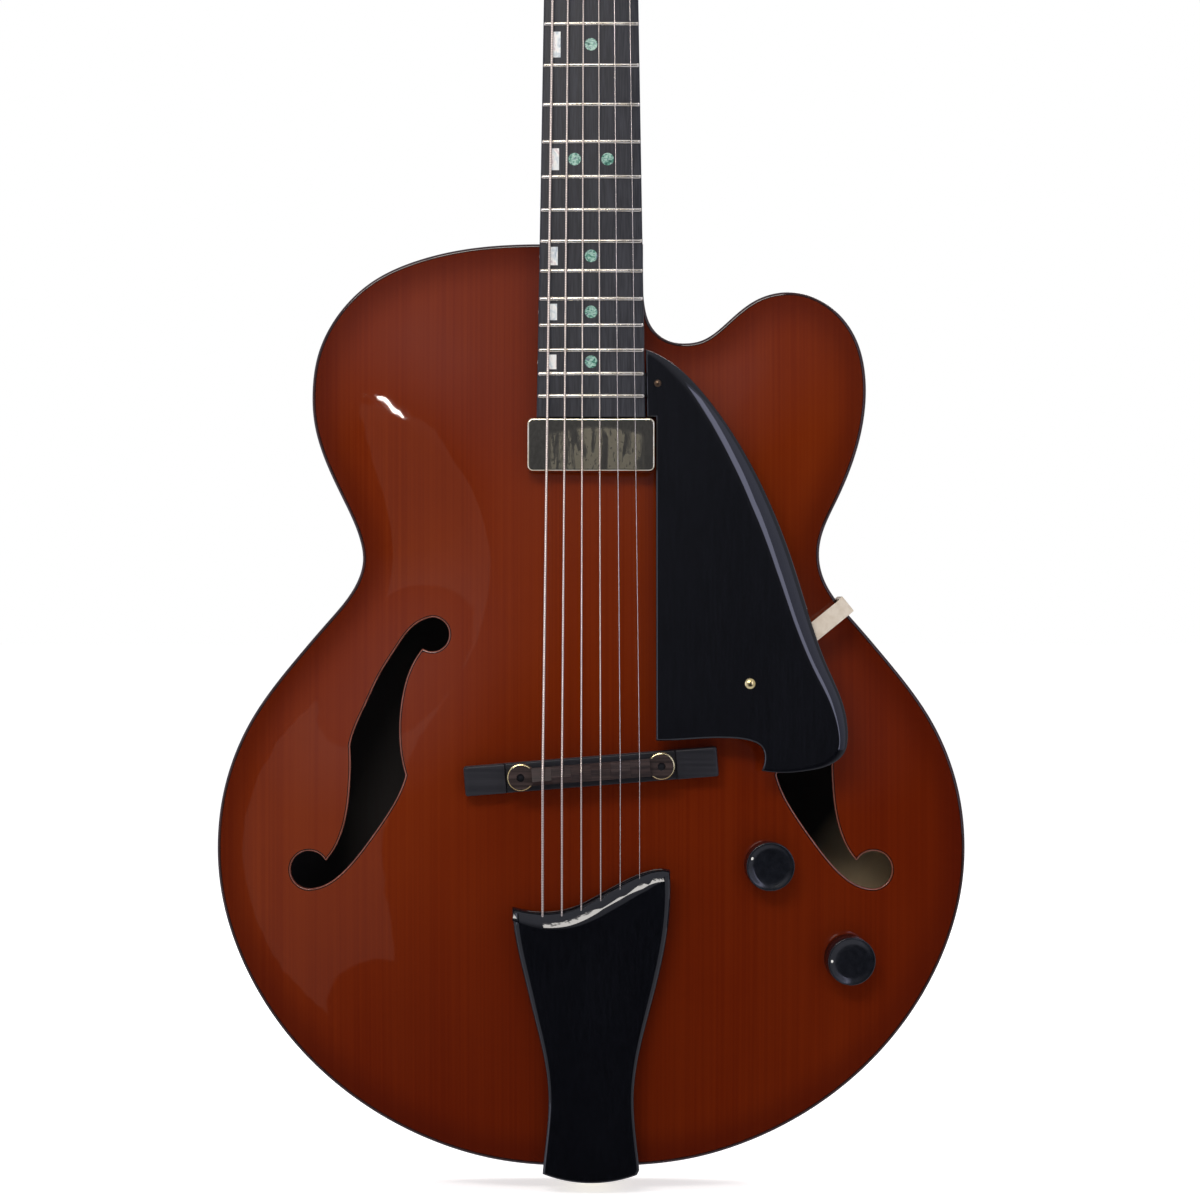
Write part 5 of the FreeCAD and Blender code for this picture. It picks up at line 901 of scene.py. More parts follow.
def body_outline(step):
    """Anticlockwise from the bass shoulder's neck end round the tail to the cutaway and its corner."""
    treble = [at_outline(s, 1) for s in LOWER_BOUT + CUTAWAY]
    bass = [at_outline(s, -1) for s in LOWER_BOUT + BASS_SHOULDER]
    curve = spline(bass[::-1] + [(0, 0)] + treble, step)
    corner = np.array([(curve[-1][0], BODY_LENGTH)])
    up = np.linspace(curve[-1], corner[0], CORNER_POINTS)[1:]
    across = np.linspace(corner[0], curve[0], ACROSS_POINTS)[1:-1]
    return tidy_loop(np.concatenate([curve, up, across]))


OUTLINE = body_outline(OUTLINE_STEP)
ARCH_FROM = body_outline(ARCH_STEP)
ARCH_TO = np.roll(ARCH_FROM, -1, 0)
ARCH_MIDDLE, ARCH_RUN = (ARCH_FROM + ARCH_TO) / 2, np.linalg.norm(ARCH_TO - ARCH_FROM, axis=1)


def edge_reach(flat):
    """A smooth stand-in for the distance to the outline."""
    reach = np.maximum(np.hypot(flat[:, :1] - ARCH_MIDDLE[:, 0], flat[:, 1:] - ARCH_MIDDLE[:, 1]), RIM_WALL)
    return (ARCH_RUN / reach ** 3).sum(1) ** -0.5


PROBES = BODY_LENGTH * np.arange(1, CROWN_PROBES + 1) / (CROWN_PROBES + 1)
CROWN = edge_reach(np.stack([np.zeros(CROWN_PROBES), PROBES], 1)).max()


def arch(flat):
    """Share of the arch's height: 0 at the outline, 1 at the crown."""
    return (1 - np.cos(np.pi * np.minimum(1, edge_reach(flat) / CROWN))) / 2


def top_level(flat):
    """Depth of the top's outer face."""
    return -EDGE - TOP_ARCH * arch(np.asarray(flat, float))


def arch_slope(flat):
    """How fast the arch's share changes across and along."""
    slopes = []
    for shift in SLOPE_STEP * np.eye(2):
        slopes.append((arch(flat + shift) - arch(flat - shift)) / (2 * SLOPE_STEP))
    return slopes


def f_hole(side):
    """Anticlockwise edge of one f-hole."""
    def at(shares):
        return np.array([F_MIDDLE[0] + shares[0] * F_LENGTH, F_MIDDLE[1] + shares[1] * F_LENGTH])

    def eye(centre, radius, start, end):
        turns = np.radians(np.linspace(start, end, EYE_POINTS))
        return centre + radius * np.stack([np.cos(turns), np.sin(turns)], 1)

    def curve(shares, before=()):
        return spline(list(before) + [at(s) for s in shares], F_STEP)

    upper, lower = at(F_EYE), at((-F_EYE[0], -F_EYE[1]))
    top, bottom = upper + (0, F_UPPER_RADIUS), lower - (0, F_LOWER_RADIUS)
    runs = [curve(F_OUTER_UPPER, [top]), curve(F_OUTER_LOWER), eye(lower, F_LOWER_RADIUS, *F_LOWER_TURN),
            curve(F_INNER_LOWER, [bottom]), curve(F_INNER_UPPER), eye(upper, F_UPPER_RADIUS, *F_UPPER_TURN)]
    loop = tidy_loop(np.concatenate(runs), F_LEAST)
    if side > 0:
        loop = (loop * (-1, 1))[::-1]
    return loop


F_HOLES = [f_hole(-1), f_hole(1)]


def carved_plate(name, holes, sign, height, material, covers):
    """Arched plate: polished outer face, bare inner face, walls of edge and holes, shaded from the arch."""
    loops = [drawn_in(OUTLINE, BINDING)] + holes
    flat, faces = filled(loops, GRID_STEP)
    count = len(flat)
    level = sign * (EDGE + height * arch(flat))
    slope = [sign * height * s for s in arch_slope(flat)]
    outward = np.stack([-sign * slope[0], np.full(count, float(sign)), -sign * slope[1]], 1)
    outward /= np.linalg.norm(outward, axis=1)[:, None]
    points, normals = [raised(flat, level), raised(flat, level - sign * PLATE)], [outward, -outward]
    if sign > 0:
        faces = faces[:, ::-1]
    sheets = [tuple(f) for f in faces] + [tuple(f[::-1] + count) for f in faces]
    marks = [0] * len(faces) + [1] * len(faces)
    start = 0
    for index, loop in enumerate(loops):
        around = len(loop)
        base = sum(len(p) for p in points)
        run = np.roll(loop, -1, 0) - np.roll(loop, 1, 0)
        side = np.stack([run[:, 1], np.zeros(around), -run[:, 0]], 1) * (1 if index == 0 else -1)
        side /= np.linalg.norm(side, axis=1)[:, None]
        points += [points[0][start:start + around], points[1][start:start + around]]
        normals += [side, side]
        strip = band(base, base + around, around)
        sheets += strip if (index == 0) == (sign > 0) else [f[::-1] for f in strip]
        marks += [0] * around
        start += around
    obj = piece(name, np.concatenate(points), sheets, [material, INNER_WOOD], marks, smooth_angle=0,
                normals=np.concatenate(normals), merge=False)
    reach = obj.data.attributes.new("reach", "FLOAT", "POINT")
    values = np.concatenate([edge_reach(p[:, [0, 2]]) for p in points])
    reach.data.foreach_set("value", values.astype(np.float32))
    return fit(obj, covers)


def edge_strip(name, sign, covers):
    """Binding round one plate: flat on the plate, rounded over to the rim."""
    rings = [raised(drawn_in(OUTLINE, BINDING), sign * EDGE)]
    for fall, inset in ROUND_ROLL:
        rings.append(raised(drawn_in(OUTLINE, BINDING_ROUND * inset), sign * (EDGE - BINDING_ROUND * fall)))
    rings += [raised(OUTLINE, sign * RIM), raised(drawn_in(OUTLINE, BINDING), sign * RIM)]
    points, faces = ringed(rings)
    faces += band((len(rings) - 1) * len(OUTLINE), 0, len(OUTLINE))
    return fit(piece(name, points, faces, [EDGE_WOOD], smooth_angle=60), covers)


def f_hole_trim():
    """A black line and a paler strip round each f-hole, rounded over its inner edge."""
    profile = ((F_TRIM, 0.0), (F_LINE, 0.0)) + F_ROUND + ((0.0, PLATE), (F_TRIM, PLATE))
    points, faces, marks, start = [], [], [], 0
    for loop in F_HOLES:
        rings = []
        for grow, drop in profile:
            flat = drawn_in(loop, -grow)
            rings.append(raised(flat, top_level(flat) + drop - F_PROUD))
        ring_points, ring_faces = ringed(rings + rings[:1])
        points.append(ring_points)
        faces += shifted(ring_faces, start)
        marks += [1] * len(loop) + [0] * len(loop) * (len(rings) - 1)
        start += len(ring_points)
    obj = piece("f_hole_trim", np.concatenate(points), faces, [F_EDGE, F_BLACK], marks, smooth_angle=50)
    return fit(obj, ("f_hole_bindings",))


def rims():
    """Bent sides; their own map runs along the bend, so that the flames stand across it."""
    count = len(OUTLINE)
    inner = drawn_in(OUTLINE, RIM_WALL)
    levels = (-RIM, RIM, RIM, -RIM)
    points, faces = ringed([raised(loop, y) for loop, y in zip((OUTLINE, OUTLINE, inner, inner), levels)])
    faces = [f[::-1] for f in faces + band(3 * count, 0, count)]
    marks = [0] * count * 2 + [1] * count + [0] * count
    obj = piece("rims", points, faces, [RIM_WOOD, INNER_WOOD], marks, smooth_angle=40, merge=False)
    along = np.cumsum(np.linalg.norm(np.roll(OUTLINE, -1, 0) - OUTLINE, axis=1)) * MM
    uv = obj.data.uv_layers.new(name="rim")
    for polygon in obj.data.polygons:
        station = polygon.index % count
        for loop, vertex in zip(polygon.loop_indices, polygon.vertices):
            before = station - 1 if vertex % count == station else station
            far = along[before] if before >= 0 else 0.0
            uv.data[loop].uv = (far, obj.data.vertices[vertex].co.y)
    return fit(obj, ("rim_bass", "rim_treble"))


f_openings = [drawn_in(hole, -F_TRIM) for hole in F_HOLES]
carved_plate("top", f_openings, -1, TOP_ARCH, TOP_WOOD, ("top_plate",))
carved_plate("back", [], 1, BACK_ARCH, BACK_WOOD, ("back_plate",))
edge_strip("top_edge", -1, ("top_binding",))
edge_strip("back_edge", 1, ("back_binding",))
f_hole_trim()
rims()


# Neck

def fret_distance(fret):
    """From the nut, by the rule of the twelfth root of two."""
    return SCALE * (1 - 2 ** (-fret / OCTAVE))


NUT_PLACE = fret_distance(JOIN_FRET)
BOARD_END = NUT_PLACE - fret_distance(FRETS) - BOARD_OVERHANG
NECK = tilted((0, -EDGE - BOARD_RISE, BODY_LENGTH), -NECK_ANGLE)
HEAD = NECK @ tilted((0, HEAD_DROP, NUT_PLACE + NUT_THICKNESS), -HEAD_ANGLE)
SADDLE_REACH = SCALE - NUT_PLACE
BRIDGE_PLACE = BODY_LENGTH - SADDLE_REACH * math.cos(math.radians(NECK_ANGLE))
CROWN_LEVEL = float(top_level([(0, BRIDGE_PLACE)])[0])
BRIDGE = tilted((0, CROWN_LEVEL, BRIDGE_PLACE), -BRIDGE_SKEW, "Y")
TAIL = tilted((0, TAIL_LEVEL, 0), TAIL_ANGLE)


def board_width(place):
    """Width of the tapered board at a place along the neck."""
    return NUT_WIDTH + (LAST_WIDTH - NUT_WIDTH) / fret_distance(FRETS) * (NUT_PLACE - place)


def crown_drop(x):
    """How far the board's round face lies under its crown."""
    return BOARD_RADIUS - np.sqrt(BOARD_RADIUS ** 2 - np.asarray(x, float) ** 2)


def fingerboard():
    """Tapered board with a round face and eased edges."""
    rows = []
    for place in np.linspace(BOARD_END, NUT_PLACE, BOARD_ROWS):
        half = board_width(place) / 2 - BOARD_SETBACK
        ease = round_off(EASE_POINTS, BOARD_TURN)
        side = [(half - BOARD_ROUND * inset, BOARD_ROUND * fall) for inset, fall in ease]
        across = np.linspace(half - BOARD_ROUND, 0, BOARD_POINTS)
        right = [(half, BOARD_THICKNESS)] + [(x, float(crown_drop(x)) + y) for x, y in side]
        right += [(x, float(crown_drop(x))) for x in across]
        left = [(-x, y) for x, y in right[-2::-1]]
        rows.append([(x, y, place) for x, y in right + left])
    points, faces = capped(rows)
    obj = piece("fingerboard_ebony", moved(NECK, points), faces, [EBONY], smooth_angle=30)
    return fit(obj, ("fingerboard",))


def inlay_set(name, outlines, material, covers):
    """Thin shapes let into the board, following its round."""
    points, faces, start = [], [], 0
    for outline in outlines:
        flat, caps = filled([np.asarray(outline, float)])
        count = len(flat)
        for depth in (-INLAY_PROUD, INLAY_DEPTH):
            points.append(np.stack([flat[:, 0], crown_drop(flat[:, 0]) + depth, flat[:, 1]], 1))
        faces += shifted(caps, start) + shifted(caps[:, ::-1], start + count)
        faces += shifted(band(0, count, len(outline)), start)
        start += 2 * count
    obj = piece(name, moved(NECK, np.concatenate(points)), faces, [material], smooth_angle=30)
    return fit(obj, covers)


def marker_place(fret):
    """The middle of the space before a fret."""
    return NUT_PLACE - (fret_distance(fret) + fret_distance(fret - 1)) / 2


def block_outlines():
    """A block beside the low string in each marked space."""
    made = []
    for fret in MARKERS:
        middle = marker_place(fret)
        half = (fret_distance(fret) - fret_distance(fret - 1)) * BLOCK_SHARE / 2
        left = -(NUT_SPREAD + (BRIDGE_SPREAD - NUT_SPREAD) * (NUT_PLACE - middle) / SCALE) / 2
        across = np.linspace(left, left + BLOCK_WIDTH, 4)
        made.append([(x, middle - half) for x in across] + [(x, middle + half) for x in across[::-1]])
    return made


def dot_outlines():
    """A dot in the middle of each marked space, two at the octave."""
    turns = np.radians(np.arange(0, 360, DOT_STEP))
    ring = DOT_RADIUS * np.stack([np.cos(turns), np.sin(turns)], 1)
    made = []
    for fret in MARKERS:
        for x in ((-DOUBLE_DOT / 2, DOUBLE_DOT / 2) if fret == OCTAVE else (0.0,)):
            made.append((x, marker_place(fret)) + ring)
    return made


# Geometry Nodes trees: each is a group with named sizes, and a small function runs it on a carrier object

def grown(name, build, sizes, material, carrier=None):
    """Builds a tree with named sizes, runs it on a carrier and gives back the plain mesh, in metres."""
    tree = bpy.data.node_groups.new(name, "GeometryNodeTree")
    tree.interface.new_socket("Geometry", in_out="INPUT", socket_type="NodeSocketGeometry")
    keys = {}
    for label, value in sizes.items():
        kind = "NodeSocketInt" if isinstance(value, int) else "NodeSocketFloat"
        keys[label] = tree.interface.new_socket(label, in_out="INPUT", socket_type=kind).identifier
    tree.interface.new_socket("Geometry", in_out="OUTPUT", socket_type="NodeSocketGeometry")
    shape = build(tree, add(tree, "NodeGroupInput").outputs)
    real = add(tree, "GeometryNodeRealizeInstances", {0: shape})
    painted = add(tree, "GeometryNodeSetMaterial", {"Geometry": real, "Material": material})
    add(tree, "NodeGroupOutput", {0: painted})
    obj = linked(name, carrier or bpy.data.meshes.new(name))
    modifier = obj.modifiers.new(name, "NODES")
    modifier.node_group = tree
    for label, value in sizes.items():
        modifier[keys[label]] = value
    mesh = evaluated(obj)
    bpy.data.objects.remove(obj)
    return mesh


def fret_tree(tree, size):
    """Crowned bars with round ends, spaced by the twelfth root of two and bent over the board's round."""
    index = add(tree, "GeometryNodeInputIndex")
    fret = add(tree, "ShaderNodeMath", {0: index, 1: 1.0}, operation="ADD")
    octaves = add(tree, "ShaderNodeMath", {0: fret, 1: -float(OCTAVE)}, operation="DIVIDE")
    left = add(tree, "ShaderNodeMath", {0: 2.0, 1: octaves}, operation="POWER")
    part = add(tree, "ShaderNodeMath", {0: 1.0, 1: left}, operation="SUBTRACT")
    gone = add(tree, "ShaderNodeMath", {0: part, 1: size["Scale"]}, operation="MULTIPLY")
    place = add(tree, "ShaderNodeMath", {0: size["Nut Place"], 1: gone}, operation="SUBTRACT")
    edge = add(tree, "ShaderNodeMath", {0: gone, 1: size["Taper"], 2: size["Half Nut"]},
               operation="MULTIPLY_ADD")
    half = add(tree, "ShaderNodeMath", {0: edge, 1: size["Setback"]}, operation="SUBTRACT")
    spots = []
    for side in (0.0, -1.0, 1.0):
        line = add(tree, "GeometryNodeMeshLine", {"Count": size["Count"]})
        across = add(tree, "ShaderNodeMath", {0: half, 1: side}, operation="MULTIPLY")
        at = add(tree, "ShaderNodeCombineXYZ", {0: across, 2: place})
        spots.append(add(tree, "GeometryNodeSetPosition", {"Geometry": line, "Position": at}))
    bar = add(tree, "GeometryNodeCurvePrimitiveLine", {"Start": (-1, 0, 0), "End": (1, 0, 0)})
    bar = add(tree, "GeometryNodeResampleCurve", {"Curve": bar, "Count": 20})
    crown = add(tree, "GeometryNodeCurvePrimitiveCircle", {"Resolution": 14, "Radius": 1.0})
    section = add(tree, "ShaderNodeCombineXYZ", {0: size["Height"], 1: size["Half Width"], 2: 1.0})
    crown = add(tree, "GeometryNodeTransform", {"Geometry": crown, "Scale": section})
    bar = add(tree, "GeometryNodeCurveToMesh", {"Curve": bar, "Profile Curve": crown, "Fill Caps": True})
    long = add(tree, "ShaderNodeCombineXYZ", {0: half, 1: 1.0, 2: 1.0})
    bulb = add(tree, "GeometryNodeMeshUVSphere", {"Segments": 14, "Rings": 8, "Radius": 1.0})
    swell = add(tree, "ShaderNodeCombineXYZ", {
        0: size["Half Width"], 1: size["Height"], 2: size["Half Width"]})
    bulb = add(tree, "GeometryNodeTransform", {"Geometry": bulb, "Scale": swell})
    parts = [add(tree, "GeometryNodeInstanceOnPoints", {"Points": spots[0], "Instance": bar, "Scale": long})]
    for spot in spots[1:]:
        parts.append(add(tree, "GeometryNodeInstanceOnPoints", {"Points": spot, "Instance": bulb}))
    whole = add(tree, "GeometryNodeRealizeInstances", {0: add(tree, "GeometryNodeJoinGeometry", {0: parts})})
    at = add(tree, "ShaderNodeSeparateXYZ", {0: add(tree, "GeometryNodeInputPosition")})
    square = add(tree, "ShaderNodeMath", {0: at, 1: at}, operation="MULTIPLY")
    fall = add(tree, "ShaderNodeMath", {0: square, 1: size["Board Radius"]}, operation="DIVIDE")
    drop = add(tree, "ShaderNodeMath", {0: fall, 1: 0.5}, operation="MULTIPLY")
    return add(tree, "GeometryNodeSetPosition", {
        "Geometry": whole, "Offset": add(tree, "ShaderNodeCombineXYZ", {1: drop})})


def settled(name, mesh, matrix, covers, body="guitar", smooth_angle=40):
    """A grown mesh put in its frame, which is in millimetres, and given to its body."""
    in_metres = matrix.copy()
    in_metres.translation = matrix.translation * MM
    mesh.transform(in_metres)
    return fit(finished(name, mesh, (), smooth_angle), covers, body)


fingerboard()
inlay_set("pearl_blocks", block_outlines(), PEARL, ("block_inlays",))
inlay_set("shell_dots", dot_outlines(), ABALONE, ("dot_inlays",))
fret_mesh = grown("fret_set", fret_tree, {
    "Scale": SCALE * MM, "Nut Place": NUT_PLACE * MM, "Count": FRETS,
    "Taper": (LAST_WIDTH - NUT_WIDTH) / fret_distance(FRETS) / 2, "Half Nut": NUT_WIDTH / 2 * MM,
    "Setback": FRET_SETBACK * MM, "Height": FRET_HEIGHT * MM, "Half Width": FRET_WIDTH / 2 * MM,
    "Board Radius": BOARD_RADIUS * MM}, FRET_WIRE)
settled("fret_bars", fret_mesh, NECK, ("frets",))
eased("neck", "neck_maple", width=0.0, materials=[NECK_WOOD])
eased("headstock_veneer", "headstock_face", width=0.35, materials=[EBONY_GLOSS])
eased("nut", "nut_bone", width=0.3, materials=[BONE])
eased("truss_rod_cover", "rod_cover", width=0.4, materials=[EBONY_GLOSS])
eased("tuner_housings", "tuner_cases", width=0.6)
eased("tuner_bushings", "tuner_collars", width=0.4)
for number in range(1, TUNERS + 1):
    outward = -1 if number <= TUNERS // 2 else 1
    step = number - 1 if outward < 0 else TUNERS - number
    seat = TUNER_OFFSET + TUNER_SPREAD * step + BUTTON_START
    eased("tuner_post_%d" % number, "string_post_%d" % number, width=0.3, body="post_%d" % number)
    eased("tuner_button_%d" % number, "tuner_key_%d" % number, width=0.3, materials=[GOLD, EBONY_GLOSS],
          body="button_%d" % number, mark=lambda middle: 1 if middle.x * outward > seat else 0)


# Pickup and finger rest

def pickup():
    """Drawn metal cover with round corners: bright plate round its rolled edge and sides, a face in a darker
    plate that is painted shade.
    """
    across = PICKUP_WIDTH / 2 - PICKUP_CORNER
    upper = BOARD_END - PICKUP_GAP - PICKUP_CORNER
    lower = BOARD_END - PICKUP_GAP - PICKUP_LENGTH + PICKUP_CORNER
    loop = []
    corners = ((across, lower), (across, upper), (-across, upper), (-across, lower))
    for (x, z), start in zip(corners, (-90, 0, 90, 180)):
        for turn in np.radians(np.linspace(start, start + 90, PICKUP_POINTS)):
            loop.append((x + PICKUP_CORNER * math.cos(turn), z + PICKUP_CORNER * math.sin(turn)))
    loop = tidy_loop(np.array(loop))
    size = np.full(len(loop), PICKUP_EDGE)
    points, faces = rolled_plate(loop, size, size, PICKUP_DROP, PICKUP_DROP + PICKUP_HEIGHT, foot=PICKUP_FOOT)
    level = np.array([max(points[list(f), 1]) for f in faces])
    marks = np.where(level < PICKUP_DROP + SAME_POINT, 1, 0)
    obj = piece("pickup_case", moved(NECK, points), faces, [PALE_GOLD, PICKUP_SHADED_FACE], marks, smooth_angle=40)
    return fit(obj, ("pickup_cover",))


def on_neck(x, height):
    """Place in the neck's frame of a point given by its height."""
    level = (NECK @ Vector((0, GUARD_DROP, height - BODY_LENGTH))).y
    local = NECK.inverted() @ Vector((x, level, height))
    return local.x, local.z


def finger_rest():
    """Black plate; its outer curve rolls over in a wide soft edge, its straight edges are only eased."""
    tip_place = on_neck(0, GUARD_TIP)[1]
    side = board_width(BOARD_END) / 2

    def at(shares):
        return np.array([side + shares[0] * GUARD_WIDTH, tip_place - (1 - shares[1]) * GUARD_LENGTH])

    tip = np.array([board_width(tip_place) / 2 + GUARD_GAP, tip_place])
    curve = spline([tip] + [at(s) for s in GUARD_CURVE], GUARD_CURVE_STEP)
    left = PICKUP_WIDTH / 2 + GUARD_GAP
    foot = np.array([left, at((0, GUARD_FOOT))[1]])
    notch = spline([at(s) for s in GUARD_NOTCH] + [foot], GUARD_NOTCH_STEP)
    step = BOARD_END - PICKUP_GAP + GUARD_GAP
    inner = np.array([board_width(step) / 2 + GUARD_GAP, step])
    corners = (foot, (left, step), inner, tip)
    straight = [np.linspace(start, end, count)[1:]
                for start, end, count in zip(corners, corners[1:], GUARD_POINTS)]
    loop = tidy_loop(np.concatenate([curve, notch[1:]] + straight)[:-1])[::-1]
    far = np.cumsum(np.linalg.norm(np.diff(curve, axis=0), axis=1))
    places, sizes = zip(*REST_WIDTHS)
    wide = np.interp(np.concatenate([[0], far]) / far[-1], places, sizes)
    rest = np.full(len(loop) - len(wide), GUARD_EASE)
    widths = np.roll(np.concatenate([wide, rest])[::-1], -1)
    drops = np.roll(np.concatenate([wide * REST_FALL, rest])[::-1], -1)
    back = GUARD_DROP + GUARD_THICKNESS
    points, faces = rolled_plate(loop, widths, drops, GUARD_DROP, back, roll=REST_ROLL)
    obj = piece("finger_rest", moved(NECK, points), faces, [EBONY_GLOSS], smooth_angle=35)
    return fit(obj, ("pickguard",))


def screw_tree(tree, size):
    """Low domed heads with a cross recess, turned along each point's aim; sizes are shares of the radius."""
    ball = add(tree, "GeometryNodeMeshUVSphere", {"Segments": 32, "Rings": 16, "Radius": 1.0})
    dome = add(tree, "GeometryNodeTransform", {"Geometry": ball, "Scale": (1.0, 1.0, 0.55)})
    cutters = []
    for sides, height in (((1.15, 0.22, 0.8), 0.62), ((0.22, 1.15, 0.8), 0.62), ((3, 3, 1), -0.62)):
        block = add(tree, "GeometryNodeMeshCube", {"Size": sides})
        cutters.append(add(tree, "GeometryNodeTransform", {"Geometry": block, "Translation": (0, 0, height)}))
    cutters = add(tree, "GeometryNodeJoinGeometry", {0: cutters})
    head = add(tree, "GeometryNodeMeshBoolean", {"Mesh 1": dome, "Mesh 2": cutters}, operation="DIFFERENCE")
    shank = add(tree, "GeometryNodeMeshCylinder", {"Vertices": 16, "Radius": 0.5, "Depth": 1.6})
    shank = add(tree, "GeometryNodeTransform", {"Geometry": shank, "Translation": (0, 0, -0.9)})
    whole = add(tree, "GeometryNodeJoinGeometry", {0: [head, shank]})
    aim = add(tree, "GeometryNodeInputNamedAttribute", {"Name": "aim"}, data_type="FLOAT_VECTOR")
    radius = add(tree, "GeometryNodeInputNamedAttribute", {"Name": "head_radius"}, data_type="FLOAT")
    turn = add(tree, "FunctionNodeAlignRotationToVector", {"Vector": aim}, axis="Z")
    grow = add(tree, "ShaderNodeMath", {0: radius, 1: size["Size"]}, operation="MULTIPLY")
    seats = add(tree, "GeometryNodeMeshToPoints", {"Mesh": size["Geometry"]})
    return add(tree, "GeometryNodeInstanceOnPoints", {
        "Points": seats, "Instance": whole, "Rotation": turn, "Scale": grow})


def screws(name, seats, material, covers=()):
    """Screw heads on seats given by place, aim and radius."""
    carrier = bpy.data.meshes.new(name)
    carrier.from_pydata([tuple(Vector(s[0]) * MM) for s in seats], [], [])
    aim = carrier.attributes.new("aim", "FLOAT_VECTOR", "POINT")
    aim.data.foreach_set("vector", np.array([s[1] for s in seats], np.float32).ravel())
    radius = carrier.attributes.new("head_radius", "FLOAT", "POINT")
    radius.data.foreach_set("value", np.array([s[2] * MM for s in seats], np.float32))
    mesh = grown(name, screw_tree, {"Size": 1.0}, material, carrier)
    return settled(name, mesh, Matrix.Identity(4), covers)


def seat_on(matrix, place, aim, radius):
    """A screw's seat given in a frame."""
    return tuple(matrix @ Vector(place)), tuple(matrix.to_3x3() @ Vector(aim)), radius


pickup()
finger_rest()
FORWARD, BACKWARD = (0, -1, 0), (0, 1, 0)
rest_seats = []
for place, radius in ((GUARD_SMALL_SCREW, SCREW_RADIUS), (GUARD_GOLD_SCREW, GOLD_SCREW_RADIUS)):
    x, z = on_neck(*place)
    rest_seats.append(seat_on(NECK, (x, GUARD_DROP, z), FORWARD, radius))
bracket_place = np.array(BRACKET_SCREW) + np.array(BRACKET_AIM) * BRACKET_THICKNESS
bracket_seat = (tuple(bracket_place), BRACKET_AIM, SCREW_RADIUS)
screws("rest_screw_small", rest_seats[:1], BRONZE, ("pickguard_screws",))
screws("rest_screws_gold", [rest_seats[1], bracket_seat], GOLD)
wood_seats = []
for z in ROD_COVER_SCREWS:
    wood_seats.append(seat_on(HEAD, (0, -VENEER - ROD_COVER, z), FORWARD, WOOD_SCREW_RADIUS))
for step in range(TUNERS // 2):
    offset = TUNER_OFFSET + TUNER_SPREAD * step
    height = TUNER_FIRST + TUNER_SPACING * step - TUNER_SCREW_DROP
    for outward in (-1, 1):
        wood_seats.append(seat_on(HEAD, (outward * offset, HEAD_BACK, height), BACKWARD, WOOD_SCREW_RADIUS))
for z in TAIL_SCREWS:
    wood_seats.append(seat_on(TAIL, (0, TAIL_SCREW_LEVEL, z), BACKWARD, WOOD_SCREW_RADIUS))
screws("wood_screw_heads", wood_seats, GOLD, ("wood_screws",))
eased("pickguard_bracket", "rest_bracket", width=0.7, materials=[CREAM])


# Bridge

def bridge_foot():
    """Ebony base: two wings and a lower middle, its sole cut to the arch of the top."""
    half, reach = BASE_LENGTH / 2, BASE_LENGTH / 2 - WING_LENGTH
    low, high = SHOULDER_START - reach, SHOULDER_START - SHOULDER_RUN - reach
    stations = np.concatenate([
        np.array(BASE_END_STATIONS) - half, np.linspace(BASE_CLEAR - half, -reach - WING_CLEAR, WING_ROWS),
        np.linspace(high, low, SHOULDER_ROWS), np.linspace(BASE_CLEAR - reach, 0, MIDDLE_ROWS)])
    stations = np.concatenate([stations, -stations[-2::-1]])
    rows = []
    for x in stations:
        away = abs(x)
        share = np.clip((away - reach + SHOULDER_START) / SHOULDER_RUN, 0, 1)
        end = max(0.0, away - (half - BASE_END)) / BASE_END
        ease = BASE_END_EASE * (1 - math.sqrt(max(0.0, 1 - end * end)))
        height = BASE_HEIGHT + (WING_HEIGHT - BASE_HEIGHT) * share * share * (3 - 2 * share) - ease
        width = BASE_WIDTH / 2 - ease
        corner = round_off(EASE_POINTS)
        front = [(width - BASE_EDGE * inset, BASE_EDGE * fall - height) for inset, fall in corner]
        front += [(z, -height) for z in np.linspace(width - BASE_EDGE, 0, BASE_POINTS)[1:]]
        profile = [(width, None)] + front + [(-z, y) for z, y in front[-2::-1]] + [(-width, None)]
        row = []
        for z, y in profile:
            place = BRIDGE @ Vector((x, y or 0, z))
            if y is None:
                place.y = float(top_level([(place.x, place.z)])[0]) - SOLE_GAP
            row.append(tuple(place))
        rows.append(row)
    points, faces = capped(rows)
    obj = piece("bridge_foot", points, faces, [BRIDGE_EBONY], smooth_angle=30)
    return fit(obj, ("bridge_base",))


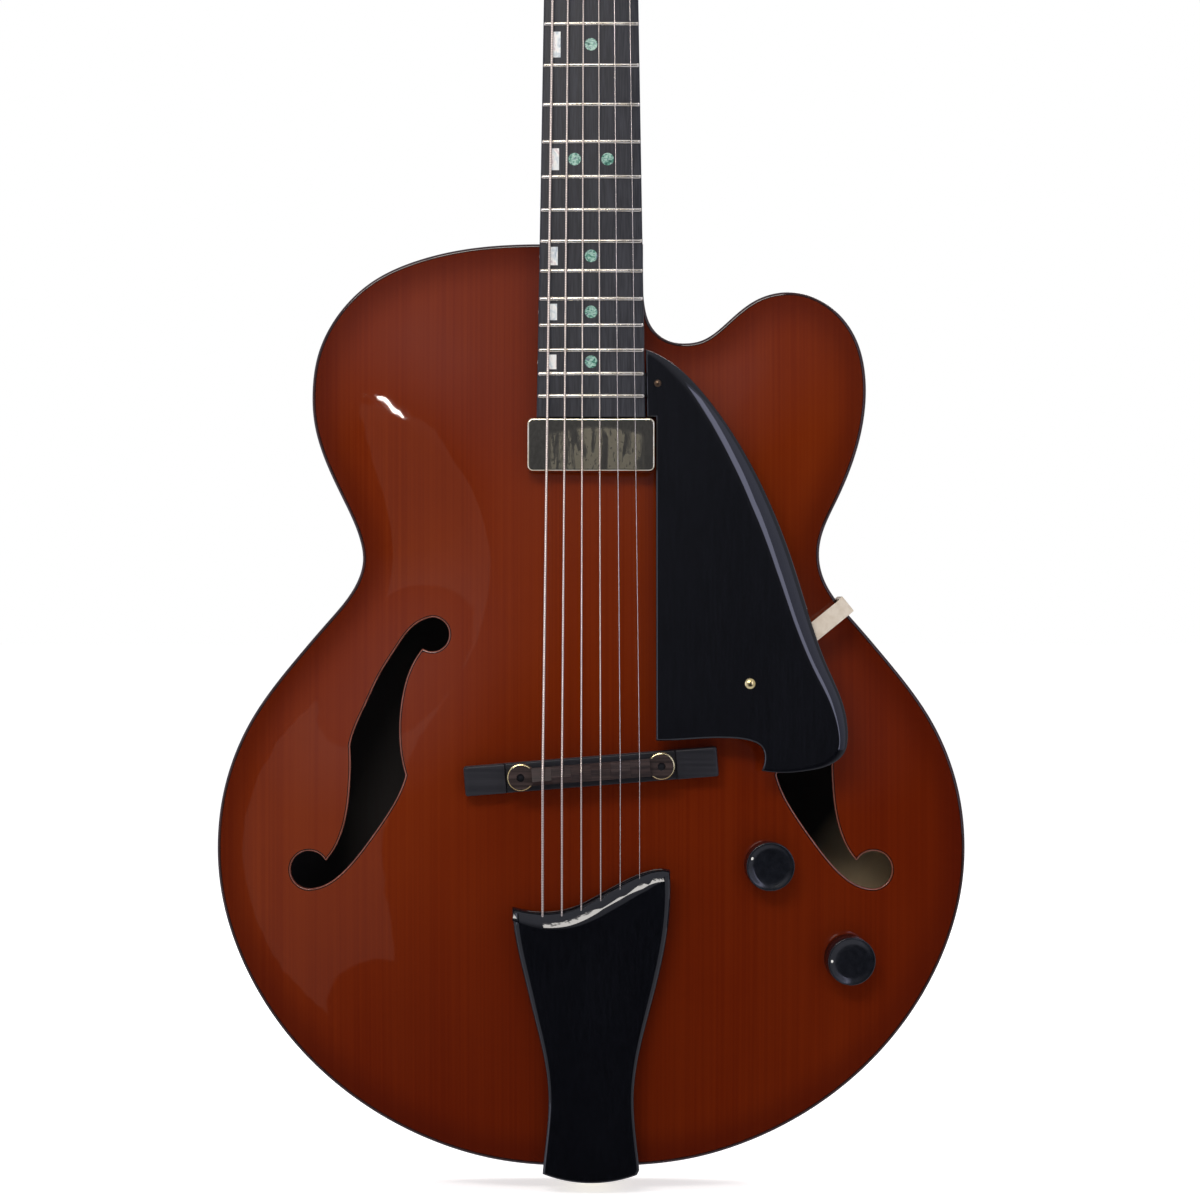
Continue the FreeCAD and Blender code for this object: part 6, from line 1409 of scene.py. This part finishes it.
def wheel_tree(tree, size):
    """A disc whose edge is cut into teeth: two points in each four of its rim are drawn in."""
    count = add(tree, "ShaderNodeMath", {0: size["Teeth"], 1: TOOTH_POINTS}, operation="MULTIPLY")
    disc = add(tree, "GeometryNodeMeshCircle", {"Vertices": count, "Radius": size["Radius"]},
               fill_type="NGON")
    index = add(tree, "GeometryNodeInputIndex")
    turn = add(tree, "ShaderNodeMath", {0: index, 1: TOOTH_POINTS}, operation="MODULO")
    low = add(tree, "ShaderNodeMath", {0: turn, 1: TOOTH_POINTS / 2 - 0.5}, operation="LESS_THAN")
    cut = add(tree, "ShaderNodeMath", {0: low, 1: size["Depth"]}, operation="MULTIPLY")
    kept = add(tree, "ShaderNodeMath", {0: 1.0, 1: cut}, operation="SUBTRACT")
    at = add(tree, "GeometryNodeInputPosition")
    drawn = add(tree, "ShaderNodeVectorMath", {0: at, "Scale": kept}, operation="SCALE")
    disc = add(tree, "GeometryNodeSetPosition", {"Geometry": disc, "Position": drawn})
    under = add(tree, "GeometryNodeFlipFaces", {"Mesh": disc})
    above = add(tree, "GeometryNodeExtrudeMesh", {"Mesh": disc, "Offset Scale": size["Thickness"]},
                mode="FACES")
    whole = add(tree, "GeometryNodeJoinGeometry", {0: [above, under]})
    return add(tree, "GeometryNodeMergeByDistance", {"Geometry": whole, "Distance": SAME_POINT * MM})


def thumbwheel(name, side, body, covers):
    """A toothed wheel on one post; the edge round each of its two faces is rounded."""
    mesh = grown(name, wheel_tree, {
        "Radius": WHEEL_RADIUS * MM, "Thickness": WHEEL_THICKNESS * MM, "Teeth": WHEEL_TEETH,
        "Depth": TOOTH_SHARE}, GOLD)
    work = bmesh.new()
    work.from_mesh(mesh)
    bmesh.ops.recalc_face_normals(work, faces=work.faces)
    rim = [e for e in work.edges if any(len(f.verts) > 4 for f in e.link_faces)]
    bmesh.ops.bevel(work, geom=rim, offset=WHEEL_ROUND * MM, offset_type="OFFSET", segments=4, profile=0.5,
                    affect="EDGES", material=-1)
    work.to_mesh(mesh)
    work.free()
    seat = BRIDGE @ tilted((side * POST_SPACING / 2, -WHEEL_FOOT, 0), 90)
    return settled(name, mesh, seat, covers, body, smooth_angle=30)


bridge_foot()
thumbwheel("bass_wheel", -1, "wheel_bass", ("thumbwheel_bass",))
thumbwheel("treble_wheel", 1, "wheel_treble", ("thumbwheel_treble",))
eased("bridge_saddle", "saddle_rosewood", width=0.55, materials=[SADDLE_WOOD],
      body="saddle")


# Tailpiece

def tail_point(shares, side=1):
    """A point of the tailpiece's outline from its shares."""
    return np.array([side * shares[0] * TAIL_WIDTH / 2, shares[1] * TAIL_LENGTH - TAIL_OVERHANG])


def tailpiece():
    """Polished ebony; its waved front rolls over in a wide bevel, its sides in a narrow one."""
    front = spline([tail_point(s) for s in TAIL_FRONT], TAIL_FRONT_STEP)
    treble = spline([front[-1]] + [tail_point(s) for s in TAIL_SIDE], TAIL_SIDE_STEP)
    bass = spline([front[0]] + [tail_point(s, -1) for s in TAIL_BASS_TOP + TAIL_SIDE[2:]], TAIL_SIDE_STEP)
    sag = treble[-1][1] + TAIL_OVERHANG
    radius = (treble[-1][0] ** 2 + sag ** 2) / (2 * sag)
    across = np.linspace(treble[-1][0], bass[-1][0], TAIL_FOOT_POINTS)[1:-1]
    foot = np.stack([across, radius - TAIL_OVERHANG - np.sqrt(radius ** 2 - across ** 2)], 1)
    runs = (front[:-1], treble[:-1], foot, bass[:0:-1])

    def along(bevels):
        """A bevel's size for each point of the loop, from the sizes spread along each run."""
        sizes = [np.interp(np.linspace(0, 1, len(run)), np.linspace(0, 1, len(bevel)), bevel)
                 for run, bevel in zip(runs, bevels)]
        return np.roll(np.concatenate(sizes)[::-1], -1)

    others = (TAIL_SIDE_BEVEL, TAIL_FOOT_BEVEL, TAIL_SIDE_BEVEL[::-1])
    widths, drops = along((TAIL_FRONT_WIDTHS,) + others), along((TAIL_FRONT_DROPS,) + others)
    loop = np.concatenate(runs)[::-1]
    shape, faces = rolled_plate(loop, widths, drops, -TAIL_THICKNESS, 0.0, roll=TAIL_ROLL)
    obj = piece("tail_wood", moved(TAIL, shape), faces, [EBONY_GLOSS], smooth_angle=35)
    return fit(obj, ("tailpiece",))


tailpiece()
eased("tailpiece_bracket", "tail_bracket", width=0.4)
eased("strap_buttons", "strap_pins", width=0.5)


# Controls

def knob(name, place, axis, dot_angle, body, covers):
    """Turned knob: dished top, soft rim, slightly waisted side, and a white dot on the rim."""
    top = KNOB_GAP + KNOB_HEIGHT
    profile = [(radius, top - depth) for radius, depth in KNOB_TOP]
    profile += [(radius, KNOB_GAP + height) for radius, height in KNOB_FOOT]
    seat = facing(place, axis)
    points, faces = lathe(profile, KNOB_POINTS, seat)
    fit(piece(name, points, faces, [KNOB_BLACK], smooth_angle=50), covers, body)
    turn = math.radians(dot_angle)
    spot = seat.to_3x3().inverted() @ Vector((math.cos(turn), 0, math.sin(turn)))
    spot = Vector((spot.x, spot.y, 0)).normalized() * KNOB_DOT_PLACE
    dot_seat = seat @ Matrix.Translation((spot.x, spot.y, top - KNOB_DOT_DEPTH))
    points, faces = lathe(KNOB_DOT, KNOB_DOT_POINTS, dot_seat)
    fit(piece(name + "_dot", points, faces, [WHITE_DOT], smooth_angle=50), (), body)


knob("volume_cap", VOLUME, VOLUME_AXIS, VOLUME_DOT, "volume", ("volume_knob",))
knob("tone_cap", TONE, TONE_AXIS, TONE_DOT, "tone", ("tone_knob",))
eased("output_jack", "jack_sleeve", width=0.4)
eased("control_nuts", "lock_nuts", width=0.3)


# Strings

def spread(total, index):
    """A string's place across, from the whole spread of the strings."""
    return total * (index / (len(STRING_RADII) - 1) - 0.5)


def turned(vector, angle):
    """A vector turned about Y."""
    x, y, z = vector
    cosine, sine = math.cos(angle), math.sin(angle)
    return np.array([x * cosine + z * sine, y, z * cosine - x * sine])


def string_run(index):
    """Ball end, saddle crest, then the points from the crest over the nut and round the post."""
    radius = STRING_RADII[index]
    x = spread(BRIDGE_SPREAD, index)
    lift = radius + STRING_GAP
    action = float(crown_drop(x)) - FRET_HEIGHT - BRIDGE_ACTION
    level = (NECK @ Vector((0, action, -SADDLE_REACH))).y - CROWN_LEVEL
    saddle = np.array(BRIDGE @ Vector((x, level - lift, CREST_SHARES[index] * SADDLE_WIDTH)))
    front = np.array([tail_point(s) for s in TAIL_FRONT])
    hole = np.interp(x, front[:, 0], front[:, 1]) - BALL_SETBACK
    ball = np.array(TAIL @ Vector((x, -TAIL_THICKNESS / 2, hole)))
    across = spread(NUT_SPREAD, index)
    action = float(crown_drop(across)) - FRET_HEIGHT - NUT_ACTION
    nut = NECK @ Vector((across, action - lift, NUT_PLACE + NUT_THICKNESS / 2))
    start = np.array(HEAD.inverted() @ nut)
    side = -1 if index < TUNERS // 2 else 1
    step = index if side < 0 else TUNERS - 1 - index
    axis = np.array([side * (TUNER_OFFSET + TUNER_SPREAD * step), -VENEER - COIL_HEIGHT,
                     TUNER_FIRST + TUNER_SPACING * step])
    run = np.array([axis[0] - start[0], 0, axis[2] - start[2]])
    coil = POST_WAIST + 2 * STRING_GAP + radius
    far_off = np.linalg.norm(run)
    heading = turned(run / far_off, -side * math.asin(coil / far_off))
    touch = np.array([start[0], axis[1], start[2]]) + heading * math.sqrt(far_off ** 2 - coil ** 2)
    pitch = 2 * radius + COIL_GAP
    wraps = [axis + turned(touch - axis, side * turn) + (0, pitch * turn / (2 * math.pi), 0)
             for turn in np.linspace(0, 2 * math.pi * COIL_TURNS, COIL_POINTS)]
    nut, post = np.array(nut), np.array(HEAD @ Vector(touch))
    length, head = np.linspace(saddle, nut, LENGTH_POINTS), np.linspace(nut, post, HEAD_POINTS)
    return np.linspace(ball, saddle, TAIL_POINTS), np.concatenate([length, head[1:], moved(HEAD, wraps)[1:]])


def string_tree(tree, size):
    """A round wire along its carrier curve that remembers how far along each point is."""
    along = add(tree, "GeometryNodeSplineParameter").outputs["Length"]
    curve = add(tree, "GeometryNodeStoreNamedAttribute", {
        "Geometry": size["Geometry"], "Name": "along", "Value": along}, data_type="FLOAT", domain="POINT")
    ring = add(tree, "GeometryNodeCurvePrimitiveCircle", {"Resolution": 10, "Radius": size["Radius"]})
    return add(tree, "GeometryNodeCurveToMesh", {"Curve": curve, "Profile Curve": ring, "Fill Caps": True})


def wire_mesh(name, path, radius, material):
    """A wire along a path in millimetres."""
    curve = bpy.data.curves.new(name, "CURVE")
    curve.dimensions = "3D"
    line = curve.splines.new("POLY")
    line.points.add(len(path) - 1)
    line.points.foreach_set("co", np.hstack([path * MM, np.ones((len(path), 1))]).ravel())
    return grown(name, string_tree, {"Radius": radius * MM}, material, curve)


def joined(name, meshes):
    """Meshes of one material each made one object."""
    work = bmesh.new()
    materials = []
    for mesh in meshes:
        start = len(work.faces)
        work.from_mesh(mesh)
        work.faces.ensure_lookup_table()
        if mesh.materials[0] not in materials:
            materials.append(mesh.materials[0])
        for face in work.faces[start:]:
            face.material_index = materials.index(mesh.materials[0])
    whole = bpy.data.meshes.new(name)
    work.to_mesh(whole)
    work.free()
    return finished(name, whole, materials, smooth_angle=40)


tails, lengths = [], []
for index, radius in enumerate(STRING_RADII):
    behind, ahead = string_run(index)
    wire = WOUND_WIRE if index < WOUND else PLAIN_WIRE
    tails.append(wire_mesh("string_tail", behind, radius, wire))
    lengths.append(wire_mesh("string_length", ahead, radius, wire))
string_tails, string_lengths = joined("string_tails", tails), joined("string_lengths", lengths)
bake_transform(string_tails)
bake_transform(string_lengths)
for strings in (string_tails, string_lengths):
    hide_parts("strings")


# Finishes of the solids that stay

for material, nodes in (
        (INNER_WOOD, ("kerfed_linings", "neck_block", "tail_block", "tone_bars")),
        (PEARL, ("side_dots",)),
        (STEEL, ("truss_rod", "potentiometers", "volume_shaft", "tone_shaft")),
        (DARK_STEEL, ("bridge_posts",)),
        (BLACK_PLASTIC, ("pickup_core", "pickup_mount")),
        (EBONY, ("pickguard_block",)),
        (WIRE_CLOTH, ("wiring",))):
    for node in nodes:
        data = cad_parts[node].data
        data.materials.clear()
        data.materials.append(material)


# Studio, with sizes in metres and strengths of light
FLOOR_GAP = 0.0012
FLOOR_SIDE = 14.0
FLOOR_FRONT = -9.0
FLOOR_BACK = 24.0
FLOOR_GLOW = 0.64
FILL = 0.48
KEY_WHITE = "#fffaf4"
FLOAT = {"data_type": "FLOAT"}


def ray_kinds(tree):
    """The kinds of ray, and 1 for those that a mirror or glass sends on."""
    rays = add(tree, "ShaderNodeLightPath").outputs
    both = {0: rays["Is Glossy Ray"], 1: rays["Is Transmission Ray"]}
    return rays, add(tree, "ShaderNodeMath", both, operation="MAXIMUM")


def studio_floor():
    """Pale floor under the guitar: it keeps the shadow, is white to the camera, and mirrors look past it."""
    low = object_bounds()[0][2] - FLOOR_GAP
    mesh = bpy.data.meshes.new("floor")
    corners = [(-FLOOR_SIDE, FLOOR_FRONT), (FLOOR_SIDE, FLOOR_FRONT), (FLOOR_SIDE, FLOOR_BACK),
               (-FLOOR_SIDE, FLOOR_BACK)]
    mesh.from_pydata([(x, y, low) for x, y in corners], [], [(0, 1, 2, 3)])
    material, tree, place = opened("pale_floor")
    rays, mirror = ray_kinds(tree)
    glow = add(tree, "ShaderNodeMath", {0: rays["Is Camera Ray"], 1: FLOOR_GLOW}, operation="MULTIPLY")
    speck = pattern(tree, place, (400.0, 400.0, 400.0), 2.0)
    tone = add(tree, "ShaderNodeValToRGB", {0: speck}, [(0.3, "#f1f2f4"), (0.7, "#f6f6f7")])
    pale = add(tree, "ShaderNodeBsdfDiffuse", {"Color": tone})
    lit = add(tree, "ShaderNodeEmission", {"Strength": glow})
    seen = add(tree, "ShaderNodeAddShader", {0: pale, 1: lit})
    whole = add(tree, "ShaderNodeMixShader", {0: mirror, 1: seen, 2: add(tree, "ShaderNodeBsdfTransparent")})
    add(tree, "ShaderNodeOutputMaterial", {"Surface": whole})
    mesh.materials.append(material)
    obj = linked("floor", mesh)


def studio_world():
    """White to the camera, even fill for the surfaces; mirrors see white beside and behind the guitar, greyer
    right behind it, pale walls at its sides and a dark room in front that is paler above and to the left."""
    world = bpy.data.worlds.new("studio")
    world.use_nodes = True
    bpy.context.scene.world = world
    tree = world.node_tree
    tree.nodes.clear()
    rays, mirror = ray_kinds(tree)
    way = add(tree, "ShaderNodeTexCoord").outputs["Generated"]
    x, y, z = add(tree, "ShaderNodeSeparateXYZ", {0: way}).outputs
    above = add(tree, "ShaderNodeMapRange", {0: z, 1: 0.0, 2: 0.27, 3: 0.02, 4: 0.26})
    aside = add(tree, "ShaderNodeMapRange", {0: x, 1: -0.2, 2: 0.05, 3: 1.8, 4: 0.8})
    ahead = add(tree, "ShaderNodeMath", {0: above, 1: aside}, operation="MULTIPLY")
    opening = add(tree, "ShaderNodeMapRange", {0: y, 1: -0.89, 2: -0.76, 3: 0.0, 4: 1.0})
    high = add(tree, "ShaderNodeMath", {0: z}, operation="ABSOLUTE")
    around = add(tree, "ShaderNodeMapRange", {0: high, 1: 0.45, 2: 0.75, 3: 0.62, 4: 0.75})
    walls = add(tree, "ShaderNodeMix", {0: opening, 2: ahead, 3: around}, **FLOAT)
    behind = add(tree, "ShaderNodeMapRange", {0: y, 1: -0.1, 2: 0.2, 3: 0.0, 4: 1.0})
    deep = add(tree, "ShaderNodeMapRange", {0: y, 1: 0.3, 2: 0.95, 3: 1.0, 4: 0.25})
    room = add(tree, "ShaderNodeMix", {0: behind, 2: walls, 3: deep}, **FLOAT)
    level = add(tree, "ShaderNodeMix", {0: mirror, 2: FILL, 3: room}, **FLOAT)
    level = add(tree, "ShaderNodeMix", {0: rays["Is Camera Ray"], 2: level, 3: 1.0}, **FLOAT)
    tint = add(tree, "ShaderNodeMix", {0: mirror, 6: (1, 1, 1, 1), 7: linear("#eceeff")}, **BLEND).outputs[2]
    glow = add(tree, "ShaderNodeBackground", {"Strength": level, "Color": tint})
    add(tree, "ShaderNodeOutputWorld", {"Surface": glow})


def softbox(name, start, azimuth, elevation, distance, size, radiance, tint="#ffffff", leaves=False, roll=0):
    """A flat panel of light that faces a spot of the guitar from angles to the camera's axis, in degrees;
    radiance 1 mirrors as white. Leaves cover its upper part in ragged clumps."""
    data = bpy.data.lights.new(name, "AREA")
    data.shape = "RECTANGLE"
    data.size, data.size_y = size
    data.energy = radiance * math.pi * size[0] * size[1]
    data.color = linear(tint)[:3]
    if leaves:
        data.use_nodes = True
        tree = data.node_tree
        tree.nodes.clear()
        place = add(tree, "ShaderNodeNewGeometry").outputs["Parametric"]
        mapped = add(tree, "ShaderNodeMapping", {"Vector": place, "Scale": (9.0, 3.0, 1.0)})
        clump = add(tree, "ShaderNodeTexNoise", {"Vector": mapped, "Scale": 1.0, "Detail": 6.0})
        height = add(tree, "ShaderNodeSeparateXYZ", {0: place}).outputs[1]
        bare = add(tree, "ShaderNodeMath", {0: height, 1: -0.45, 2: clump}, operation="MULTIPLY_ADD")
        clear = add(tree, "ShaderNodeMapRange", {0: bare, 1: 0.13, 2: 0.24, 3: 0.06, 4: 1.2})
        add(tree, "ShaderNodeOutputLight", {0: add(tree, "ShaderNodeEmission", {"Strength": clear})})
    side, up = math.radians(azimuth), math.radians(elevation)
    way = Vector((math.sin(side) * math.cos(up), -math.cos(side) * math.cos(up), math.sin(up)))
    aim = way.to_track_quat("Z", "Y").to_matrix().to_4x4() @ Matrix.Rotation(math.radians(roll), 4, "Z")
    obj = linked(name, data)
    obj.matrix_world = Matrix.Translation(Vector(start) + way * distance) @ aim
    obj.visible_camera = False
    return data


studio_floor()
studio_world()
softbox("key", start=(0, -0.04, 0.3), azimuth=-14, elevation=32.5, distance=2.2, size=(1.25, 0.56),
        radiance=10.8, tint=KEY_WHITE, leaves=True)
softbox("back_key", start=(0, 0.04, 0.3), azimuth=155, elevation=45, distance=2.2, size=(1.0, 0.9),
        radiance=9.0, tint=KEY_WHITE)
softbox("left_screen", start=(-0.15, -0.035, 0.2), azimuth=-21, elevation=-5, distance=2.2, size=(0.5, 1.0),
        radiance=0.22, tint="#ffe8d6")
lamp = softbox("lamp", start=(-0.107, -0.035, 0.403), azimuth=-16.5, elevation=3, distance=0.3,
               size=(0.0028, 0.024), radiance=0.09, tint="#fff3ea", roll=16)
lamp.spread = math.radians(6)
softbox("right_window", start=(0.1, -0.04, 0.3), azimuth=26.5, elevation=12, distance=2.0, size=(0.175, 1.3),
        radiance=3.2, tint="#dcdeff")
softbox("right_screen", start=(0.1, -0.04, 0.3), azimuth=33, elevation=12, distance=2.1, size=(0.56, 1.5),
        radiance=0.6, tint="#cfd4ff")
softbox("left_window", start=(-0.1, -0.04, 0.3), azimuth=-72, elevation=2, distance=1.7, size=(0.32, 1.7),
        radiance=1.9, tint="#e2e2ff")

camera = bpy.data.cameras.new("camera")
camera.lens = 114.06
camera.sensor_width = 36.0
camera.clip_end = 100.0
view = linked("camera", camera)
view.location = (0.0047, -2.05, 0.3009)
view.rotation_euler = (math.pi / 2, 0, 0)
bpy.context.scene.camera = view
bpy.context.scene.view_settings.view_transform = "Standard"
